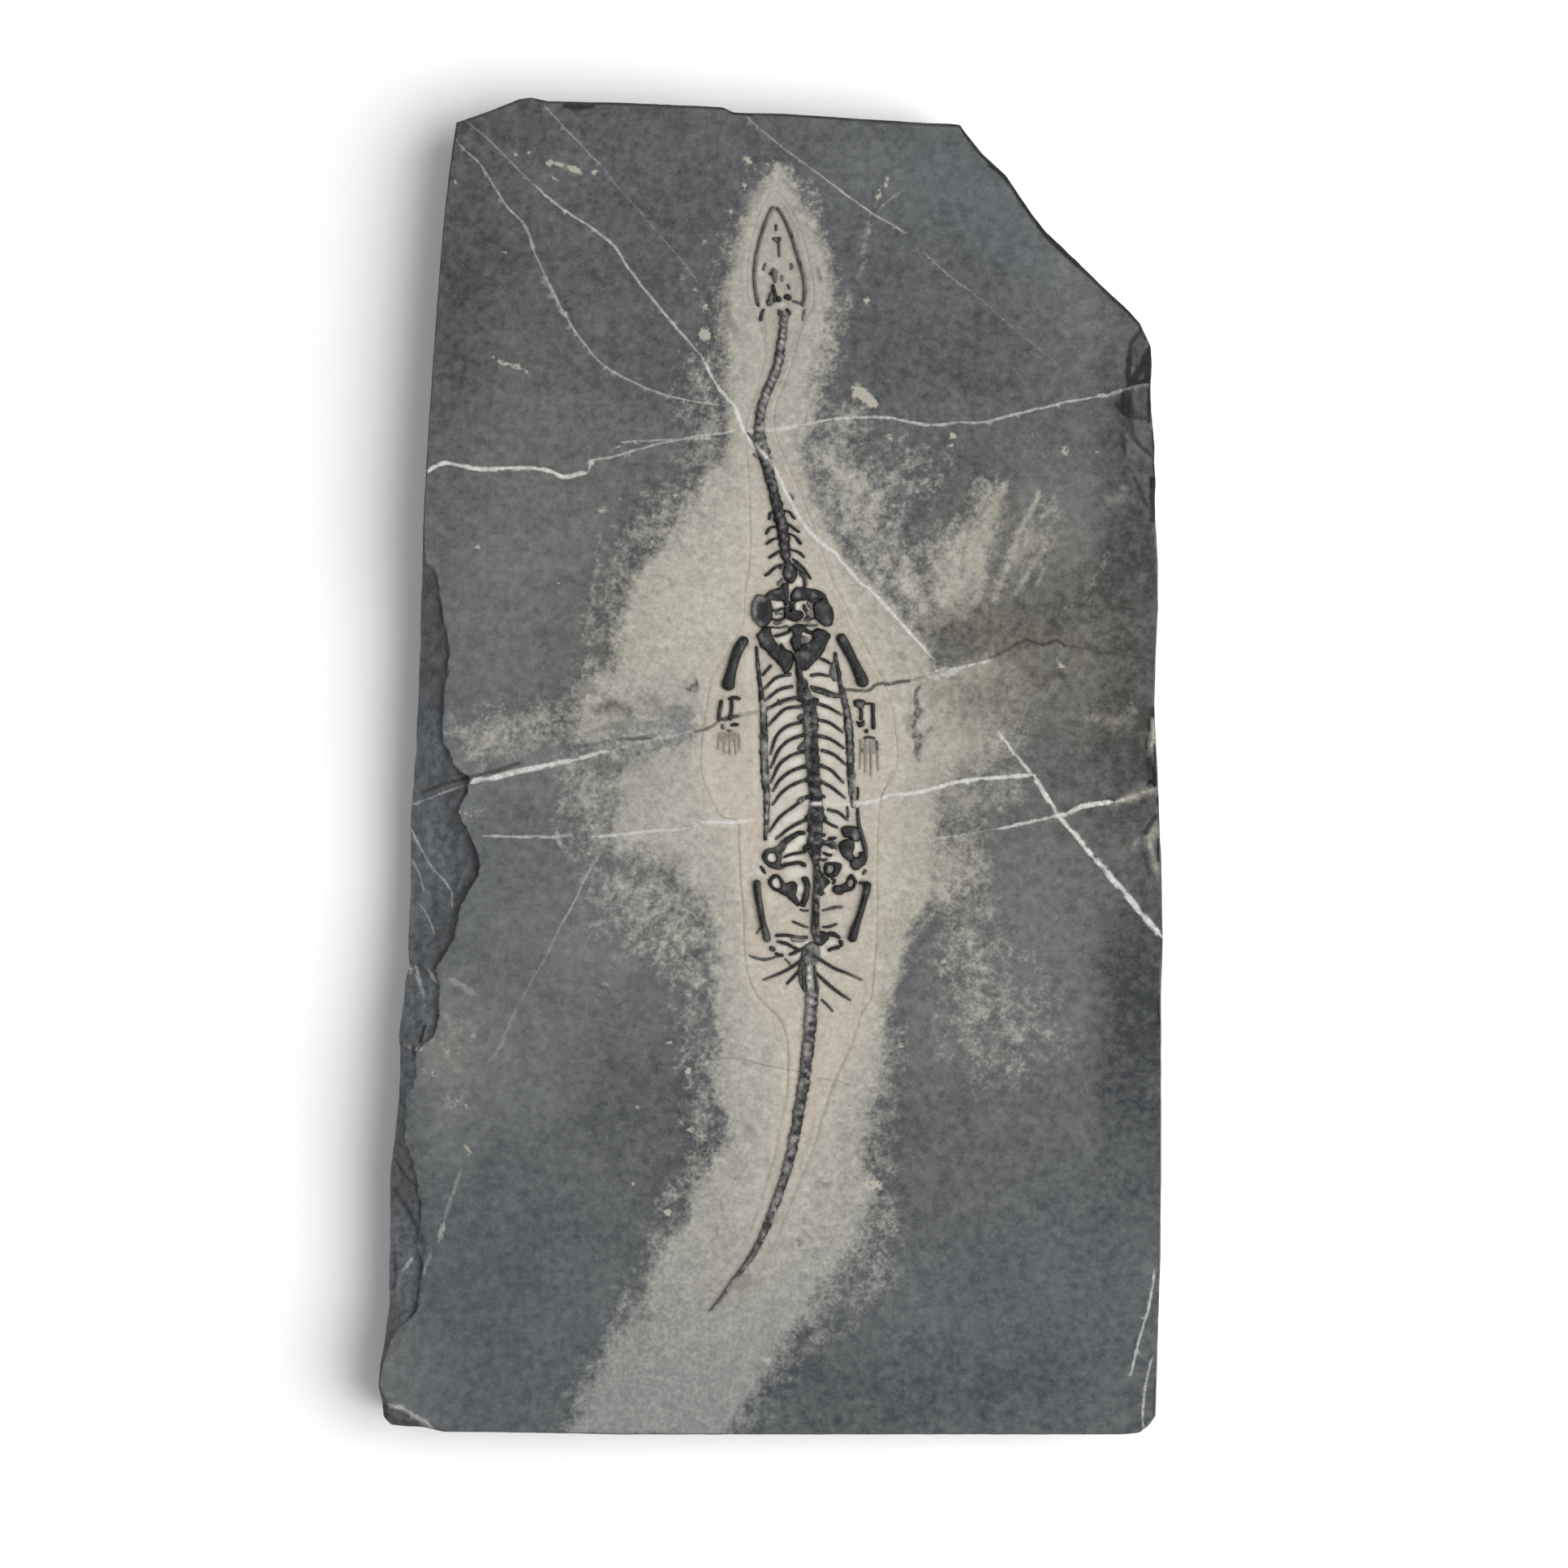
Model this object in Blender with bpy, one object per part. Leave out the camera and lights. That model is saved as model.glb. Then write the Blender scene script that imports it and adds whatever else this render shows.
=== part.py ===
"""Skeleton of a small long-necked marine reptile in its limestone slab.

Metres, +Z up. The slab lies on its flat underside at z = 0, the fossil faces +Z,
the head points to +Y and the origin is under the middle of the slab.
"""

import math
import random

import bmesh
import bpy
from mathutils import Vector

# ---------------------------------------------------------------- dimensions
GRID = 0.00017          # one step of the layout grid used for every plan point
GRID_CENTRE = (949.5, 943.5)  # grid point that lies over the origin
THICKNESS = 0.018       # slab thickness, underside to face
FIELD_DEPTH = 0.0004    # depth of the prepared field around the skeleton
GAP = 0.0002            # clearance between a bone and the field's floor
WALL_WANDER = 0.0006    # how far the broken side walls wander
FOOT_INSET = 0.0010     # the underside's edge is set in by this much
RIB_WIDTH = 3.6         # grid steps
FLOOR = THICKNESS - FIELD_DEPTH

for old in list(bpy.data.objects):
    bpy.data.objects.remove(old, do_unlink=True)

parts = bpy.data.collections.new("fossil_reptile")
cutters = bpy.data.collections.new("cutters")
bpy.context.scene.collection.children.link(parts)
bpy.context.scene.collection.children.link(cutters)


def material(name, colour, roughness):
    made = bpy.data.materials.new(name)
    made.use_nodes = True
    shader = made.node_tree.nodes["Principled BSDF"]
    shader.inputs["Base Color"].default_value = (*colour, 1.0)
    shader.inputs["Roughness"].default_value = roughness
    shader.inputs["Metallic"].default_value = 0.0
    return made


STONE = material("limestone", (0.115, 0.120, 0.125), 0.8)
BONE = material("black_bone", (0.035, 0.038, 0.043), 0.55)


def plan(u, v):
    """Plan position of a layout grid point: u runs to the right, v towards the tail."""
    return ((u - GRID_CENTRE[0]) * GRID, (GRID_CENTRE[1] - v) * GRID)


def smooth(points, pieces):
    """Catmull-Rom curve through (u, v, width) points, with this many pieces a span."""
    out = []
    for i in range(len(points) - 1):
        p0 = points[max(i - 1, 0)]
        p1, p2 = points[i], points[i + 1]
        p3 = points[min(i + 2, len(points) - 1)]
        for k in range(pieces):
            t = k / pieces
            out.append(
                tuple(
                    0.5
                    * (
                        2 * b
                        + (c - a) * t
                        + (2 * a - 5 * b + 4 * c - d) * t * t
                        + (3 * b - a - 3 * c + d) * t ** 3
                    )
                    for a, b, c, d in zip(p0, p1, p2, p3)
                )
            )
    out.append(tuple(points[-1]))
    return out


def tube_bone(name, points, height, pieces=1):
    """A long bone: a bevelled curve through (u, v, width), flattened to this height."""
    path = smooth(points, pieces)
    widest = max(w for _, _, w in path) * GRID
    curve = bpy.data.curves.new(name, "CURVE")
    curve.dimensions = "3D"
    curve.bevel_depth = widest / 2
    curve.bevel_resolution = 2
    curve.use_fill_caps = True
    spline = curve.splines.new("POLY")
    spline.points.add(len(path) - 1)
    for point, (u, v, w) in zip(spline.points, path):
        x, y = plan(u, v)
        point.co = (x, y, 0.0, 1.0)
        point.radius = w * GRID / widest
    curve.materials.append(BONE)
    bone = bpy.data.objects.new(name, curve)
    bone.scale.z = height / widest
    bone.location.z = FLOOR + GAP + height / 2
    parts.objects.link(bone)
    return bone


def flat_bone(name, outline, thickness, target=parts, base=None):
    """A plate bone: a flat outline extruded, with a chamfered rim, as a mesh."""
    curve = bpy.data.curves.new(name + "_outline", "CURVE")
    curve.dimensions = "2D"
    curve.fill_mode = "BOTH"
    curve.extrude = thickness / 2
    spline = curve.splines.new("POLY")
    spline.points.add(len(outline) - 1)
    for point, (u, v) in zip(spline.points, outline):
        x, y = plan(u, v)
        point.co = (x, y, 0.0, 1.0)
    spline.use_cyclic_u = True
    drawn = bpy.data.objects.new(name + "_outline", curve)
    target.objects.link(drawn)
    bpy.context.view_layer.update()
    graph = bpy.context.evaluated_depsgraph_get()
    mesh = bpy.data.meshes.new_from_object(drawn.evaluated_get(graph))
    welded = bmesh.new()
    welded.from_mesh(mesh)
    bmesh.ops.remove_doubles(welded, verts=welded.verts, dist=1e-6)
    bmesh.ops.recalc_face_normals(welded, faces=welded.faces)
    welded.to_mesh(mesh)
    welded.free()
    mesh.name = name
    bpy.data.objects.remove(drawn, do_unlink=True)
    bone = bpy.data.objects.new(name, mesh)
    bone.location.z = (FLOOR + GAP if base is None else base) + thickness / 2
    target.objects.link(bone)
    return bone


# ---------------------------------------------------------------------- slab
# Outer edge of the slab, clockwise from the top-left corner. Each station is
# (u, v, edge of the sound face as an offset (du, dv), depth of the broken edge in mm).
EDGE = [
    (562, 150, 3, 3, 0.8), (600, 137, 2, 4, 0.9), (640, 121, 1, 4, 1.0), (655, 119, 0, 4, 1.0),
    (675, 124, 0, 3, 0.8), (730, 125, 0, 3, 0.8), (780, 126, 0, 3, 0.8), (840, 129, 0, 3, 0.8),
    (890, 131, 0, 4, 1.0), (905, 138, 0, 3, 0.8), (966, 139, 0, 4, 1.0), (1060, 145, 0, 5, 1.2),
    (1125, 149, 0, 5, 1.4), (1183, 152, -3, 5, 1.2), (1190, 162, -5, 3, 1.4), (1210, 187, -6, 4, 1.8),
    (1240, 214, -7, 5, 2.2), (1270, 258, -7, 5, 2.2), (1290, 284, -8, 5, 2.4), (1320, 312, -8, 6, 2.6),
    (1360, 352, -7, 6, 2.2), (1392, 382, -6, 5, 1.8), (1406, 397, -5, 6, 2.0),
    # faceted break below the right-hand corner
    (1420, 424, -27, 3, 3.5), (1422, 450, -32, 2, 4.0), (1420, 473, -31, 0, 4.0), (1421, 503, -39, 0, 4.5),
    (1424, 530, -36, 0, 4.0), (1424, 560, -36, 0, 3.2), (1425, 590, -29, 0, 2.4), (1424, 615, -16, 0, 1.6),
    (1424, 640, -4, 0, 0.9), (1427, 690, -3, 0, 0.6), (1427, 750, -2, 0, 0.5), (1424, 820, -2, 0, 0.5),
    (1423, 870, -4, 0, 0.9), (1425, 910, -8, 0, 1.5), (1427, 955, -4, 0, 0.8), (1429, 1010, -6, 0, 1.1),
    (1431, 1045, -8, 0, 1.3), (1432, 1085, -2, 0, 0.5), (1433, 1160, -2, 0, 0.5), (1431, 1226, -4, 0, 0.8),
    (1431, 1262, -2, 0, 0.5), (1431, 1350, -2, 0, 0.5), (1431, 1450, -2, 0, 0.5), (1430, 1550, -2, 0, 0.5),
    (1427, 1650, -2, 0, 0.5), (1424, 1745, -2, -2, 0.5), (1415, 1758, -2, -3, 0.6), (1404, 1766, -1, -3, 0.6),
    (1385, 1768, 0, -2, 0.5), (1290, 1768, 0, -2, 0.5), (1190, 1768, 0, -2, 0.5), (1080, 1768, 0, -2, 0.5),
    (966, 1768, 0, -2, 0.5), (860, 1768, 0, -2, 0.5), (760, 1768, 0, -2, 0.5), (660, 1766, 0, -2, 0.5),
    (580, 1765, 0, -2, 0.5), (546, 1765, 0, -4, 0.8),
    # snapped-off corner at the tail end
    (522, 1760, 6, -5, 1.8), (500, 1760, 13, -13, 2.6), (480, 1759, 17, -21, 3.0), (471, 1748, 12, -15, 2.4),
    (470, 1726, 4, -4, 0.9), (466, 1708, 2, 0, 0.6), (468, 1682, 4, -1, 0.9), (473, 1656, 9, -4, 1.4),
    # spalled left-hand edge, from the tail end up
    (478, 1612, 38, -4, 3.0), (478, 1563, 43, 0, 3.4), (479, 1528, 38, 0, 3.2), (479, 1495, 39, 0, 3.2),
    (479, 1460, 36, 0, 3.0), (480, 1434, 31, 0, 2.8), (486, 1402, 12, -2, 1.6), (491, 1352, 10, 0, 1.4),
    (492, 1322, 22, 0, 2.0), (492, 1296, 18, 0, 2.0), (490, 1278, 35, 2, 3.0), (492, 1258, 44, 0, 3.4),
    (495, 1236, 47, 0, 3.6), (497, 1212, 44, 0, 3.6), (502, 1192, 33, 0, 3.2), (501, 1172, 47, 0, 3.8),
    (501, 1150, 58, 0, 4.2), (502, 1128, 63, 0, 4.6), (503, 1106, 69, 0, 5.0), (503, 1084, 82, 0, 5.2),
    (503, 1064, 87, 0, 5.4), (503, 1044, 86, 0, 5.4), (503, 1024, 75, 0, 5.0), (504, 1003, 62, 0, 4.6),
    (506, 978, 70, 0, 4.6), (508, 957, 69, 0, 4.4), (509, 940, 50, 0, 4.0), (511, 919, 38, 0, 3.6),
    (512, 892, 33, 0, 3.4), (514, 854, 33, 0, 3.4), (515, 823, 37, 0, 3.4), (516, 794, 37, 0, 3.2),
    (517, 755, 30, 0, 2.8), (519, 720, 22, 0, 2.0), (520, 697, 6, -3, 0.9), (521, 650, 2, 0, 0.6),
    (524, 590, 2, 0, 0.6), (529, 510, 2, 0, 0.6), (534, 430, 2, 0, 0.6), (540, 350, 2, 0, 0.6),
    (547, 265, 2, 0, 0.6), (556, 190, 3, 1, 0.6),
]


def make_slab():
    """Loft from the underside's outline up the broken wall to the edge of the sound face."""
    wander = random.Random(17)
    outer = [Vector(plan(u, v)) for u, v, _, _, _ in EDGE]
    sound = [Vector(plan(u + du, v + dv)) for u, v, du, dv, _ in EDGE]
    count = len(EDGE)
    inward = []
    for i in range(count):
        along = outer[(i + 1) % count] - outer[i - 1]
        inward.append(Vector((along.y, -along.x)).normalized())
    low, mid, scar = [], [], []
    for i in range(count):
        depth = EDGE[i][4] / 1000
        low.append((outer[i] + inward[i] * FOOT_INSET * wander.uniform(0.7, 1.3), 0.0))
        mid.append((outer[i] + inward[i] * WALL_WANDER * wander.uniform(0.1, 1.0),
                    THICKNESS * wander.uniform(0.32, 0.46)))
        scar.append((sound[i].lerp(outer[i], 0.30), THICKNESS - depth * wander.uniform(0.45, 0.6)))
    rings = [
        low,
        [(outer[i] + inward[i] * 0.0002, 0.0011) for i in range(count)],
        mid,
        [(outer[i], THICKNESS - EDGE[i][4] / 1000) for i in range(count)],
        scar,
        [(sound[i], THICKNESS) for i in range(count)],
    ]
    shape = bmesh.new()
    levels = [[shape.verts.new((p.x, p.y, z)) for p, z in ring] for ring in rings]
    for below, above in zip(levels, levels[1:]):
        for i in range(count):
            j = (i + 1) % count
            shape.faces.new((below[j], below[i], above[i], above[j]))
    shape.faces.new(levels[0])
    shape.faces.new(list(reversed(levels[-1])))
    bmesh.ops.recalc_face_normals(shape, faces=shape.faces)
    mesh = bpy.data.meshes.new("slab")
    shape.to_mesh(mesh)
    shape.free()
    mesh.materials.append(STONE)
    made = bpy.data.objects.new("slab", mesh)
    parts.objects.link(made)
    return made


# Edge of the prepared field, clockwise from the snout.
FIELD = [
    (953, 235), (966, 246), (979, 268), (991, 300), (1000, 340), (1002, 372), (993, 392), (984, 414),
    (977, 440), (967, 470), (956, 495), (953, 520), (958, 545), (973, 580), (986, 610), (1000, 645),
    (1015, 688), (1025, 716), (1040, 745), (1062, 790), (1093, 851), (1102, 896), (1105, 933), (1099, 959),
    (1084, 985), (1080, 1060), (1080, 1139), (1077, 1192), (1073, 1228), (1061, 1248), (1049, 1288),
    (1031, 1326), (1014, 1373), (1006, 1404), (990, 1445), (974, 1483), (960, 1518), (943, 1555),
    (926, 1582), (900, 1616), (880, 1632), (862, 1626), (864, 1604), (880, 1575), (912, 1538), (931, 1498),
    (943, 1460), (954, 1426), (961, 1386), (969, 1354), (971, 1317), (970, 1282), (961, 1256), (943, 1238),
    (930, 1222), (921, 1199), (917, 1172), (916, 1127), (912, 1080), (910, 1036), (908, 1012), (887, 1004),
    (873, 977), (864, 953), (864, 914), (871, 866), (877, 834), (895, 805), (915, 765), (917, 733),
    (924, 683), (923, 608), (920, 565), (918, 528), (925, 498), (936, 466), (942, 438), (939, 410),
    (931, 390), (921, 366), (920, 330), (926, 292), (936, 258), (944, 243),
]

slab = make_slab()
field = flat_bone("field_cutter", FIELD, 0.004, target=cutters, base=FLOOR)
field.hide_render = True
field.display_type = "WIRE"
cut = slab.modifiers.new("prepared_field", "BOOLEAN")
cut.operation = "DIFFERENCE"
cut.object = field
cut.solver = "EXACT"


# --------------------------------------------------------------------- skull
tube_bone("mandible_left", [
    (952, 254, 3.5), (946, 268, 4.5), (940, 284, 4.5), (935, 301, 4.2), (931, 322, 4.2),
    (929.5, 342, 4.2), (931, 358, 4.2), (935, 378, 4.6)], 0.0007)
tube_bone("mandible_right", [
    (959, 257, 3.5), (966, 268, 4.5), (974, 285, 4.8), (980, 304, 4.4), (985, 322, 4.6),
    (990, 340, 4.2), (992.5, 360, 4.4), (989, 378, 4.6)], 0.0007)
tube_bone("palate", [(956.5, 292, 5), (957.5, 298, 8), (959, 306, 3.4), (960, 317, 3.4)], 0.0006)
tube_bone("braincase", [
    (953, 330, 6), (953, 341, 7), (953, 352, 6), (953.5, 362, 9), (956, 372, 11)], 0.0009)

# ---------------------------------------------------------------------- neck
tube_bone("neck_vertebrae", [
    (966, 386, 11), (965, 402, 12.5), (962, 422, 12), (960, 438, 12.5), (957, 452, 12), (951, 468, 12.5),
    (945, 482, 12.5), (940, 496, 12.5), (936.5, 512, 13), (936, 530, 13), (939, 548, 13.5),
    (944, 570, 13.5), (949, 590, 14), (954, 610, 14.5), (959, 632, 15), (964, 655, 15.5),
    (967, 678, 14), (970, 696, 14), (972, 712, 13)], 0.0013)

# ------------------------------------------------------------ shoulder girdle
flat_bone("clavicle_left", [
    (948, 733), (953, 728), (962, 726), (968, 729), (968, 741), (958, 739), (950, 737)], 0.0008)
flat_bone("clavicle_right", [
    (976, 726), (990, 725), (1003, 728), (1011, 730), (1010, 734), (1000, 737), (990, 740), (980, 739),
    (974, 733)], 0.0008)
flat_bone("scapula_left", [
    (936, 733), (943, 735), (949, 744), (951, 756), (949, 766), (943, 772), (935, 771), (929, 764),
    (926, 754), (927, 743), (930, 737)], 0.0010)
flat_bone("scapula_right", [
    (1004, 742), (1010, 738), (1017, 738), (1023, 744), (1027, 753), (1027, 763), (1023, 770),
    (1015, 771), (1008, 766), (1003, 759), (1002, 750)], 0.0010)
flat_bone("coracoid_left", [
    (933, 783), (938, 777), (948, 776), (952, 784), (958, 793), (967, 799), (975, 803), (977, 812),
    (975, 822), (970, 828), (964, 824), (958, 816), (950, 808), (942, 800), (934, 793)], 0.0010)
flat_bone("coracoid_right", [
    (1003, 777), (1013, 776), (1021, 780), (1022, 787), (1018, 796), (1014, 804), (1008, 811),
    (1000, 819), (993, 824), (985, 824), (981, 816), (982, 805), (989, 799), (998, 795), (1001, 787)],
    0.0010)
tube_bone("shoulder_vertebrae", [(980, 745, 11), (981, 760, 13), (984, 776, 13), (984, 791, 11)], 0.0011)

# ----------------------------------------------------------------- fore limbs
tube_bone("humerus_left", [
    (919, 786, 12.5), (911, 798, 13.5), (905, 813, 12.5), (901, 828, 13), (898, 841, 15.5),
    (897, 849, 15.5)], 0.0014)
tube_bone("humerus_right", [
    (1034, 783, 13.5), (1042, 797, 13), (1050, 811, 12), (1056, 824, 13), (1062, 837, 15.5),
    (1064, 845, 15)], 0.0014)
tube_bone("radius_left", [(889.5, 863, 5), (888, 870, 5.2), (886.5, 879, 4.6), (886, 888, 5.2)], 0.0007)
tube_bone("ulna_left", [(904, 861, 9), (902, 869, 4.6), (901, 879, 5), (899, 887, 7.5)], 0.0007)
tube_bone("radius_right", [(1058, 864, 11), (1060, 874, 6), (1061, 882, 4.6), (1060, 894, 9)], 0.0007)
tube_bone("ulna_right", [(1075.5, 867, 5.4), (1076, 880, 4.8), (1076.5, 898, 6)], 0.0007)

# ----------------------------------------------------------------------- back
tube_bone("trunk_vertebrae", [
    (986, 834, 10), (989, 850, 15), (995, 866, 14), (998, 882, 14), (999.5, 902, 15), (1000.5, 925, 13),
    (1002, 948, 12.5), (1004, 968, 14), (1006, 984, 13), (1004, 1002, 16), (1004, 1022, 14),
    (1003, 1044, 17), (1005, 1062, 10.5), (1006, 1084, 9.5), (1005, 1108, 9.5), (1004, 1130, 10),
    (1005, 1150, 12), (1008, 1163, 9)], 0.0015)

# ----------------------------------------------------------------------- ribs
RIBS_LEFT = [
    [(973, 831), (957, 835), (944, 847)],
    [(975, 846), (960, 850), (946, 861)],
    [(984, 859), (966, 863), (949, 872)],
    [(985, 871), (967, 874), (949, 892)],
    [(987, 890), (970, 895), (957, 907), (951, 925)],
    [(989, 906), (973, 912), (960, 924), (952, 942)],
    [(989, 926), (973, 932), (960, 943), (952, 960)],
    [(991, 944), (974, 951), (961, 961), (955, 971)],
    [(992, 961), (975, 968), (962, 978), (955, 988)],
    [(994, 982), (978, 994), (961, 1007), (951, 1021)],
    [(991, 1011), (974, 1020), (960, 1031)],
    [(991, 1027), (977, 1032), (966, 1039), (953, 1041)],
]
RIBS_RIGHT = [
    [(1001, 832), (1010, 831), (1022, 833)],
    [(1001, 847), (1015, 850), (1030, 857)],
    [(1008, 867), (1022, 872), (1036, 880)],
    [(1009, 887), (1023, 891), (1037, 901)],
    [(1010, 907), (1024, 911), (1039, 921)],
    [(1014, 925), (1028, 930), (1041, 941)],
    [(1011, 943), (1024, 949), (1038, 963)],
    [(1014, 964), (1026, 971), (1040, 982)],
    [(1022, 998), (1033, 1001), (1043, 1009)],
]
for side, ribs in (("left", RIBS_LEFT), ("right", RIBS_RIGHT)):
    for number, rib in enumerate(ribs, 1):
        wide = 7.0 if (side, number) == ("left", 12) else RIB_WIDTH
        path = [(u, v, wide * (0.8 if i == len(rib) - 1 else 1.0)) for i, (u, v) in enumerate(rib)]
        tube_bone(f"rib_{side}_{number:02d}", path, 0.0005, pieces=2)

tube_bone("side_strip_left", [
    (932, 800, 3), (934, 825, 4), (937.5, 848, 5), (940.5, 878, 7), (940.5, 905, 8), (940, 930, 8),
    (942, 960, 8), (945, 985, 7), (944, 1010, 5), (943, 1034, 5)], 0.0006)
tube_bone("side_strip_right", [
    (1029, 803, 4), (1032, 825, 6), (1035.5, 845, 6), (1041, 865, 7), (1045, 885, 7), (1047, 905, 8),
    (1048, 930, 8), (1048, 955, 7), (1051, 980, 7), (1056, 1000, 5), (1057, 1018, 5), (1061, 1038, 5)],
    0.0006)

# --------------------------------------------------------------------- pelvis
flat_bone("pubis_left", [
    (940, 1051), (946, 1046), (956, 1046), (961, 1051), (964, 1060), (976, 1063), (988, 1061),
    (993, 1066), (986, 1069), (975, 1068), (964, 1071), (954, 1069), (945, 1063)], 0.0008)
flat_bone("pubis_right", [
    (1034, 1042), (1041, 1040), (1046, 1046), (1052, 1053), (1061, 1051), (1067, 1056), (1064, 1066),
    (1057, 1072), (1050, 1070), (1045, 1062), (1038, 1056), (1034, 1049)], 0.0008)
flat_bone("ischium_left", [
    (949, 1083), (955, 1079), (962, 1083), (966, 1089), (974, 1088), (982, 1089), (984, 1100),
    (984, 1110), (979, 1112), (970, 1105), (960, 1098), (951, 1094), (947, 1089)], 0.0008)
flat_bone("ischium_right", [
    (1027, 1097), (1032, 1091), (1041, 1090), (1045, 1081), (1050, 1078), (1054, 1084), (1053, 1092),
    (1046, 1097), (1039, 1101), (1031, 1101)], 0.0008)
flat_bone("ilium_left", [
    (989, 1083), (995, 1081), (998, 1090), (997, 1104), (994, 1113), (989, 1113), (988, 1099)], 0.0008)
flat_bone("ilium_right", [
    (1016, 1068), (1020, 1063), (1027, 1064), (1034, 1064), (1036, 1070), (1030, 1078), (1022, 1080),
    (1016, 1077)], 0.0008)

# ----------------------------------------------------------------- hind limbs
tube_bone("femur_left", [
    (932.5, 1085, 10), (934, 1100, 9), (937, 1120, 8), (940, 1137, 7.5), (944, 1150, 8.5),
    (946, 1160, 10)], 0.0013)
tube_bone("femur_right", [
    (1069, 1087, 12), (1067.5, 1099, 9), (1064, 1112, 8), (1060, 1126, 8), (1056, 1138, 9),
    (1052, 1150, 11), (1049, 1160, 11)], 0.0013)
tube_bone("tibia_left", [(956, 1153, 4), (972, 1153, 4), (988, 1156, 4)], 0.0006)
tube_bone("fibula_left", [(961, 1161, 4), (970, 1163, 4), (985, 1171, 4)], 0.0006)
tube_bone("tibia_right", [(1019, 1152, 4.4), (1027, 1152, 4.4), (1035, 1156, 4)], 0.0006)
tube_bone("fibula_right", [(1021, 1172, 4.4), (1026, 1168, 4.4), (1038, 1166, 5)], 0.0006)

# ----------------------------------------------------------------------- tail
tube_bone("caudal_rib_left_1", [(986, 1184, 4), (972, 1194, 4), (960, 1200, 4), (941, 1208, 2.6)], 0.0005)
tube_bone("caudal_rib_left_2", [(984, 1197, 4), (978, 1204, 4), (970, 1212, 3)], 0.0005)
tube_bone("caudal_rib_right_1", [
    (1010, 1182, 4), (1027, 1192, 4), (1045, 1200, 3.6), (1063, 1208, 2.6)], 0.0005)
tube_bone("caudal_rib_right_2", [
    (1011, 1204, 4), (1022, 1214, 4), (1035, 1224, 4), (1048, 1232, 3)], 0.0005)
tube_bone("tail_vertebrae", [
    (998, 1175, 10), (996, 1190, 11), (997, 1206, 12), (1000, 1222, 13), (1001, 1240, 13),
    (998, 1262, 15), (996, 1280, 14.6), (995, 1300, 14), (992, 1320, 13.6), (989, 1340, 13.4),
    (986, 1360, 13), (982.5, 1380, 12.6), (979, 1400, 12), (974.5, 1422, 11.4), (969, 1444, 10.6), (962.5, 1464, 10),
    (955, 1484, 9.4), (948, 1503, 8.6), (940, 1522, 7.6), (931, 1540, 6.8), (919.5, 1558, 5.8),
    (906.5, 1575, 4.8), (894, 1591, 3.8), (883.5, 1605, 2.8), (875.5, 1615, 2.2)], 0.0012)

for made in parts.objects:
    if made.type == "MESH" and not made.data.materials:
        made.data.materials.append(BONE)
    if made.type == "MESH":
        made.data.shade_smooth()
        made.data.set_sharp_from_angle(angle=math.radians(35))
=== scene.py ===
"""Looks of the fossil marine reptile: the weathered limestone slab and every black bone in it.

Every plan point is on the same layout grid as the CAD source: u runs to the right, v towards
the tail, and one step is 0.17 mm. Heights are in metres.
"""

import math

import bpy
import numpy as np
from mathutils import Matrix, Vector
from mathutils.geometry import delaunay_2d_cdt


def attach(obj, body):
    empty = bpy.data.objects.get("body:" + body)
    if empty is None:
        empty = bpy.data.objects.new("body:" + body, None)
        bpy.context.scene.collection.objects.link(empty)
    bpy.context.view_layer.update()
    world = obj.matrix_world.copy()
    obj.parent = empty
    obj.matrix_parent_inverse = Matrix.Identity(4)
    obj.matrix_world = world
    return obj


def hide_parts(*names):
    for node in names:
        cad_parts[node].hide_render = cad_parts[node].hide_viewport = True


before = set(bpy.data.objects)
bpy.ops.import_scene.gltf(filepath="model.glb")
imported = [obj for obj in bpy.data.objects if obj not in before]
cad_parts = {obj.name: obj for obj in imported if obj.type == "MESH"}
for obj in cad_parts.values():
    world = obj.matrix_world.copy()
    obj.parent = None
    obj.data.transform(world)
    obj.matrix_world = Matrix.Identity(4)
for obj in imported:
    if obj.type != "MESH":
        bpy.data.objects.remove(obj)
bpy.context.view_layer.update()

GRID = 0.00017
CENTRE = (949.5, 943.5)
TOP = 0.018            # height of the slab's face
BONE_BASE = 0.0178     # where the bones of the CAD model start
BURIED = 0.01745       # how deep the bones go into the stone
rng = np.random.default_rng(7)


# ------------------------------------------------------------------ numbers
def arr(points):
    return np.array(points, float)


def noise3(x, y, z, seed):
    """Value noise from -1 to 1, smooth, one feature per unit."""
    x, y, z = np.broadcast_arrays(np.asarray(x, float), y, z)
    ix, iy, iz = (np.floor(a).astype(np.int64) for a in (x, y, z))
    fx, fy, fz = x - ix, y - iy, z - iz
    fx, fy, fz = (f * f * f * (f * (f * 6 - 15) + 10) for f in (fx, fy, fz))

    def corner(a, b, c):
        h = (a * 374761393 + b * 668265263 + c * 1440662683 + seed * 97531) & 0xFFFFFFFF
        h = ((h ^ (h >> 13)) * 1274126177) & 0xFFFFFFFF
        h = ((h ^ (h >> 16)) * 2246822519) & 0xFFFFFFFF
        h = h ^ (h >> 13)
        return (h & 0xFFFFFF) / 8388607.5 - 1

    out = 0.0
    for a in (0, 1):
        for b in (0, 1):
            for c in (0, 1):
                w = (fx if a else 1 - fx) * (fy if b else 1 - fy) * (fz if c else 1 - fz)
                out = out + w * corner(ix + a, iy + b, iz + c)
    return out


def noise(x, y, period, seed, octaves=1, z=0.0):
    total, size, scale = 0.0, 0.0, 1.0
    for k in range(octaves):
        total = total + scale * noise3(x / period * 2 ** k, y / period * 2 ** k, z, seed + 17 * k)
        size += scale
        scale *= 0.5
    return total / size


def step(x, low, high):
    t = np.clip((x - low) / (high - low), 0, 1)
    return t * t * (3 - 2 * t)


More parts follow.
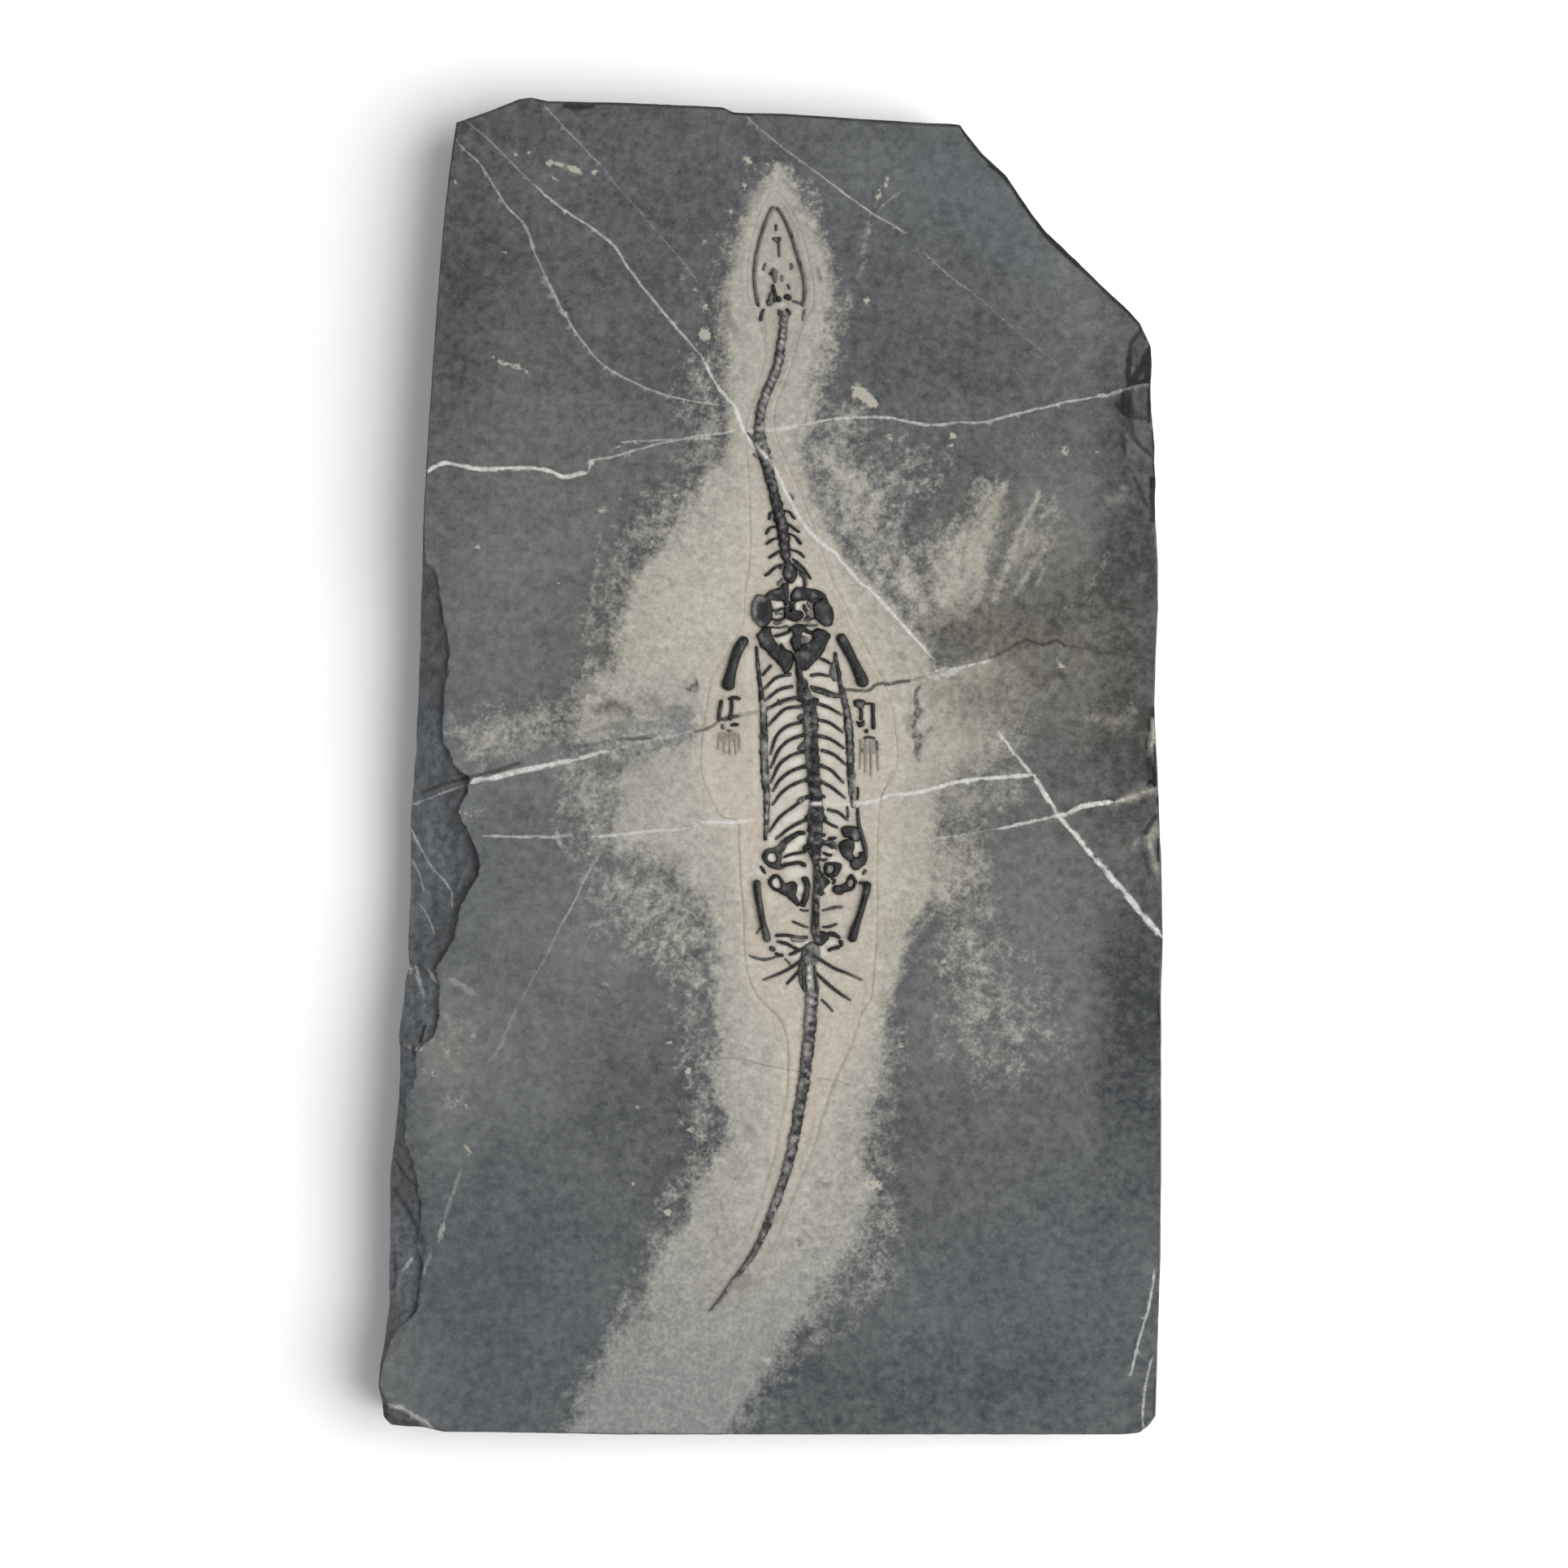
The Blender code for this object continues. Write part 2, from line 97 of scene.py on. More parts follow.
def smooth(points, pieces=6, closed=False):
    """Catmull-Rom curve through the rows."""
    p = arr(points)
    n = len(p)
    out = []
    for i in range(n if closed else n - 1):
        if closed:
            p0, p1, p2, p3 = p[i - 1], p[i], p[(i + 1) % n], p[(i + 2) % n]
        else:
            p0, p1, p2, p3 = p[max(i - 1, 0)], p[i], p[i + 1], p[min(i + 2, n - 1)]
        t = (np.arange(pieces) / pieces)[:, None]
        out.append(0.5 * (2 * p1 + (p2 - p0) * t + (2 * p0 - 5 * p1 + 4 * p2 - p3) * t * t
                          + (3 * p1 - p0 - 3 * p2 + p3) * t ** 3))
    if not closed:
        out.append(p[-1:])
    return np.vstack(out)


def resample(line, spacing, closed=False):
    """The same line with evenly spaced rows, their other columns carried along."""
    line = arr(line)
    if closed:
        line = np.vstack([line, line[:1]])
    run = np.concatenate([[0], np.cumsum(np.hypot(*(line[1:, :2] - line[:-1, :2]).T))])
    count = max(2, int(round(run[-1] / spacing)) + 1)
    at = np.linspace(0, run[-1], count)
    out = np.column_stack([np.interp(at, run, line[:, k]) for k in range(line.shape[1])])
    return out[:-1] if closed else out


def normals(line, closed=False):
    """Unit vectors to the right-hand side of the direction of travel, on the u, v grid."""
    if closed:
        d = np.roll(line[:, :2], -1, 0) - np.roll(line[:, :2], 1, 0)
    else:
        d = np.gradient(line[:, :2], axis=0)
    d /= np.maximum(np.hypot(d[:, 0], d[:, 1]), 1e-9)[:, None]
    return np.column_stack([-d[:, 1], d[:, 0]])


def inside(p, polygon):
    out = np.zeros(len(p), bool)
    polygon = arr(polygon)[:, :2]
    x, y = p[:, 0], p[:, 1]
    for a, b in zip(polygon, np.roll(polygon, -1, 0)):
        if a[1] == b[1]:
            continue
        cross = (a[1] > y) != (b[1] > y)
        out ^= cross & (x < (b[0] - a[0]) * (y - a[1]) / (b[1] - a[1]) + a[0])
    return out


def to_line(p, line, reach, closed=False):
    """(distance, third column there, side) from each point to a line, looked for up to reach away."""
    line = arr(line)
    if closed:
        line = np.vstack([line, line[:1]])
    value = line[:, 2] if line.shape[1] > 2 else np.linspace(0, 1, len(line))
    far = np.full(len(p), reach * 2.0)
    found = np.zeros(len(p))
    side = np.ones(len(p))
    for k in range(0, len(line) - 1, 12):
        part = line[k:k + 13, :2]
        low, high = part.min(0) - reach, part.max(0) + reach
        near = np.where(((p > low) & (p < high)).all(1))[0]
        if not len(near):
            continue
        q, best, val, sid = p[near], far[near], found[near], side[near]
        for j in range(len(part) - 1):
            a, ab = part[j], part[j + 1] - part[j]
            long2 = ab @ ab
            if long2 < 1e-12:
                continue
            t = np.clip(((q - a) @ ab) / long2, 0, 1)
            e = q - a - t[:, None] * ab
            d = np.hypot(e[:, 0], e[:, 1])
            closer = d < best
            best = np.where(closer, d, best)
            val = np.where(closer, value[k + j] + t * (value[k + j + 1] - value[k + j]), val)
            sid = np.where(closer, np.sign(ab[0] * e[:, 1] - ab[1] * e[:, 0]), sid)
        far[near], found[near], side[near] = best, val, sid
    return far, found, side


def blob(p, u, v, ru, rv, turn=0.0):
    """1 at the middle of an ellipse and 0.5 at its rim, falling off smoothly."""
    c, s = math.cos(math.radians(turn)), math.sin(math.radians(turn))
    du, dv = p[:, 0] - u, p[:, 1] - v
    a, b = (du * c + dv * s) / ru, (-du * s + dv * c) / rv
    return np.exp(-0.693 * (a * a + b * b))


def place(u, v, z):
    return np.column_stack([(u - CENTRE[0]) * GRID, (CENTRE[1] - v) * GRID, np.broadcast_to(z, np.shape(u))])


# ------------------------------------------------------------ layout: the slab
# (u, v, offset to the edge of the sound face, depth of the broken edge in mm), clockwise
EDGE = [
    (562, 150, 3, 3, 0.8), (600, 137, 2, 4, 0.9), (640, 121, 1, 4, 1.0), (655, 119, 0, 4, 1.0),
    (675, 124, 0, 3, 0.8), (730, 125, 0, 3, 0.8), (780, 126, 0, 3, 0.8), (840, 129, 0, 3, 0.8),
    (890, 131, 0, 4, 1.0), (905, 138, 0, 3, 0.8), (966, 139, 0, 4, 1.0), (1060, 145, 0, 5, 1.2),
    (1125, 149, 0, 5, 1.4), (1183, 152, -3, 5, 1.2), (1190, 162, -5, 3, 1.4), (1210, 187, -6, 4, 1.8),
    (1240, 214, -7, 5, 2.2), (1270, 258, -7, 5, 2.2), (1290, 284, -8, 5, 2.4), (1320, 312, -8, 6, 2.6),
    (1360, 352, -7, 6, 2.2), (1392, 382, -6, 5, 1.8), (1406, 397, -5, 6, 2.0),
    (1420, 424, -27, 3, 3.5), (1422, 450, -32, 2, 4.0), (1420, 473, -31, 0, 4.0), (1421, 503, -39, 0, 4.5),
    (1424, 530, -36, 0, 4.0), (1424, 560, -36, 0, 3.2), (1425, 590, -29, 0, 2.4), (1424, 615, -16, 0, 1.6),
    (1424, 640, -4, 0, 0.9), (1427, 690, -3, 0, 0.6), (1427, 750, -2, 0, 0.5), (1424, 820, -2, 0, 0.5),
    (1423, 870, -4, 0, 0.9), (1425, 910, -8, 0, 1.5), (1427, 955, -4, 0, 0.8), (1429, 1010, -6, 0, 1.1),
    (1431, 1045, -8, 0, 1.3), (1432, 1085, -2, 0, 0.5), (1433, 1160, -2, 0, 0.5), (1431, 1226, -4, 0, 0.8),
    (1431, 1262, -2, 0, 0.5), (1431, 1350, -2, 0, 0.5), (1431, 1450, -2, 0, 0.5), (1430, 1550, -2, 0, 0.5),
    (1427, 1650, -2, 0, 0.5), (1424, 1745, -2, -2, 0.5), (1415, 1758, -2, -3, 0.6), (1404, 1766, -1, -3, 0.6),
    (1385, 1768, 0, -2, 0.5), (1290, 1768, 0, -2, 0.5), (1190, 1768, 0, -2, 0.5), (1080, 1768, 0, -2, 0.5),
    (966, 1768, 0, -2, 0.5), (860, 1768, 0, -2, 0.5), (760, 1768, 0, -2, 0.5), (660, 1766, 0, -2, 0.5),
    (580, 1765, 0, -2, 0.5), (546, 1765, 0, -4, 0.8),
    (522, 1760, 6, -5, 1.8), (500, 1760, 13, -13, 2.6), (480, 1759, 17, -21, 3.0), (471, 1748, 12, -15, 2.4),
    (470, 1726, 4, -4, 0.9), (466, 1708, 2, 0, 0.6), (468, 1682, 4, -1, 0.9), (473, 1656, 9, -4, 1.4),
    (478, 1612, 38, -4, 3.0), (478, 1563, 43, 0, 3.4), (479, 1528, 38, 0, 3.2), (479, 1495, 39, 0, 3.2),
    (479, 1460, 36, 0, 3.0), (480, 1434, 31, 0, 2.8), (486, 1402, 12, -2, 1.6), (491, 1352, 10, 0, 1.4),
    (492, 1322, 22, 0, 2.0), (492, 1296, 18, 0, 2.0), (490, 1278, 35, 2, 3.0), (492, 1258, 44, 0, 3.4),
    (495, 1236, 47, 0, 3.6), (497, 1212, 44, 0, 3.6), (502, 1192, 33, 0, 3.2), (501, 1172, 47, 0, 3.8),
    (501, 1150, 58, 0, 4.2), (502, 1128, 63, 0, 4.6), (503, 1106, 69, 0, 5.0), (503, 1084, 82, 0, 5.2),
    (503, 1064, 87, 0, 5.4), (503, 1044, 86, 0, 5.4), (503, 1024, 75, 0, 5.0), (504, 1003, 62, 0, 4.6),
    (506, 978, 70, 0, 4.6), (508, 957, 69, 0, 4.4), (509, 940, 50, 0, 4.0), (511, 919, 38, 0, 3.6),
    (512, 892, 33, 0, 3.4), (514, 854, 33, 0, 3.4), (515, 823, 37, 0, 3.4), (516, 794, 37, 0, 3.2),
    (517, 755, 30, 0, 2.8), (519, 720, 22, 0, 2.0), (520, 697, 6, -3, 0.9), (521, 650, 2, 0, 0.6),
    (524, 590, 2, 0, 0.6), (529, 510, 2, 0, 0.6), (534, 430, 2, 0, 0.6), (540, 350, 2, 0, 0.6),
    (547, 265, 2, 0, 0.6), (556, 190, 3, 1, 0.6),
]
# the left-hand edge of the sound face in full, from the tail end up
LEFT_SOUND = [
    (511, 1434), (500, 1412), (498, 1400), (500, 1375), (501, 1352), (508, 1336), (513, 1322), (511, 1308),
    (514, 1297), (520, 1290), (530, 1280), (538, 1262), (541, 1240), (541, 1213), (533, 1195), (545, 1180),
    (558, 1155), (563, 1135), (566, 1115), (578, 1097), (588, 1080), (590, 1060), (586, 1045), (578, 1027),
    (568, 1012), (565, 1000), (566, 990), (575, 975), (578, 957), (565, 948), (557, 940), (553, 925),
    (545, 915), (543, 895), (547, 870), (548, 850), (551, 830), (553, 800), (551, 785), (547, 770),
    (546, 750), (541, 735), (540, 715), (536, 700), (524, 694),
]
first = next(i for i, e in enumerate(EDGE) if e[:2] == (480, 1434))
last = next(i for i, e in enumerate(EDGE) if e[:2] == (521, 650))
SOUND = ([(u + du, v + dv) for u, v, du, dv, _ in EDGE[:first]] + LEFT_SOUND
         + [(u + du, v + dv) for u, v, du, dv, _ in EDGE[last:]])

# the line scribed round the prepared field, clockwise from the snout
FIELD = [
    (953, 235), (966, 246), (979, 268), (991, 300), (1000, 340), (1002, 372), (993, 392), (984, 414),
    (977, 440), (967, 470), (956, 495), (953, 520), (958, 545), (973, 580), (986, 610), (1000, 645),
    (1015, 688), (1025, 716), (1040, 745), (1062, 790), (1093, 851), (1102, 896), (1105, 933), (1099, 959),
    (1084, 985), (1080, 1060), (1080, 1139), (1077, 1192), (1073, 1228), (1061, 1248), (1049, 1288),
    (1031, 1326), (1014, 1373), (1006, 1404), (990, 1445), (974, 1483), (960, 1518), (943, 1555),
    (926, 1582), (900, 1616), (880, 1632), (862, 1626), (864, 1604), (880, 1575), (912, 1538), (931, 1498),
    (943, 1460), (954, 1426), (961, 1386), (969, 1354), (971, 1317), (970, 1282), (961, 1256), (943, 1238),
    (930, 1222), (921, 1199), (917, 1172), (916, 1127), (912, 1080), (910, 1036), (908, 1012), (887, 1004),
    (873, 977), (864, 953), (864, 914), (871, 866), (877, 834), (895, 805), (915, 765), (917, 733),
    (924, 683), (923, 608), (920, 565), (918, 528), (925, 498), (936, 466), (942, 438), (939, 410),
    (931, 390), (921, 366), (920, 330), (926, 292), (936, 258), (944, 243),
]

# where the pale matrix shows, as (u, v, softness) clockwise from above the snout
HALO = [
    (961, 196, 6), (972, 215, 10), (980, 238, 9), (992, 258, 9), (1005, 280, 9), (1017, 305, 9), (1026, 335, 9),
    (1030, 360, 10), (1023, 385, 13), (1027, 400, 12), (1017, 430, 16), (1005, 470, 12), (1008, 500, 12),
    (1000, 525, 14), (992, 545, 12), (990, 565, 12), (996, 590, 14), (1004, 615, 14), (1014, 640, 14),
    (1030, 662, 14), (1050, 690, 12), (1075, 718, 10), (1100, 745, 10), (1130, 775, 10), (1148, 800, 10),
    (1160, 815, 14), (1190, 812, 14), (1225, 806, 14), (1240, 820, 18), (1215, 850, 25), (1225, 890, 30),
    (1235, 915, 26), (1215, 940, 24), (1180, 955, 18), (1158, 975, 14), (1158, 1010, 14), (1162, 1040, 24),
    (1162, 1070, 24), (1155, 1095, 12), (1144, 1110, 9), (1134, 1125, 9), (1124, 1143, 9), (1118, 1160, 9),
    (1114, 1185, 9), (1106, 1210, 9), (1098, 1235, 9), (1092, 1255, 9), (1094, 1280, 12), (1096, 1305, 14),
    (1090, 1330, 14), (1074, 1355, 12), (1070, 1385, 11), (1065, 1410, 12), (1067, 1435, 12), (1079, 1455, 12),
    (1081, 1475, 13), (1072, 1500, 18), (1065, 1530, 18), (1049, 1555, 20), (1033, 1580, 20), (1007, 1610, 20),
    (983, 1640, 16), (962, 1662, 13), (958, 1682, 11), (944, 1700, 11), (930, 1718, 11), (918, 1735, 11),
    (905, 1752, 9), (896, 1772, 9), (704, 1772, 14), (712, 1745, 14), (716, 1720, 14), (728, 1698, 14),
    (744, 1675, 12), (752, 1650, 13), (768, 1628, 13), (788, 1605, 13), (797, 1580, 11), (808, 1555, 10),
    (822, 1532, 10), (839, 1510, 10), (851, 1488, 10), (847, 1470, 10), (865, 1450, 12), (881, 1425, 13),
    (893, 1400, 14), (891, 1370, 15), (881, 1345, 13), (875, 1318, 12), (883, 1290, 12), (886, 1262, 12),
    (879, 1235, 12), (877, 1200, 13), (877, 1170, 14), (873, 1140, 16), (856, 1110, 16), (842, 1085, 18),
    (822, 1066, 18), (789, 1056, 18), (756, 1048, 18), (748, 1022, 20), (752, 990, 22), (748, 960, 22),
    (772, 938, 16), (800, 925, 14), (850, 908, 8), (866, 893, 6), (862, 876, 6), (835, 867, 7), (808, 868, 8),
    (790, 862, 10), (765, 846, 12), (748, 822, 14), (757, 790, 14), (760, 760, 15), (770, 730, 16), (782, 702, 17),
    (806, 672, 18), (832, 640, 18), (850, 606, 18), (872, 578, 16), (890, 556, 12), (898, 535, 10), (900, 515, 9),
    (893, 490, 10), (890, 455, 12), (889, 420, 14), (890, 385, 14), (892, 350, 12), (902, 320, 10), (913, 290, 9),
    (922, 262, 9), (934, 240, 9), (944, 220, 9), (953, 203, 7),
]
# weaker, mottled patches of it: (strength, softness, outline)
PATCHES = [
    (0.60, 30, [(985, 545), (1040, 540), (1078, 560), (1090, 600), (1108, 650), (1125, 700), (1150, 780),
                (1120, 775), (1060, 705), (1010, 640)]),
    (0.74, 26, [(1130, 690), (1160, 655), (1195, 640), (1210, 600), (1232, 600), (1232, 650), (1225, 700),
                (1208, 745), (1180, 762), (1150, 768), (1132, 735)]),
    (0.46, 22, [(1235, 730), (1230, 700), (1252, 640), (1285, 615), (1300, 640), (1290, 680), (1262, 715)]),
    (0.42, 34, [(1110, 815), (1262, 800), (1285, 840), (1275, 880), (1245, 900), (1190, 890), (1120, 860)]),
    (0.70, 22, [(1110, 870), (1245, 866), (1260, 888), (1250, 925), (1190, 958), (1120, 960)]),
    (0.48, 20, [(1150, 955), (1250, 945), (1262, 985), (1200, 1014), (1150, 1005)]),
    (0.78, 34, [(1130, 1030), (1195, 1030), (1205, 1090), (1160, 1120), (1130, 1100)]),
    (0.42, 36, [(1160, 1100), (1210, 1090), (1232, 1150), (1245, 1230), (1235, 1290), (1180, 1290),
                (1165, 1180)]),
    (0.25, 34, [(1150, 1180), (1250, 1160), (1300, 1220), (1320, 1280), (1270, 1330), (1200, 1350),
                (1160, 1300)]),
    (0.36, 20, [(556, 890), (600, 872), (660, 862), (720, 872), (752, 890), (700, 915), (640, 925),
                (590, 945), (560, 942)]),
    (0.80, 16, [(700, 925), (712, 850), (735, 805), (765, 815), (800, 820), (850, 840), (872, 870), (868, 895),
                (850, 912), (780, 925)]),
    (0.50, 30, [(690, 935), (772, 925), (790, 1040), (740, 1066), (700, 1030)]),
    (0.52, 34, [(730, 1060), (860, 1060), (880, 1180), (872, 1240), (835, 1200), (740, 1140)]),
    (0.34, 20, [(828, 1240), (880, 1240), (885, 1400), (850, 1440), (842, 1380), (838, 1300)]),
    (0.40, 20, [(1060, 1270), (1112, 1260), (1108, 1350), (1085, 1440), (1110, 1500), (1100, 1590),
                (1040, 1640), (1050, 1500), (1052, 1380)]),
    (0.36, 20, [(690, 1772), (700, 1720), (740, 1640), (790, 1540), (830, 1440), (868, 1440), (800, 1600),
                (730, 1772)]),
    (0.32, 20, [(880, 1772), (930, 1690), (1010, 1610), (1040, 1620), (960, 1720), (925, 1772)]),
    (0.30, 24, [(874, 340), (930, 200), (1000, 230), (1024, 340), (1040, 390), (1016, 500), (1000, 540),
                (880, 520), (868, 440)]),
    (0.40, 30, [(720, 810), (740, 720), (770, 650), (830, 580), (890, 540), (880, 620), (780, 720),
                (760, 840)]),
    (0.26, 18, [(560, 995), (592, 985), (590, 1010), (572, 1022)]),
    (0.30, 24, [(1060, 560), (1120, 540), (1180, 560), (1150, 620), (1100, 620)]),
    (0.44, 18, [(838, 565), (868, 506), (902, 502), (902, 545), (870, 590)]),
    (0.54, 18, [(1010, 560), (1018, 505), (1062, 498), (1068, 530), (1034, 560)]),
    (0.50, 18, [(840, 1455), (856, 1375), (886, 1375), (880, 1440)]),
    (0.74, 18, [(1082, 690), (1112, 676), (1136, 706), (1156, 748), (1140, 780), (1100, 735)]),
    (0.34, 16, [(1080, 1440), (1092, 1395), (1112, 1400), (1104, 1450)]),
    (0.34, 20, [(838, 440), (880, 425), (892, 500), (870, 545), (832, 520)]),
    (0.17, 16, [(536, 1252), (566, 1242), (590, 1290), (562, 1330), (528, 1332), (526, 1295)]),
    (0.15, 10, [(542, 1345), (575, 1343), (588, 1366), (560, 1374), (544, 1366)]),
]
# where the dark stone stays bare inside them: (strength, softness, outline)
CLEAR = [
    (0.80, 10, [(1160, 786), (1186, 768), (1206, 752), (1232, 740), (1290, 728), (1340, 740), (1330, 768), (1270, 784),
               (1230, 798), (1190, 812), (1160, 819), (1150, 808)]),
    (0.50, 12, [(1256, 800), (1285, 800), (1300, 830), (1285, 866), (1272, 872), (1262, 840)]),
]
# thinner places in the pale matrix: (u, v, ru, rv, turn, amount)
THIN = [
    (745, 830, 26, 30, 0, 0.10), (770, 1122, 60, 28, 0, 0.30), (1210, 850, 60, 36, 0, 0.20),
    (1170, 890, 40, 40, 0, 0.24), (1160, 838, 34, 18, 0, 0.16),
]
# soft pale streaks: (strength, half width, line)
STREAKS = [
    (0.42, 4.5, [(1204, 742), (1208, 716), (1208, 690), (1212, 664), (1222, 640), (1230, 614), (1237, 598)]),
    (0.55, 3.2, [(1226, 738), (1234, 716), (1243, 696), (1250, 675), (1257, 654), (1268, 634), (1279, 612)]),
    (0.40, 3.0, [(1252, 730), (1262, 716), (1271, 698), (1285, 680), (1292, 656)]),
    (0.34, 2.6, [(1276, 722), (1284, 706), (1296, 684)]),
    (0.34, 3.0, [(1196, 690), (1200, 655), (1206, 628)]),
    (0.26, 2.6, [(1284, 640), (1296, 616), (1304, 600)]),
    (0.30, 3.5, [(1088, 612), (1098, 596), (1104, 580)]),
    (0.26, 4.0, [(724, 822), (726, 780), (731, 720), (738, 660)]),
    (0.24, 4.0, [(812, 650), (820, 625), (826, 600)]),
    (0.24, 5.0, [(736, 632), (744, 626)]),
    (0.13, 6.0, [(1340, 880), (1362, 893), (1385, 880), (1394, 868)]),
    (0.20, 3.2, [(1277, 776), (1300, 760), (1325, 743)]), (0.12, 3.4, [(1192, 754), (1190, 788)]),
    (0.12, 3.0, [(1214, 746), (1211, 772)]), (0.12, 3.0, [(1231, 742), (1228, 768)]),
    (0.34, 3.5, [(1083, 222), (1081, 248), (1072, 275), (1065, 300), (1062, 330), (1052, 352), (1040, 385)]),
    (0.30, 8.0, [(1040, 380), (1036, 405), (1026, 430), (1018, 470)]),
    (0.20, 6.0, [(600, 905), (640, 893), (690, 880)]),
    (0.24, 7.0, [(580, 928), (640, 922), (700, 912)]),
    (0.26, 6.0, [(560, 905), (610, 912), (660, 905)]),
    (0.24, 5.0, [(655, 890), (672, 882)]),
    (0.22, 5.0, [(1340, 740), (1356, 700), (1366, 680)]),
    (0.24, 5.0, [(1175, 1150), (1172, 1190), (1180, 1230)]),
    (0.22, 4.0, [(786, 1140), (800, 1100), (806, 1085)]),
    (0.20, 4.0, [(738, 1230), (752, 1200), (762, 1180)]),
]
# dark smudges that break the pale matrix: (strength, half width, line)
SMUDGES = [
    (0.36, 2.8, [(1219, 726), (1226, 692), (1238, 660), (1246, 634), (1251, 612)]),
    (0.30, 2.6, [(1243, 732), (1257, 700), (1264, 680), (1276, 656), (1288, 638)]),
    (0.24, 2.4, [(1184, 700), (1190, 664), (1196, 640)]),
    (0.95, 3.0, [(1133, 846), (1128, 852), (1128, 861), (1131, 877)]),
    (0.95, 4.0, [(1131, 877), (1124, 892), (1128, 902), (1131, 912)]),
    (0.95, 4.2, [(1131, 905), (1131, 920), (1130, 936)]), (0.60, 2.6, [(1131, 912), (1140, 905), (1146, 897)]),
    (0.55, 5.0, [(1120, 888), (1122, 900)]),
    (0.95, 2.6, [(857, 838), (858, 852)]), (0.95, 2.6, [(847, 849), (858, 852)]), (0.95, 2.6, [(852, 845), (858, 849)]),
    (0.70, 3.6, [(1110, 806), (1114, 811)]),
    (0.80, 2.6, [(984, 1528), (985, 1534)]),
    (0.70, 7.0, [(738, 802), (744, 814)]), (0.55, 6.0, [(722, 846), (731, 850)]),
    (0.74, 7.0, [(736, 876), (756, 869), (772, 873)]), (0.56, 6.0, [(814, 877), (835, 876), (850, 880)]),
    (0.46, 4.0, [(724, 904), (745, 897), (762, 893)]), (0.26, 5.0, [(800, 893), (825, 890), (850, 886)]),
    (0.75, 2.2, [(758, 910), (780, 910), (804, 907)]), (0.40, 5.0, [(806, 860), (810, 868)]),
    (0.40, 5.0, [(723, 935), (740, 944), (756, 946)]), (0.34, 3.0, [(770, 880), (778, 890)]),
    (0.60, 4.0, [(786, 1622), (800, 1624)]),
    (0.55, 4.0, [(1010, 1460), (1020, 1461)]),
    (0.22, 6.0, [(765, 945), (790, 944), (800, 948)]),
    (0.20, 9.0, [(800, 1080), (840, 1062)]),
    (0.35, 4.0, [(922, 1390), (930, 1396)]),
    (0.40, 3.0, [(882, 1514), (884, 1524)]),
    (0.50, 2.6, [(1008, 333), (1011, 345)]),
    (0.40, 3.5, [(862, 395), (868, 400)]),
    (0.45, 5.0, [(906, 408), (899, 398), (897, 386)]),
    (0.10, 10.0, [(1160, 990), (1200, 985), (1240, 975)]), (0.34, 5.0, [(1170, 850), (1172, 866)]),
    (0.30, 4.0, [(1184, 862), (1188, 880)]), (0.30, 6.0, [(1196, 903), (1200, 912)]), (0.90, 4.2, [(1303, 829), (1309, 833)]),
    (0.30, 5.0, [(1146, 852), (1152, 862)]),
    (0.40, 4.0, [(836, 1370), (848, 1380), (856, 1392)]),
]

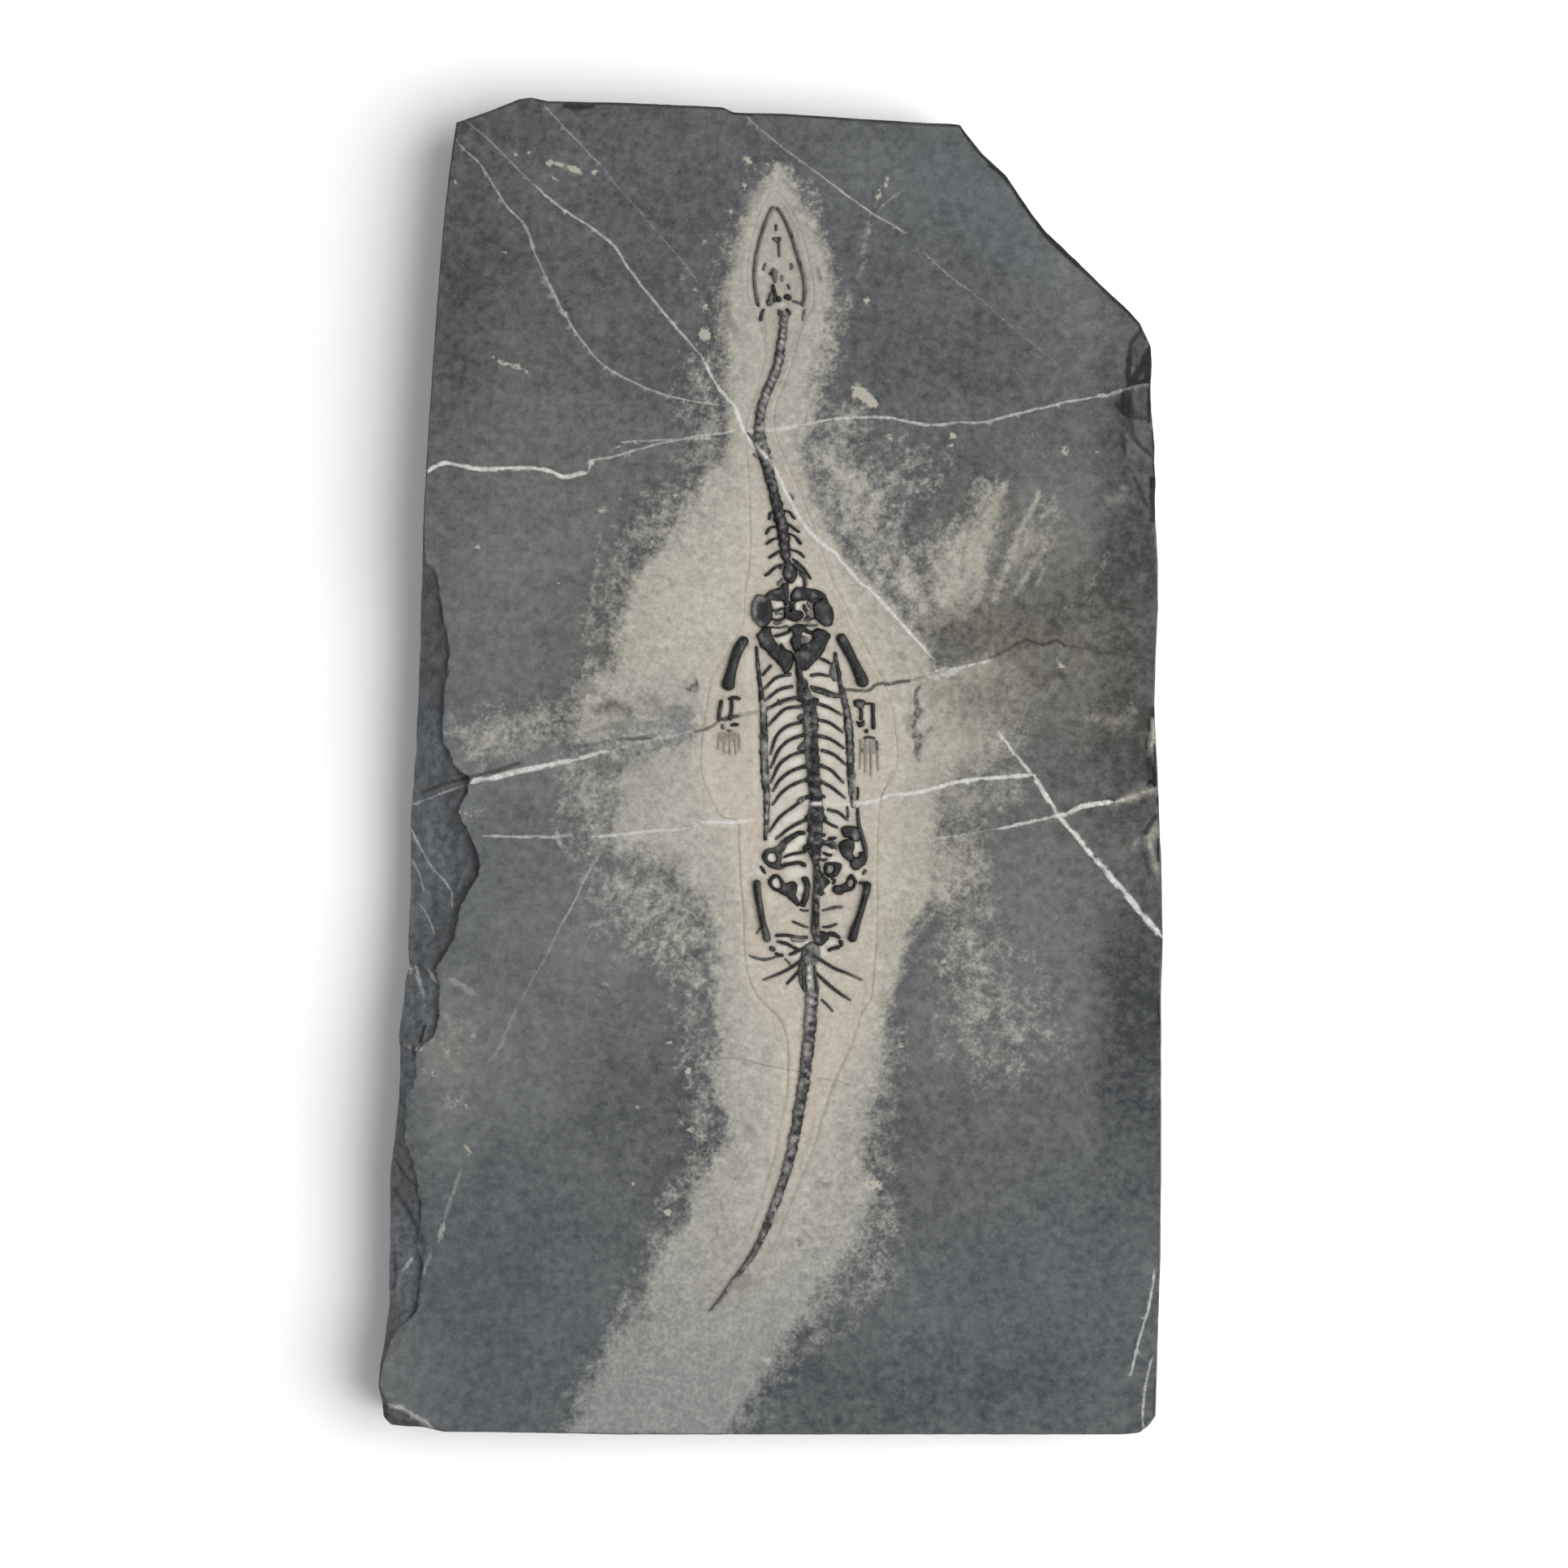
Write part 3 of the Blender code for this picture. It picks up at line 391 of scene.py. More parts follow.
# white calcite veins: (half width, strength, line)
VEINS = [
    (1.1, 0.35, [(575, 150), (600, 170), (620, 190), (640, 210), (655, 225)]),
    (1.35, 0.66, [(655, 225), (680, 247), (700, 262), (720, 275), (742, 290), (760, 307), (776, 333),
                 (820, 388), (863, 437)]),
    (1.7, 0.84, [(863, 437), (887, 481), (905, 500), (915, 527), (925, 545), (935, 555), (946, 562)]),
    (2.2, 1.00, [(905, 500), (915, 527), (925, 545), (935, 555)]),
    (1.8, 0.95, [(935, 555), (945, 563), (953, 575), (961, 590), (966, 602), (973, 615), (980, 630),
                 (990, 645), (1000, 658), (1010, 668), (1020, 675), (1028, 680), (1038, 693), (1050, 707),
                 (1062, 720), (1077, 731), (1110, 768), (1147, 809)]),
    (1.15, 0.52, [(562, 172), (575, 187), (590, 200), (600, 215), (612, 235), (625, 255), (645, 275),
                 (652, 290), (658, 310), (665, 325), (696, 388), (721, 425), (752, 456), (820, 487),
                 (893, 500)]),
    (1.9, 0.55, [(645, 275), (652, 290), (658, 310)]),
    (2.6, 0.60, [(690, 380), (699, 390)]),
    (2.2, 1.00, [(524, 582), (538, 574), (554, 570), (591, 578), (640, 577), (672, 579), (684, 584),
                 (696, 588), (712, 584), (725, 581)]),
    (1.3, 0.58, [(725, 581), (731, 567), (752, 564), (777, 556), (807, 548), (850, 539), (893, 533),
                 (905, 530)]),
    (2.8, 0.70, [(726, 573), (730, 567)]),
    (1.2, 0.45, [(760, 545), (820, 542), (880, 540)]),
    (2.4, 0.62, [(918, 531), (945, 529), (965, 528), (985, 524)]),
    (1.6, 0.66, [(985, 524), (1034, 516), (1089, 514), (1145, 524), (1180, 520)]),
    (1.5, 0.64, [(1180, 520), (1212, 521), (1240, 513), (1286, 502), (1325, 493), (1350, 489)]),
    (2.2, 0.60, [(1350, 489), (1367, 486)]), (1.9, 0.38, [(1367, 486), (1386, 480)]),
    (1.9, 0.26, [(1386, 480), (1396, 476), (1421, 471)]),
    (0.9, 0.42, [(668, 128), (680, 140), (700, 162), (715, 177), (728, 192), (740, 202)]),
    (0.8, 0.26, [(740, 202), (765, 235), (790, 262), (820, 298), (838, 318), (863, 351)]),
    (1.0, 0.42, [(918, 142), (942, 163), (966, 183), (1000, 208)]),
    (1.2, 0.55, [(1000, 208), (1040, 238), (1075, 263), (1095, 274), (1112, 285)]),
    (1.0, 0.36, [(1135, 308), (1170, 340), (1195, 358)]),
    (0.8, 0.22, [(1195, 358), (1250, 405), (1305, 450)]),
    (1.2, 0.35, [(1080, 262), (1093, 248), (1110, 236)]),
    (1.2, 0.45, [(503, 992), (515, 988), (535, 980), (560, 972), (580, 965)]),
    (2.8, 1.00, [(580, 964), (592, 960), (610, 958), (640, 950), (672, 944), (709, 936)]),
    (2.0, 0.80, [(709, 936), (740, 927), (748, 926)]),
    (1.6, 0.30, [(748, 926), (790, 914), (830, 906), (856, 900)]),
    (1.6, 0.62, [(592, 1030), (640, 1031), (678, 1031), (700, 1029)]),
    (1.7, 0.70, [(730, 1031), (770, 1028), (810, 1023), (850, 1021)]),
    (2.0, 0.80, [(862, 1012), (880, 1014), (905, 1013), (922, 1011), (930, 1010)]),
    (1.2, 0.30, [(930, 1010), (960, 1002), (985, 992)]),
    (2.6, 0.62, [(990, 987), (1000, 989), (1015, 987)]),
    (2.4, 0.50, [(1015, 989), (1030, 992), (1042, 991)]),
    (3.6, 0.90, [(1046, 992), (1052, 991), (1057, 989)]),
    (2.0, 0.92, [(1057, 991), (1080, 986), (1100, 979)]),
    (2.0, 0.95, [(1100, 979), (1138, 975), (1182, 963), (1230, 958), (1276, 955)]),
    (1.8, 0.85, [(1230, 902), (1250, 929), (1274, 956)]),
    (2.4, 1.00, [(1274, 956), (1290, 983), (1305, 1006), (1325, 1028), (1348, 1058)]),
    (3.0, 1.00, [(1348, 1058), (1360, 1068), (1370, 1083), (1385, 1099), (1407, 1126), (1431, 1154)]),
    (1.2, 0.30, [(1150, 1034), (1190, 1028), (1231, 1021)]),
    (1.8, 0.72, [(1231, 1021), (1262, 1014), (1297, 1007)]),
    (2.4, 0.95, [(1297, 1006), (1315, 1003), (1330, 995), (1348, 991), (1375, 988)]),
    (2.4, 0.55, [(1375, 988), (1385, 985)]),
    (1.3, 0.38, [(739, 1052), (722, 1080), (708, 1110), (696, 1132), (686, 1150)]),
    (1.1, 0.26, [(686, 1150), (672, 1180), (653, 1212), (640, 1236)]),
    (2.6, 0.20, [(640, 1236), (625, 1268), (613, 1296), (602, 1308)]),
    (0.9, 0.28, [(1090, 1042), (1110, 1038), (1150, 1033)]),
    (2.2, 0.26, [(568, 1440), (558, 1470), (551, 1490), (547, 1505)]),
    (2.8, 0.42, [(547, 1508), (541, 1528)]),
    (2.4, 0.22, [(531, 1544), (526, 1558), (521, 1571)]), (1.8, 0.22, [(519, 1576), (516, 1596), (510, 1618)]),
    (2.2, 0.52, [(508, 1551), (501, 1560), (495, 1569)]),
    (1.4, 0.75, [(1423, 1565), (1419, 1590), (1413, 1620), (1401, 1659), (1393, 1697)]),
    (1.3, 0.65, [(1419, 1673), (1413, 1699), (1408, 1736), (1409, 1764)]),
    (1.3, 0.55, [(503, 1020), (510, 1035), (518, 1050), (530, 1070), (545, 1085), (555, 1100), (556, 1120)]),
    (1.2, 0.45, [(510, 1110), (525, 1130), (533, 1150)]),
    (1.2, 0.40, [(505, 1060), (514, 1078), (520, 1100)]),
    (2.4, 0.56, [(528, 1197), (534, 1205), (540, 1214)]),
    (3.6, 0.26, [(554, 1206), (570, 1216), (585, 1225)]), (2.4, 0.44, [(510, 1190), (514, 1206), (521, 1230)]),
    (3.4, 0.62, [(477, 1731), (494, 1735), (506, 1743), (520, 1751), (532, 1760)]),
    (5.0, 0.44, [(1149, 833), (1166, 829), (1182, 826)]),
    (1.6, 0.40, [(700, 1025), (706, 1032)]),
    (2.6, 0.40, [(686, 1022), (690, 1040), (697, 1044)]),
    (2.4, 0.55, [(1140, 833), (1152, 829), (1166, 824)]), (3.2, 0.50, [(1157, 827), (1169, 825)]),
    (1.9, 0.72, [(1166, 824), (1190, 821), (1206, 817), (1221, 813)]),
]
# cream flecks in the dark stone: (u, v, ru, rv, turn, strength)
FLECKS = [
    (677, 201, 5, 4, 0, 0.8), (690, 203, 8, 3.5, 20, 0.8), (708, 209, 9, 4, 20, 0.9), (732, 212, 4, 4, 0, 0.7),
    (684, 220, 5, 2.6, 30, 0.6), (652, 188, 4, 3, 0, 0.5), (636, 190, 3, 3, 0, 0.5), (562, 224, 3, 3, 0, 0.5),
    (921, 197, 6, 3, 35, 0.8), (1068, 370, 4, 4.5, 0, 0.6), (622, 312, 4, 3, 0, 0.4),
    (1062, 485, 13, 7, 40, 1.0), (1073, 495, 9, 6, 40, 1.0), (1053, 486, 6, 4, 0, 0.7),
    (868, 412, 7, 7, 0, 0.95), (620, 447, 9, 4, 15, 0.55), (636, 452, 9, 4, 20, 0.55), (608, 440, 5, 3, 0, 0.4),
    (650, 460, 8, 2.6, 40, 0.4), (589, 674, 4, 3, 0, 0.6), (1174, 537, 5, 4, 0, 0.75), (1172, 548, 3, 4, 0, 0.5),
    (1312, 556, 7, 6, 0, 0.5), (1350, 557, 5, 3, 0, 0.4), (1273, 536, 4, 4, 0, 0.4), (1095, 538, 6, 5, 0, 0.5),
    (1092, 225, 4, 8, 5, 0.55), (1083, 240, 4, 9, 10, 0.45), (864, 592, 5, 8, 0, 0.4), (834, 612, 5, 6, 0, 0.45),
    (740, 631, 6, 4, -30, 0.45), (764, 616, 4, 3, 0, 0.4), (688, 718, 3, 3, 0, 0.45), (866, 298, 4, 5, 0, 0.4),
    (841, 342, 4, 4, 0, 0.4), (857, 357, 4, 4, 0, 0.4), (869, 378, 5, 6, 0, 0.5), (917, 228, 4, 8, 0, 0.45),
    (988, 230, 5, 6, 0, 0.4), (1000, 250, 4, 4, 0, 0.4), (900, 262, 4, 6, 0, 0.35), (576, 1417, 12, 3.2, 58, 0.46),
    (563, 1358, 6, 5, 0, 0.42), (575, 1364, 5, 3, 50, 0.36), (521, 1319, 5, 4, 0, 0.38), (535, 1324, 7, 4, 30, 0.40),
    (582, 1275, 6, 4, 0, 0.36), (550, 1294, 7, 4, 0, 0.36), (503, 1195, 4, 9, 0, 0.5), (503, 1291, 6, 3, 0, 0.45),
    (516, 1292, 6, 3, 0, 0.45), (823, 1494, 5, 5, 0, 0.8),
    (848, 1320, 4, 5, 0, 0.7), (824, 1285, 4, 3, 0, 0.6), (834, 1156, 6, 5, 0, 0.5), (852, 1392, 5, 4, 0, 0.6),
    (780, 1459, 3, 3, 0, 0.5), (785, 1362, 3, 5, 0, 0.4), (1111, 1288, 5, 4, 0, 0.5), (1075, 1460, 14, 8, 10, 0.6),
    (1332, 1342, 3, 4, 0, 0.35), (1163, 1184, 4, 6, 0, 0.5), (1171, 1192, 5, 5, 0, 0.4), (1422, 902, 2.6, 17, 0, 0.30), (1115, 622, 5, 5, 0, 0.35), (1188, 660, 4, 6, 0, 0.5), (1180, 676, 4, 4, 0, 0.35),
    (946, 1676, 5, 6, 0, 0.5), (1308, 820, 5, 4, 0, 0.5), (1304, 812, 4, 4, 0, 0.4), (572, 1002, 10, 5, 20, 0.35),
    (784, 545, 5, 3, 0, 0.4), (760, 551, 6, 3, 0, 0.35), (719, 1020, 4, 8, 0, 0.35), (724, 860, 5, 8, 0, 0.5),
    (730, 880, 6, 6, 0, 0.4), (745, 850, 7, 5, 0, 0.4), (1300, 1130, 6, 4, 0, 0.25), (700, 1128, 5, 3, 0, 0.3),
    (1146, 834, 2.6, 2, 0, 0.8), (1154, 826, 2.8, 2, 20, 0.8), (1160, 831, 2.4, 2, 0, 0.7), (1169, 828, 2.2, 1.8, 0, 0.7),
    (1138, 838, 2.4, 2, 0, 0.6), (1151, 838, 2, 2, 0, 0.6),
]
# thin dark cracks: (half width, strength, line)
CRACKS = [
    (1.5, 0.75, [(856, 902), (870, 898), (880, 893), (887, 887), (895, 884), (905, 882)]),
    (2.2, 0.35, [(905, 882), (920, 879), (936, 877), (944, 876)]),
    (1.6, 0.45, [(944, 872), (966, 866), (986, 860), (1003, 857)]),
    (1.8, 0.95, [(1036, 849), (1050, 850), (1060, 851), (1072, 850), (1078, 844), (1086, 842), (1095, 843),
                 (1108, 840), (1120, 839)]),
    (1.3, 0.35, [(1120, 839), (1151, 830), (1180, 820), (1219, 812)]),
    (1.4, 0.70, [(1219, 811), (1240, 801), (1252, 793), (1266, 788.5)]),
    (1.7, 0.90, [(1264, 788), (1275, 792), (1287, 794), (1302, 789), (1312, 796)]),
    (1.2, 0.50, [(1311, 795), (1335, 799), (1360, 804), (1390, 808), (1421, 815)]),
    (1.0, 0.34, [(883, 1305), (902, 1303), (925, 1308), (950, 1314), (985, 1320)]),
    (1.0, 0.34, [(1007, 1329), (1030, 1331), (1043, 1336)]),
    (1.8, 0.75, [(520, 976), (540, 968), (560, 962), (580, 957), (610, 950), (640, 940)]),
    (1.4, 0.55, [(521, 1265), (519, 1285)]),
    (1.6, 0.70, [(485, 1430), (497, 1448), (510, 1460)]),
    (1.6, 0.55, [(515, 1590), (512, 1610), (505, 1625)]),
    (1.4, 0.65, [(1390, 510), (1405, 512), (1422, 515)]),
    (1.6, 0.75, [(1388, 530), (1396, 538), (1405, 548), (1420, 560)]),
    (1.6, 0.75, [(1400, 590), (1406, 600), (1408, 610), (1415, 625), (1421, 638)]),
    (2.6, 0.60, [(1381, 542), (1383, 548)]),
    (2.2, 0.55, [(1384, 576), (1385, 584)]),
    (2.4, 0.70, [(1422, 604), (1423, 640)]),
    (2.4, 0.55, [(695, 129), (712, 131), (730, 130)]),
    (1.0, 0.35, [(1084, 985), (1096, 960), (1100, 950)]),
    (2.4, 0.45, [(1402, 738), (1418, 736)]),
    (2.6, 0.45, [(1372, 748), (1392, 742), (1415, 740)]),
    (2.4, 0.40, [(1307, 832), (1314, 834)]),
    (2.4, 0.40, [(1404, 632), (1410, 626)]),
    (1.4, 0.35, [(700, 921), (760, 912), (800, 910)]),
    (1.6, 0.55, [(790, 911), (802, 910)]),
    (1.2, 0.40, [(715, 926), (725, 924)]),
]
# painted shadow, nearly black, along the edges and in the hollows of the broken rim: (strength, half width, line)
RIM_SHADOWS = [
    (0.55, 1.6, [(660, 124), (730, 127), (840, 131), (890, 133), (905, 139), (966, 141), (1060, 147), (1183, 154)]),
    (0.85, 3.4, [(697, 130), (712, 132), (728, 131)]),
    (0.80, 2.4, [(904, 139), (916, 140), (926, 141)]),
    (0.85, 2.6, [(1184, 155), (1200, 179), (1222, 203)]),
    (0.95, 4.0, [(1222, 203), (1240, 217), (1262, 249), (1280, 275), (1300, 298), (1330, 325)]),
    (0.85, 2.6, [(1330, 325), (1360, 354), (1386, 379), (1404, 398)]),
    (0.90, 2.2, [(1406, 403), (1407, 408)]), (0.85, 1.6, [(1411, 412), (1412.4, 416)]),
    (0.70, 1.6, [(1415, 418), (1417, 421)]), (0.97, 2.0, [(1417.6, 425), (1418, 470)]),
    (0.86, 2.8, [(1403, 411), (1398, 417), (1394, 424), (1391.6, 440)]),
    (0.92, 4.2, [(1392, 440), (1390.6, 456), (1391.4, 474)]),
    (0.40, 7.0, [(1408, 416), (1403, 430), (1400, 446)]),
    (0.94, 7.0, [(1414, 438), (1410, 449), (1402, 460), (1397, 470)]),
    (0.90, 5.0, [(1417, 430), (1416, 448), (1414, 468)]),
    (0.97, 5.0, [(1394, 467), (1404, 470), (1416, 469)]),
    (1.0, 1.6, [(1415, 455), (1415, 466)]),
    (0.95, 3.0, [(1384, 486), (1383, 498), (1384, 508)]),
    (0.84, 8.0, [(1389, 484), (1388, 497), (1392, 507)]), (0.36, 9.0, [(1410, 484), (1411, 497), (1411, 507)]),
    (0.80, 3.4, [(1376, 497), (1381, 504), (1386, 509)]), (0.60, 5.0, [(1392, 517), (1394, 528)]),
    (0.95, 2.2, [(1417.8, 478), (1418.2, 500), (1418, 518)]),
    (0.60, 2.0, [(1393, 513), (1405, 513), (1420, 513)]),
    (0.50, 3.2, [(485, 1467), (497, 1485), (510, 1507), (522, 1531)]), (0.85, 1.8, [(523, 1264), (519, 1276), (517, 1284)]),
    (0.60, 1.8, [(508, 1290), (510, 1300)]), (0.40, 2.0, [(484, 1545), (486, 1570), (484, 1590)]),
    (0.40, 2.0, [(525, 1531), (519, 1556), (517, 1590), (511, 1618)]), (0.60, 2.6, [(474, 1733), (474, 1750)]),
    (0.36, 5.5, [(484, 1752), (500, 1757), (512, 1760)]), (0.36, 5.0, [(1304, 830), (1309, 834)]),
    (0.30, 2.4, [(1148, 829), (1156, 827)]), (0.30, 2.0, [(1168, 836), (1184, 836)]),
    (0.55, 5.0, [(1389, 521), (1395, 529)]),
    (0.65, 2.2, [(1396, 531), (1407, 548), (1420, 559)]),
    (0.55, 2.6, [(1383, 538), (1384, 548), (1387, 556)]),
    (0.45, 4.0, [(1388, 574), (1394, 580)]),
    (0.62, 2.2, [(1398, 587), (1404, 603), (1412, 621)]),
    (0.45, 5.0, [(1398, 630), (1405, 632)]),
    (0.70, 2.0, [(1423, 530), (1424, 570), (1424, 606)]),
    (0.97, 3.2, [(1420.6, 588), (1421, 606), (1421.5, 622), (1422, 640)]),
    (0.95, 2.8, [(1421, 872), (1421, 882)]),
    (0.85, 1.8, [(1415.6, 886), (1415.8, 900)]), (0.80, 1.8, [(1412, 910), (1412.4, 922)]),
    (0.95, 1.6, [(1422.6, 918), (1423.2, 946)]),
    (0.60, 4.0, [(1416, 934), (1417, 950), (1418, 960)]),
    (1.0, 2.6, [(1422, 945), (1423, 968)]),
    (0.95, 3.4, [(1416, 964), (1421, 963)]),
    (0.90, 2.4, [(1427, 983), (1427.5, 990)]),
    (0.80, 3.0, [(1411, 1026), (1417, 1016), (1425, 1005)]),
    (0.95, 1.6, [(1427, 1034), (1427.6, 1060)]),
    (0.50, 2.4, [(1410, 1052), (1413, 1064), (1417, 1076)]),
    (0.60, 2.0, [(1428, 1226), (1428, 1262)]),
    (0.50, 1.4, [(1422, 1745), (1424, 1700)]),
]
# worn tan patches on the broken rim: (u, v, ru, rv, turn, strength)
TANS = [
    (1422, 903, 3.0, 20, 0, 0.85), (1418, 919, 5, 5, 0, 0.7), (1420, 1024, 5.4, 9, 14, 0.95),
    (1417, 1042, 2.6, 10, -8, 0.9), (1399, 1039, 9, 2.6, -54, 0.55), (1424, 1068, 2.8, 13, -10, 0.8),
    (1400, 431, 1.8, 15, 10, 0.08), (1412, 505, 5, 16, 0, 0.04), (1384, 986.5, 12, 3.2, -20, 0.8),
    (1400, 980.5, 12, 3.4, -18, 0.85), (1415, 975.5, 9, 3.0, -18, 0.9), (1372, 889, 19, 7.5, 6, 0.50),
    (1396, 877, 5, 4, 0, 0.35),
    (1380, 616, 10, 5, -20, 0.35), (1384, 601, 4, 3, 0, 0.45), (1366, 612, 6, 5, 0, 0.35),
    (1412, 535, 6, 12, -35, 0.08),
]
# faint lines pressed in the pale matrix outside the scribed one
FAINT = [
    [(930, 240), (938, 252), (935, 262)], [(963, 248), (978, 275), (984, 290)],
    [(941, 392), (944, 411), (945.6, 434), (945, 446)], [(993, 388), (988, 400), (982, 418), (976, 433)],
    [(858, 945), (866, 965), (876, 985)], [(1090, 1130), (1092, 1190), (1086, 1240)],
    [(902, 1190), (912, 1212), (926, 1235), (940, 1254)], [(1002, 1380), (1000, 1400), (985, 1440)],
    [(915, 1100), (920, 1140), (921, 1180)], [(866, 1560), (880, 1545), (905, 1520)],
    [(930, 1580), (915, 1604), (904, 1618)], [(862, 1600), (868, 1588), (878, 1577)],
]
# lighter and darker areas of the dark stone: (u, v, ru, rv, turn, amount)
TONES = [
    (1270, 300, 150, 34, 47, 0.09), (1340, 400, 70, 60, 40, 0.03), (600, 800, 110, 130, 0, 0.09),
    (680, 1100, 160, 110, 0, 0.10), (620, 1330, 70, 60, 0, 0.10), (770, 1180, 90, 90, 0, 0.10),
    (1320, 700, 100, 80, 0, 0.08), (1340, 620, 90, 50, 0, 0.08), (1230, 1180, 80, 150, 0, 0.10),
    (1330, 1060, 90, 90, 0, 0.07), (1260, 1290, 90, 60, 0, 0.06), (1340, 1230, 60, 100, 0, 0.03),
    (780, 300, 120, 120, 0, -0.01), (1120, 240, 100, 60, 0, 0.03), (1050, 600, 70, 60, 0, 0.12),
    (1160, 600, 40, 60, 0, -0.02), (680, 560, 160, 50, 0, 0.02), (640, 680, 100, 60, 0, 0.04),
    (1300, 520, 90, 40, 0, 0.03), (780, 1350, 80, 90, 0, -0.03), (1290, 840, 60, 40, 0, 0.03),
    (1360, 930, 60, 40, 0, -0.04), (650, 960, 90, 30, 0, 0.05), (1395, 1180, 40, 110, 0, -0.06),
    (560, 1190, 30, 50, 0, -0.02), (640, 430, 60, 30, 0, 0.06), (700, 210, 60, 20, 0, 0.05),
    (1200, 1600, 200, 160, 0, -0.005), (620, 1600, 150, 150, 0, -0.01), (880, 1250, 60, 60, 0, 0.05),
    (1100, 1600, 60, 60, 0, 0.05), (760, 1450, 80, 40, 0, 0.02), (1185, 440, 60, 50, 0, 0.01),
    (600, 350, 60, 200, 0, -0.02), (560, 560, 40, 100, 0, 0.02), (1300, 760, 40, 20, -25, -0.10),
    (1200, 770, 60, 22, 0, -0.02), (1320, 722, 30, 30, 0, -0.08), (800, 560, 80, 30, 0, 0.0),
    (1150, 350, 90, 90, 0, -0.03), (1310, 1700, 90, 50, 0, -0.04), (1350, 870, 70, 50, 0, -0.01),
    (620, 770, 130, 160, 0, 0.05), (640, 1300, 90, 90, 0, 0.06), (600, 640, 60, 60, 0, 0.06),
    (650, 510, 90, 40, 0, 0.09), (730, 630, 50, 50, 0, 0.06), (546, 1290, 34, 50, 0, 0.22),
    (552, 1405, 28, 40, 0, 0.15), (560, 1215, 24, 30, 0, 0.10), (574, 1002, 14, 26, 0, 0.06),
    (632, 924, 66, 13, 0, 0.15), (1225, 790, 70, 24, -4, -0.02), (740, 975, 50, 40, 0, 0.08),
    (690, 950, 50, 24, 0, 0.06), (1110, 1720, 130, 44, 0, -0.08), (1200, 975, 50, 24, 0, 0.06),
    (1235, 845, 50, 34, 0, 0.10), (556, 320, 30, 120, 0, -0.06), (560, 500, 30, 120, 0, -0.05),
    (562, 650, 30, 60, 0, -0.06), (572, 1000, 20, 60, 0, 0.08), (1375, 700, 50, 60, 0, -0.03),
    (490, 1680, 40, 60, 0, 0.10), (560, 1710, 60, 50, 0, 0.04), (1150, 350, 70, 60, 0, 0.02), (1300, 1010, 60, 50, 0, -0.05),
    (1300, 1310, 60, 50, 0, -0.04), (1385, 410, 26, 26, 0, 0.05), (1070, 215, 60, 36, 0, 0.07),
    (1282, 285, 30, 30, 0, -0.05), (1402, 500, 16, 46, 0, -0.06), (1402, 880, 18, 26, 0, -0.06),
    (800, 550, 40, 46, 0, 0.05), (1130, 1240, 50, 80, 0, 0.05), (740, 1580, 44, 50, 0, 0.06),
    (735, 1060, 44, 34, 0, 0.05), (1185, 985, 40, 34, 0, 0.05), (1225, 940, 30, 24, 0, 0.04),
    (988, 1600, 24, 50, 0, -0.05), (1052, 580, 30, 26, 0, -0.05), (1162, 455, 36, 30, 0, -0.05),
    (1222, 1120, 30, 26, 0, 0.04), (560, 1110, 30, 40, 0, 0.04), (1160, 1310, 30, 30, 0, 0.03),
]
# yellow-brown stain: (u, v, ru, rv, turn, amount)
BROWNS = [
    (1190, 770, 60, 26, -5, 0.8), (1210, 850, 70, 50, 0, 0.75), (1290, 820, 60, 40, 0, 0.5),
    (1300, 700, 110, 60, 0, 0.45), (1370, 880, 60, 60, 0, 0.5), (1330, 780, 90, 40, 0, 0.5),
    (1405, 500, 18, 60, 0, 0.45), (700, 560, 150, 50, 0, 0.25), (700, 750, 80, 160, 0, 0.22),
    (1350, 1000, 80, 60, 0, 0.25), (800, 880, 60, 14, 0, 0.0), (1150, 1060, 60, 60, 0, 0.25),
    (1017, 854, 16, 5, 0, 1.0), (1240, 640, 60, 60, 0, 0.30), (1180, 930, 60, 60, 0, 0.35),
    (555, 1288, 24, 40, 0, 0.5), (492, 1462, 14, 26, 0, 0.6), (486, 1640, 14, 26, 0, 0.4),
    (1270, 1100, 150, 150, 0, 0.16), (1160, 1370, 80, 130, 0, 0.16), (1330, 410, 70, 60, 0, 0.16),
    (740, 400, 70, 60, 0, 0.12), (1140, 500, 70, 60, 0, 0.16),
]
# blue-grey stain: (u, v, ru, rv, turn, amount)
BLUES = [
    (820, 896, 44, 12, -10, 1.0), (745, 915, 34, 8, -14, 0.9), (845, 888, 16, 12, 0, 0.8),
    (535, 905, 14, 30, 0, 0.9), (610, 1600, 150, 200, 0, 0.5), (1250, 1620, 220, 160, 0, 0.45),
    (1240, 290, 120, 30, 47, 0.45), (530, 1060, 50, 90, 0, 0.7), (525, 800, 30, 100, 0, 0.25), (516, 1240, 22, 44, 0, 0.7), (530, 1248, 8, 22, 0, 0.6),
    (1300, 812, 12, 12, 0, 0.7), (850, 1720, 90, 60, 0, 0.4), (560, 1650, 60, 130, 0, 0.25), (494, 1530, 18, 36, 0, 0.9), (500, 1330, 14, 40, 0, 0.5), (498, 1600, 16, 40, 0, 0.3),
    (1150, 230, 110, 60, 0, 0.3), (830, 1650, 80, 60, 0, 0.2),
]
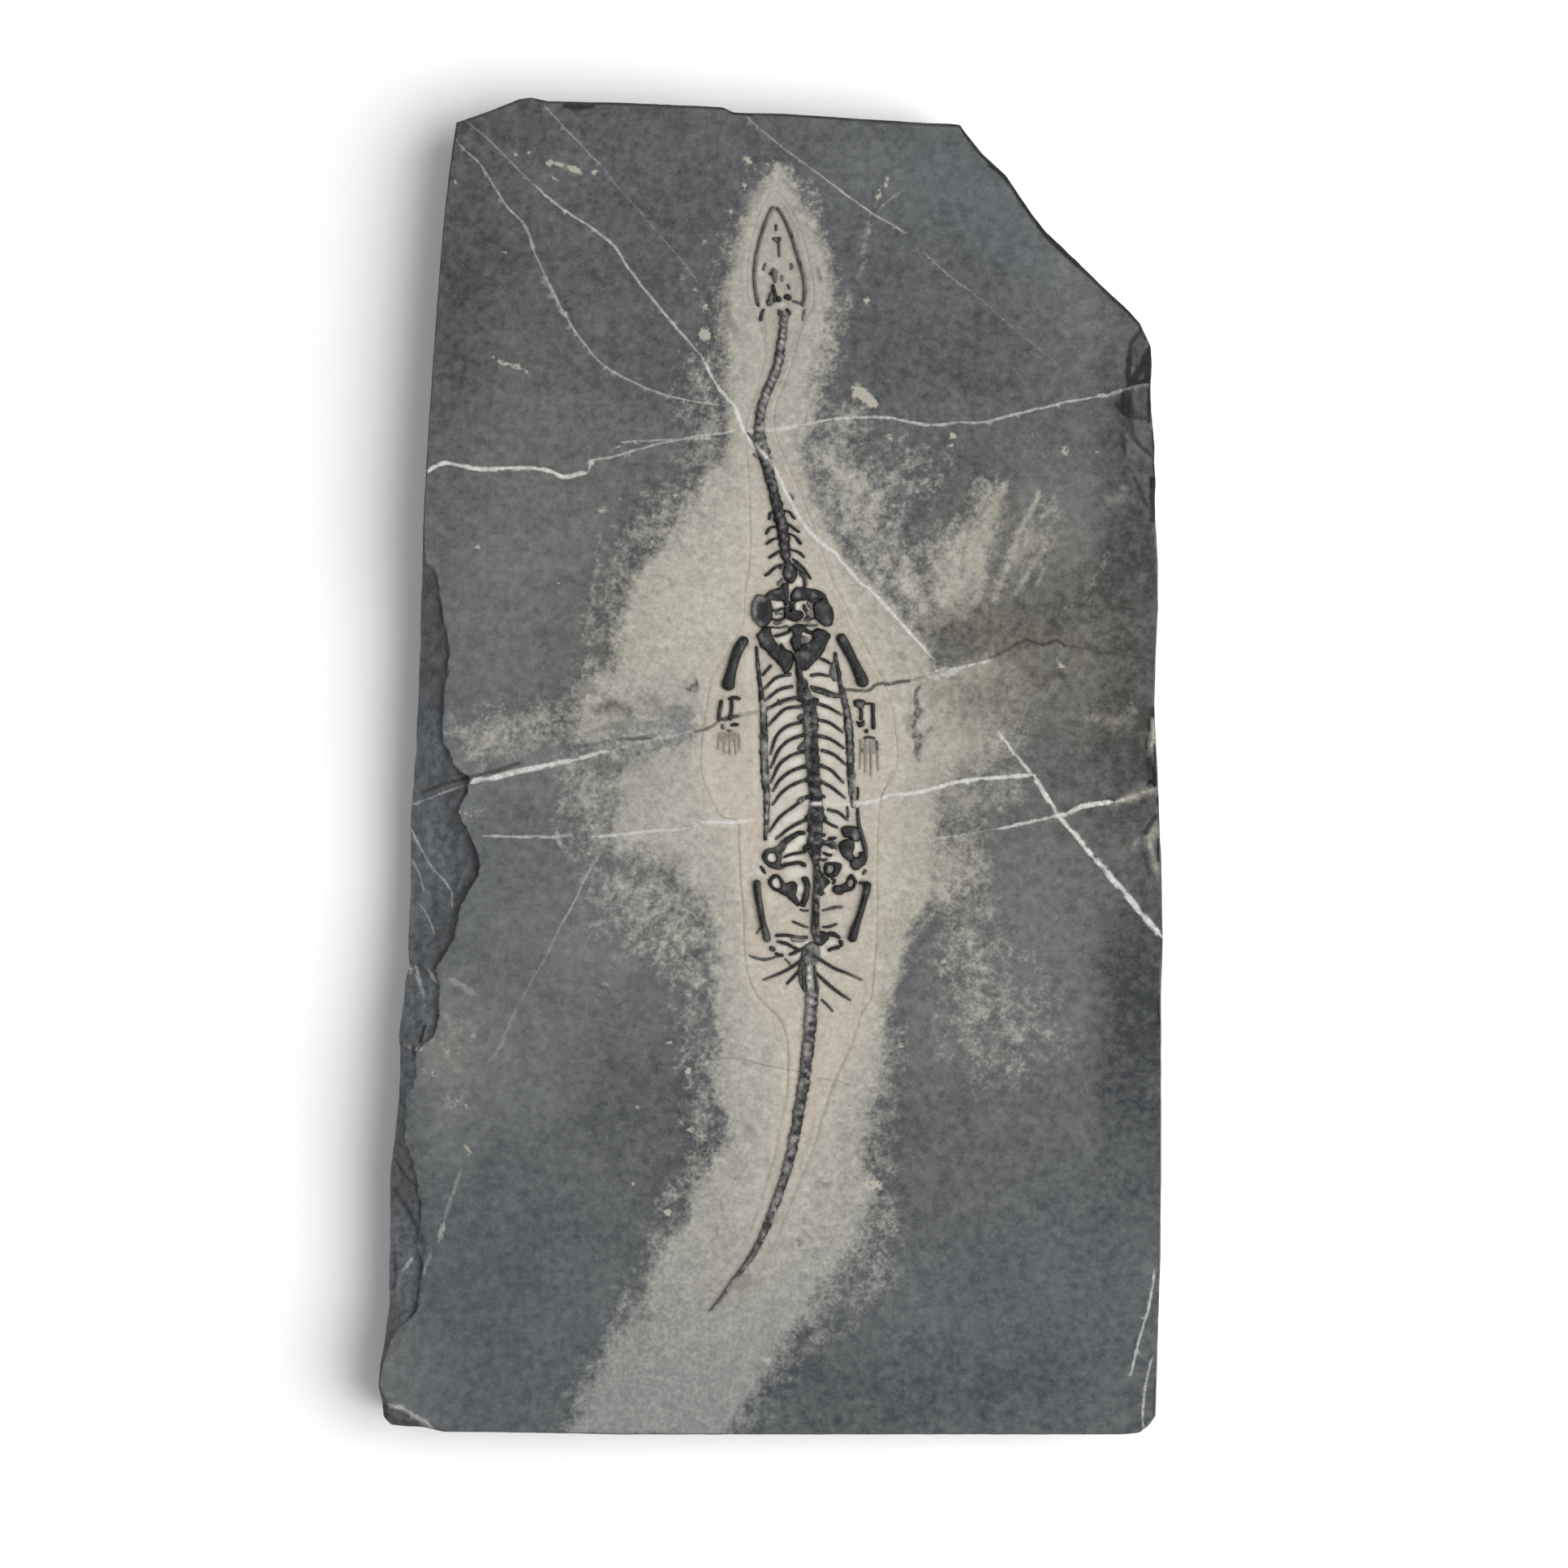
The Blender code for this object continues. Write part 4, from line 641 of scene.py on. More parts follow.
# bright calcite between the bones: (u, v, ru, rv, turn, strength)
BRIGHTS = [
    (986, 1035, 9, 6, -50, 1.0), (975, 1046, 10, 6, -35, 1.0), (975, 1058, 13, 3.2, -4, 1.0),
    (980, 1075, 13, 7, 0, 0.65), (951, 1057, 6, 6, 0, 1.0), (957, 1087, 5, 7, 60, 1.0),
    (986, 1095, 5, 4.6, 0, 1.0), (984, 1107, 4.4, 3.6, 0, 0.9), (987, 1118, 4, 3.6, 0, 0.8),
    (1013, 1035, 6, 4.4, -20, 0.8), (1024, 1048, 6, 3.4, -20, 0.9), (1014, 1056, 4.4, 5, 0, 0.7),
    (1025, 1058, 5, 4.4, 0, 0.8), (1010, 1073, 4, 7, 0, 0.8), (1054, 1044, 5, 8, 10, 0.8),
    (999, 1075, 5, 16, 0, 0.55), (1021, 1092, 4, 9, 30, 0.8), (1028, 1025, 6, 6, 0, 0.5),
    (1034, 1055, 4, 9, 10, 0.5), (1045, 1070, 6, 10, 10, 0.5), (1042, 1024, 0.1, 0.1, 0, 0.0),
    (983, 747, 4.4, 4.4, 0, 0.9), (995, 746, 5.5, 3.4, 40, 0.9), (960, 745, 6, 4.4, -40, 0.8),
    (962, 716, 3.6, 5, 0, 0.6), (983, 716, 6, 4, 0, 0.9), (975, 725, 3.4, 5, 10, 0.6),
    (960, 757, 9, 3.4, -20, 0.6), (958, 773, 11, 4, -5, 0.9), (972, 767, 4, 4, 0, 0.7),
    (968, 786, 10, 5, -25, 0.95), (996, 757, 4, 5, 0, 0.6), (998, 772, 4, 8, 0, 0.6),
    (993, 784, 5, 5, 0, 0.5), (990, 795, 4, 3, 0, 0.3), (979, 817, 3.4, 4.4, 0, 0.8),
    (975, 828, 4, 3, 0, 0.6), (991, 832, 4, 4, 0, 0.7), (998, 852, 3.6, 3.6, 0, 0.7),
    (1010, 823, 12, 4.4, 0, 0.6), (1010, 806, 8, 3.4, -15, 0.4), (1026, 790, 6, 8, 30, 0.5),
    (1008, 838, 12, 4, 0, 0.5), (1022, 846, 8, 4, 15, 0.6), (1035, 845, 4, 6, 0, 0.5),
    (1016, 864, 13, 3.6, 8, 0.85), (1012, 918, 8, 5, 10, 0.6), (1022, 935, 13, 5, 20, 0.5),
    (1020, 956, 12, 7, 30, 0.45), (1020, 897, 14, 4, 15, 0.6), (1018, 879, 14, 3.6, 12, 0.5),
    (1025, 985, 14, 7, 30, 0.4), (1046, 900, 0.1, 0.1, 0, 0), (1058, 830, 0.1, 0.1, 0, 0),
    (957, 840, 12, 4.4, -25, 0.6), (970, 841, 12, 4, -10, 0.5), (965, 856, 14, 3.4, -12, 0.6),
    (970, 868, 12, 2.6, -8, 0.6), (965, 885, 17, 6, -25, 0.5), (958, 904, 12, 5, -40, 0.7),
    (975, 902, 12, 3.6, -8, 0.8), (974, 921, 14, 5, -10, 0.6), (960, 921, 5, 9, 25, 0.6),
    (944, 919, 2.6, 8, 0, 0.85), (942, 938, 2.4, 7, 0, 0.6), (980, 940, 10, 5, -20, 0.9),
    (966, 945, 8, 5, -35, 0.6), (978, 957, 14, 4, -15, 0.7), (975, 975, 16, 6, -20, 0.5),
    (985, 978, 8, 6, -30, 0.5), (978, 1006, 18, 5, -30, 0.8), (975, 1023, 16, 3.4, -22, 0.8),
    (957, 1022, 6, 10, 35, 0.6), (950, 1035, 4, 9, 10, 0.6), (945, 1000, 4, 7, 0, 0.5),
    (1032, 1010, 12, 4.4, 20, 0.4), (1049, 993, 6, 5, 0, 0.8), (1054, 975, 2.6, 12, 0, 0.5),
    (997, 1208, 2.8, 17, 4, 0.8), (1000, 1182, 3.4, 7, 0, 0.5), (1006, 1160, 3, 5, 0, 0.5),
    (966, 1157, 6, 2.4, 0, 0.6), (992, 1161, 4, 3.4, 0, 0.7), (962, 1168, 7, 3.4, 0, 0.5),
    (982, 1165, 4, 3.4, 0, 0.6), (984, 1177, 8, 2.8, -30, 0.7), (1024, 1162, 7, 3.4, 0, 0.6),
    (1015, 1172, 3.4, 6, -30, 0.6), (896, 872, 3.4, 9, 0, 0.6), (1068, 883, 3.6, 12, 0, 0.4),
    (1052, 878, 2.6, 9, 0, 0.2), (924, 815, 6, 22, 10, 0.35), (1040, 815, 6, 20, -25, 0.35),
    (943, 372, 3.4, 4, -30, 0.6), (938, 333, 3.4, 8, 0, 0.4), (962, 375, 4, 3, 0, 0.4),
    (938, 1074, 7, 4, 40, 0.45), (1058, 1078, 5, 5, 0, 0.5), (1066, 1100, 3.4, 3, 0, 0.6),
    (950, 1108, 6, 10, -20, 0.3), (930, 940, 3, 60, 0, 0.25), (1054, 930, 2.6, 60, 0, 0.12),
    (949, 486, 3.4, 5, -20, 0.6), (955, 455, 0.1, 0.1, 0, 0), (953, 610, 0.1, 0.1, 0, 0),
    (958, 671, 4, 5, 0, 0.45), (952, 662, 5, 3, -20, 0.5), (955, 690, 6, 3, -20, 0.4),
    (980, 665, 3, 4, 0, 0.4), (980, 687, 4, 3, 0, 0.4), (971, 693, 3, 3, 0, 0.3),
]

# --------------------------------------------------------- layout: the bones
RIBS_LEFT = [
    [(973, 831), (957, 835), (944, 847)],
    [(975, 846), (960, 850), (946, 861)],
    [(984, 859), (966, 863), (949, 872)],
    [(985, 871), (967, 874), (949, 892)],
    [(987, 890), (970, 895), (957, 907), (951, 925)],
    [(989, 906), (973, 912), (960, 924), (952, 942)],
    [(989, 926), (973, 932), (960, 943), (952, 960)],
    [(991, 944), (974, 951), (961, 961), (955, 971)],
    [(992, 961), (975, 968), (962, 978), (955, 988)],
    [(994, 982), (978, 994), (961, 1007), (951, 1021)],
    [(991, 1011), (974, 1020), (960, 1031)],
    [(991, 1027), (977, 1032), (966, 1039), (953, 1041)],
]
RIBS_RIGHT = [
    [(1001, 832), (1010, 831), (1022, 833)],
    [(1001, 847), (1015, 850), (1030, 857)],
    [(1008, 867), (1022, 872), (1036, 880)],
    [(1009, 887), (1023, 891), (1037, 901)],
    [(1010, 907), (1024, 911), (1039, 921)],
    [(1014, 925), (1028, 930), (1041, 941)],
    [(1011, 943), (1024, 949), (1038, 963)],
    [(1014, 964), (1026, 971), (1040, 982)],
    [(1022, 998), (1033, 1001), (1043, 1009)],
]


# --------------------------------------------------------------- mesh pieces
def closed_patch(top, crown, light, rows, cols, low):
    """A closed solid from a grid of top points: a skirt goes down to a flat underside."""
    index = np.arange(rows * cols).reshape(rows, cols)
    rim = np.concatenate([index[0, :-1], index[:-1, -1], index[-1, :0:-1], index[:0:-1, 0]])
    under = top[rim].copy()
    under[:, 2] = low
    co = np.vstack([top, under])
    n = rows * cols
    faces = []
    for i in range(rows - 1):
        for j in range(cols - 1):
            faces.append((index[i, j], index[i, j + 1], index[i + 1, j + 1], index[i + 1, j]))
    m = len(rim)
    for k in range(m):
        faces.append((rim[k], n + k, n + (k + 1) % m, rim[(k + 1) % m]))
    faces.append(tuple(range(n + m - 1, n - 1, -1)))
    return co, faces, np.concatenate([crown, np.zeros(m)]), np.concatenate([light, light[rim]])


def lights_at(u, v, spots):
    p = np.column_stack([u, v])
    out = np.zeros(len(p))
    for su, sv, ru, rv, amount in spots:
        out += amount * blob(p, su, sv, ru, rv)
    return out


seeds = iter(range(100, 100000, 13))


def tube(points, height, spots=(), lumps=0.15, base=BONE_BASE, light=0.0, flare=0.0, around=14, gap=1.5,
         groove=0.0):
    """A half-sunk long bone through (u, v, width): uneven outline, rounded ends, closed underside."""
    seed = next(seeds)
    path = resample(smooth(points, 8), gap)
    n = len(path)
    side = normals(path)
    run = np.concatenate([[0], np.cumsum(np.hypot(*np.diff(path[:, :2], axis=0).T))])
    total = run[-1]
    half = path[:, 2] / 2
    reach = np.minimum(half[0] * 0.9, total * 0.35), np.minimum(half[-1] * 0.9, total * 0.35)
    a = np.clip(run / max(reach[0], 1e-6), 0, 1)
    b = np.clip((total - run) / max(reach[1], 1e-6), 0, 1)
    taper = np.sqrt(np.clip(1 - (1 - a) ** 2, 0.02, 1)) * np.sqrt(np.clip(1 - (1 - b) ** 2, 0.02, 1))
    angle = np.linspace(0, 2 * np.pi, around, endpoint=False)
    c, s = np.cos(angle), np.sin(angle)
    co, crown, lit = [], [], []
    across = np.sign(c) * np.abs(c) ** 0.85
    up = np.where(s > 0, np.abs(s) ** 0.75, 0)
    for k in range(n):
        wob = 1 + lumps * noise(run[k] / 1.0, np.sign(c) * 3.1, 5.0, seed, 2) \
            + 0.5 * lumps * noise(run[k], np.sign(c) * 7.7, 16.0, seed + 3)
        reach_k = half[k] * taper[k] * wob
        u = path[k, 0] + side[k, 0] * across * reach_k
        v = path[k, 1] + side[k, 1] * across * reach_k
        tall = height * (0.25 + 0.75 * taper[k]) * (1 + 0.10 * noise(run[k], 0.0, 7.0, seed + 5, 2))
        z = base + tall * up
        dent = noise(u, v, 3.0, seed + 9, 2) * 0.05 * height * up
        if groove:
            dent = dent - groove * height * np.exp(-(across / 0.28) ** 2) * (s > 0)
        z = np.where(s < -0.05, BURIED + 0.00004 * s, z + dent)
        z = np.where(np.abs(s) <= 0.05, BONE_BASE - 0.00018, z)
        co.append(place(u, v, z))
        crown.append(np.clip(up, 0, 1) * (0.35 + 0.65 * taper[k]))
        lit.append(light + lights_at(u, v, spots))
    co = np.vstack(co)
    faces = []
    for k in range(n - 1):
        for j in range(around):
            i = (j + 1) % around
            faces.append((k * around + j, k * around + i, (k + 1) * around + i, (k + 1) * around + j))
    faces.append(tuple(range(around - 1, -1, -1)))
    faces.append(tuple((n - 1) * around + j for j in range(around)))
    faces = [tuple(reversed(f)) for f in faces]
    return co, faces, np.concatenate(crown), np.concatenate(lit)


def plate(outline, thickness, spots=(), holes=(), light=0.0, rim=3.2, spacing=1.7, base=BONE_BASE,
          lumps=0.75, hollow=0.0, flush=False):
    """A plate bone from its outline: a pillow with a rounded rim, uneven top and closed underside."""
    seed = next(seeds)
    loops = []
    for loop in (outline, *holes):
        line = resample(smooth(loop, 6, closed=True), spacing, closed=True)
        nrm = normals(line, closed=True)
        wob = noise(line[:, 0], line[:, 1], 6.0, seed + 1, 2) * lumps + noise(line[:, 0], line[:, 1], 3.6, seed + 7) * 0.35
        loops.append(line + nrm * wob[:, None])
    low = loops[0].min(0) - 1
    high = loops[0].max(0) + 1
    gu, gv = np.meshgrid(np.arange(low[0], high[0], spacing), np.arange(low[1], high[1], spacing * 0.87))
    gu = gu + (np.arange(gv.shape[0]) % 2)[:, None] * spacing / 2
    p = np.column_stack([gu.ravel(), gv.ravel()]) + rng.uniform(-0.25, 0.25, (gu.size, 2))
    keep = inside(p, loops[0])
    for loop in loops:
        keep &= to_line(p, loop, 6, True)[0] > spacing * 0.55
    for hole in loops[1:]:
        keep &= ~inside(p, hole)
    p = p[keep]
    points = np.vstack([*loops, p])
    edges, start = [], 0
    for loop in loops:
        m = len(loop)
        edges += [(start + i, start + (i + 1) % m) for i in range(m)]
        start += m
    got = delaunay_2d_cdt([Vector((q[0], -q[1])) for q in points], edges, [], 0, 1e-7)
    back = [ids[0] for ids in got[3]]
    tris = np.array([[back[i] for i in f] for f in got[2]])
    mid = points[tris].mean(1)
    good = inside(mid, loops[0])
    for hole in loops[1:]:
        good &= ~inside(mid, hole)
    tris = tris[good]
    d = np.full(len(points), 1e3)
    for loop in loops:
        d = np.minimum(d, to_line(points, loop, 14, True)[0])
    d[:start] = 0
    t = np.clip(d / rim, 0, 1)
    dome = np.sqrt(np.clip(1 - (1 - t) ** 2, 0, 1))
    u, v = points[:, 0], points[:, 1]
    z = base + thickness * (0.15 + 0.85 * dome) * (1 + 0.10 * noise(u, v, 7.0, seed + 3, 2))
    z += thickness * 0.06 * noise(u, v, 2.6, seed + 5, 2) * dome
    if hollow:
        z -= thickness * hollow * step(d, rim, rim * 2.4)
    z[:start] = base + thickness * 0.12
    crown = 0.15 + 0.85 * t if not flush else 0.7 + 0.3 * t
    lit = light + lights_at(u, v, spots)
    n = len(points)
    used = np.zeros(n, bool)
    used[tris.ravel()] = True
    co = np.vstack([place(u, v, z), place(u, v, np.full(n, BURIED))])
    count = {}
    for a, b, c in tris:
        for e in ((a, b), (b, c), (c, a)):
            count[e] = count.get(e, 0) + 1
    faces = [tuple(t) for t in tris] + [(c + n, b + n, a + n) for a, b, c in tris]
    for a, b in count:
        if (b, a) not in count:
            faces.append((b, a, a + n, b + n))
    keep = np.concatenate([used, used])
    new = np.cumsum(keep) - 1
    faces = [tuple(int(new[i]) for i in f) for f in faces]
    return co[keep], faces, np.concatenate([crown, crown * 0])[keep], np.concatenate([lit, lit])[keep]


def column(points, pitch, height, light, spots=(), flank=0.0, lean=0.0, mottle=0.3, ragged=0.12, joint=0.3,
           knob=0.06, skew=0.12, dots=(), shift_dots=0.0, pits=0.0, ends=True):
    """A run of close-set vertebral centra along (u, v, width): one uneven ridge with a nick at every joint.

    light is a list of (v, how pale); flank pales the two sides, lean pales the left side.
    dots is a list of (v, how pale the spot in the middle of each centrum is); pits darkens the joints."""
    seed = next(seeds)
    path = resample(smooth(points, 8), 1.1)
    run = np.concatenate([[0], np.cumsum(np.hypot(*np.diff(path[:, :2], axis=0).T))])
    total = run[-1]
    nrm = normals(path)
    b = np.sin(np.linspace(-1, 1, 15) * np.pi / 2) * 0.55 + np.linspace(-1, 1, 15) * 0.45
    A, B = np.meshgrid(run, b, indexing="ij")
    joints, at = [], 0.0
    while at < total:
        each = pitch(at / total) if callable(pitch) else pitch
        at += each * (1 + 0.16 * float(noise(np.array([at]), 3.0, 1.0, seed + 1)[0]))
        joints.append(at)
    joints = np.array(joints)
    mids = (np.concatenate([[0.0], joints[:-1]]) + joints) / 2
    skewed = A + skew * B * path[:, 2:3]
    off = np.abs(skewed[:, :, None] - joints[None, None, :]).min(2)
    nick = np.exp(-(off / 1.2) ** 2)
    body = 1 - np.exp(-(off / 3.2) ** 2)
    half = path[:, 2:3] / 2
    wide = half * (1 + ragged * noise(A, np.sign(B) * 25.0, 7.0, seed + 2, 3) + knob * (body - 0.6))
    if ends:
        wide = wide * np.sqrt(np.clip(np.minimum(A, total - A) / (half * 0.8), 0.02, 1))
    shift = 0.45 * noise(A, 1.0, 13.0, seed + 3, 2)
    u = path[:, :1] + nrm[:, :1] * (B * wide + shift)
    v = path[:, 1:2] + nrm[:, 1:2] * (B * wide + shift)
    dome = np.sqrt(np.clip(1 - np.abs(B) ** 2.3, 0, 1))
    z = BONE_BASE + height * dome * (1 - joint * nick) * (0.92 + 0.14 * noise(A, B * 6, 6.0, seed + 4, 2))
    z = z + 0.06 * height * noise(A, B * half, 2.6, seed + 5, 2) * dome
    levels = np.array(light, float)
    side = np.sign(nrm[:, :1]) * B  # below zero on the left of the picture
    lit = np.interp(v, levels[:, 0], levels[:, 1])
    lit = lit + mottle * (0.75 * noise(A, B * half, 4.4, seed + 6, 2) + 0.6 * noise(A, B * half, 9.0, seed + 7, 2))
    lit = lit - 0.30 * joint * nick
    if dots:
        share = np.array(dots, float)
        nearest = np.abs(skewed[:, :, None] - mids[None, None, :]).argmin(2)
        own = noise(mids * 1.0, 11.0, 1.0, seed + 8)[nearest]
        aside = noise(mids * 1.0, 23.0, 1.0, seed + 9)[nearest]
        across = side * half - shift_dots - 1.2 * aside
        amount = np.interp(v, share[:, 0], share[:, 1])
        lit = lit + amount * (0.9 + 0.9 * own) * np.exp(-((skewed - mids[nearest]) / 2.1) ** 2 - (across / 1.8) ** 2)
        lit = lit - pits * amount * np.exp(-(off / 2.0) ** 2 - ((side * half + shift_dots) / 3.0) ** 2)
    lit = lit + flank * np.abs(B) ** 1.5 - lean * side
    lit = lit.ravel() + lights_at(u.ravel(), v.ravel(), spots)
    top = place(u.ravel(), v.ravel(), np.maximum(z, BONE_BASE - 0.0001).ravel())
    return closed_patch(top, (0.25 + 0.75 * dome).ravel(), lit, len(run), len(b), BURIED)


def join(parts):
    co, faces, crown, lit, base = [], [], [], [], 0
    for c, f, k, l in parts:
        co.append(c)
        faces += [tuple(int(i) + base for i in t) for t in f]
        crown.append(k)
        lit.append(l)
        base += len(c)
    return np.vstack(co), faces, np.concatenate(crown), np.concatenate(lit)


outlines = []  # the plan outline of every bone, for the brown residue and painted contact shade that it leaves on the stone


def build(name, co, faces, attributes, material, nodes=()):
    mesh = bpy.data.meshes.new(name)
    mesh.from_pydata(co.tolist(), [], faces)
    for key, values in attributes.items():
        layer = mesh.attributes.new(key, "FLOAT", "POINT")
        layer.data.foreach_set("value", np.asarray(values, np.float32))
    mesh.materials.append(material)
    mesh.update()
    made = bpy.data.objects.new(name, mesh)
    bpy.context.scene.collection.objects.link(made)
    mesh.shade_smooth()
    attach(made, "root")
    if nodes:
        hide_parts(*nodes)
    return made


def bone(name, parts, node=None, sharp=50, warm=0.0):
    co, faces, crown, lit = join(parts)
    made = build(name, co, faces, {"crown": crown, "lit": lit, "warm": np.full(len(co), warm)}, BONE,
                 [node] if node else [])
    made.data.set_sharp_from_angle(angle=math.radians(sharp))
    for part in parts:
        outlines.append(part[0])
    return made


# ----------------------------------------------------------------- materials
LIGHT = 1.2  # how bright a white surface lying flat comes out


def paint(r, g, b):
    """The surface colour that comes out as this screen colour under the scene's light."""
    out = []
    for x in (r, g, b):
        x = x / 255
        x = x / 12.92 if x <= 0.04045 else ((x + 0.055) / 1.055) ** 2.4
        out.append(min(x / LIGHT, 1.0))
    return (*out, 1.0)


class Graph:
    def __init__(self, name):
        self.material = bpy.data.materials.new(name)
        self.material.use_nodes = True
        self.tree = self.material.node_tree
        self.shader = self.tree.nodes["Principled BSDF"]
        where = self.add("ShaderNodeTexCoord")
        scaled = self.add("ShaderNodeVectorMath", operation="SCALE")
        scaled.inputs["Scale"].default_value = 1 / GRID
        self.link(where.outputs["Object"], scaled.inputs[0])
        self.p = scaled.outputs[0]

    def add(self, kind, **settings):
        node = self.tree.nodes.new(kind)
        for key, value in settings.items():
            setattr(node, key, value)
        return node

    def link(self, a, b):
        self.tree.links.new(a, b)

    def put(self, value, socket):
        if isinstance(value, bpy.types.NodeSocket):
            self.link(value, socket)
        else:
            socket.default_value = value

    def math(self, kind, a, b=0.0, clamp=False):
        node = self.add("ShaderNodeMath", operation=kind, use_clamp=clamp)
        self.put(a, node.inputs[0])
        self.put(b, node.inputs[1])
        return node.outputs[0]

    def attribute(self, name):
        return self.add("ShaderNodeAttribute", attribute_name=name).outputs["Fac"]

    def stretch(self, x, y, z, turn=0.0):
        """The pattern's coordinates drawn out along a line turned by that many degrees."""
        turned = self.add("ShaderNodeVectorRotate", rotation_type="Z_AXIS")
        turned.inputs["Angle"].default_value = -math.radians(turn)
        self.link(self.p, turned.inputs["Vector"])
        node = self.add("ShaderNodeVectorMath", operation="MULTIPLY")
        node.inputs[1].default_value = (x, y, z)
        self.link(turned.outputs[0], node.inputs[0])
        return node.outputs[0]

    def noise(self, period, detail=2.0, rough=0.5, distort=0.0, vector=None):
        node = self.add("ShaderNodeTexNoise")
        node.inputs["Scale"].default_value = 1 / period
        node.inputs["Detail"].default_value = detail
        node.inputs["Roughness"].default_value = rough
        node.inputs["Distortion"].default_value = distort
        self.link(vector or self.p, node.inputs["Vector"])
        return node.outputs["Fac"]

    def cells(self, period, vector=None):
        node = self.add("ShaderNodeTexVoronoi", feature="F1")
        node.inputs["Scale"].default_value = 1 / period
        self.link(vector or self.p, node.inputs["Vector"])
        return node.outputs["Distance"]

    def range(self, value, low, high, to_low=0.0, to_high=1.0, kind="SMOOTHSTEP"):
        node = self.add("ShaderNodeMapRange", interpolation_type=kind)
        self.put(value, node.inputs["Value"])
        node.inputs["From Min"].default_value = low
        node.inputs["From Max"].default_value = high
        node.inputs["To Min"].default_value = to_low
        node.inputs["To Max"].default_value = to_high
        return node.outputs["Result"]

    def mix(self, share, a, b, kind="MIX"):
        node = self.add("ShaderNodeMix", data_type="RGBA", blend_type=kind)
        self.put(share, node.inputs[0])
        self.put(a, node.inputs[6])
        self.put(b, node.inputs[7])
        return node.outputs[2]

    def bump(self, height, strength, distance, normal=None):
        node = self.add("ShaderNodeBump")
        node.inputs["Strength"].default_value = strength
        node.inputs["Distance"].default_value = distance
        self.link(height, node.inputs["Height"])
        if normal is not None:
            self.link(normal, node.inputs["Normal"])
        return node.outputs[0]


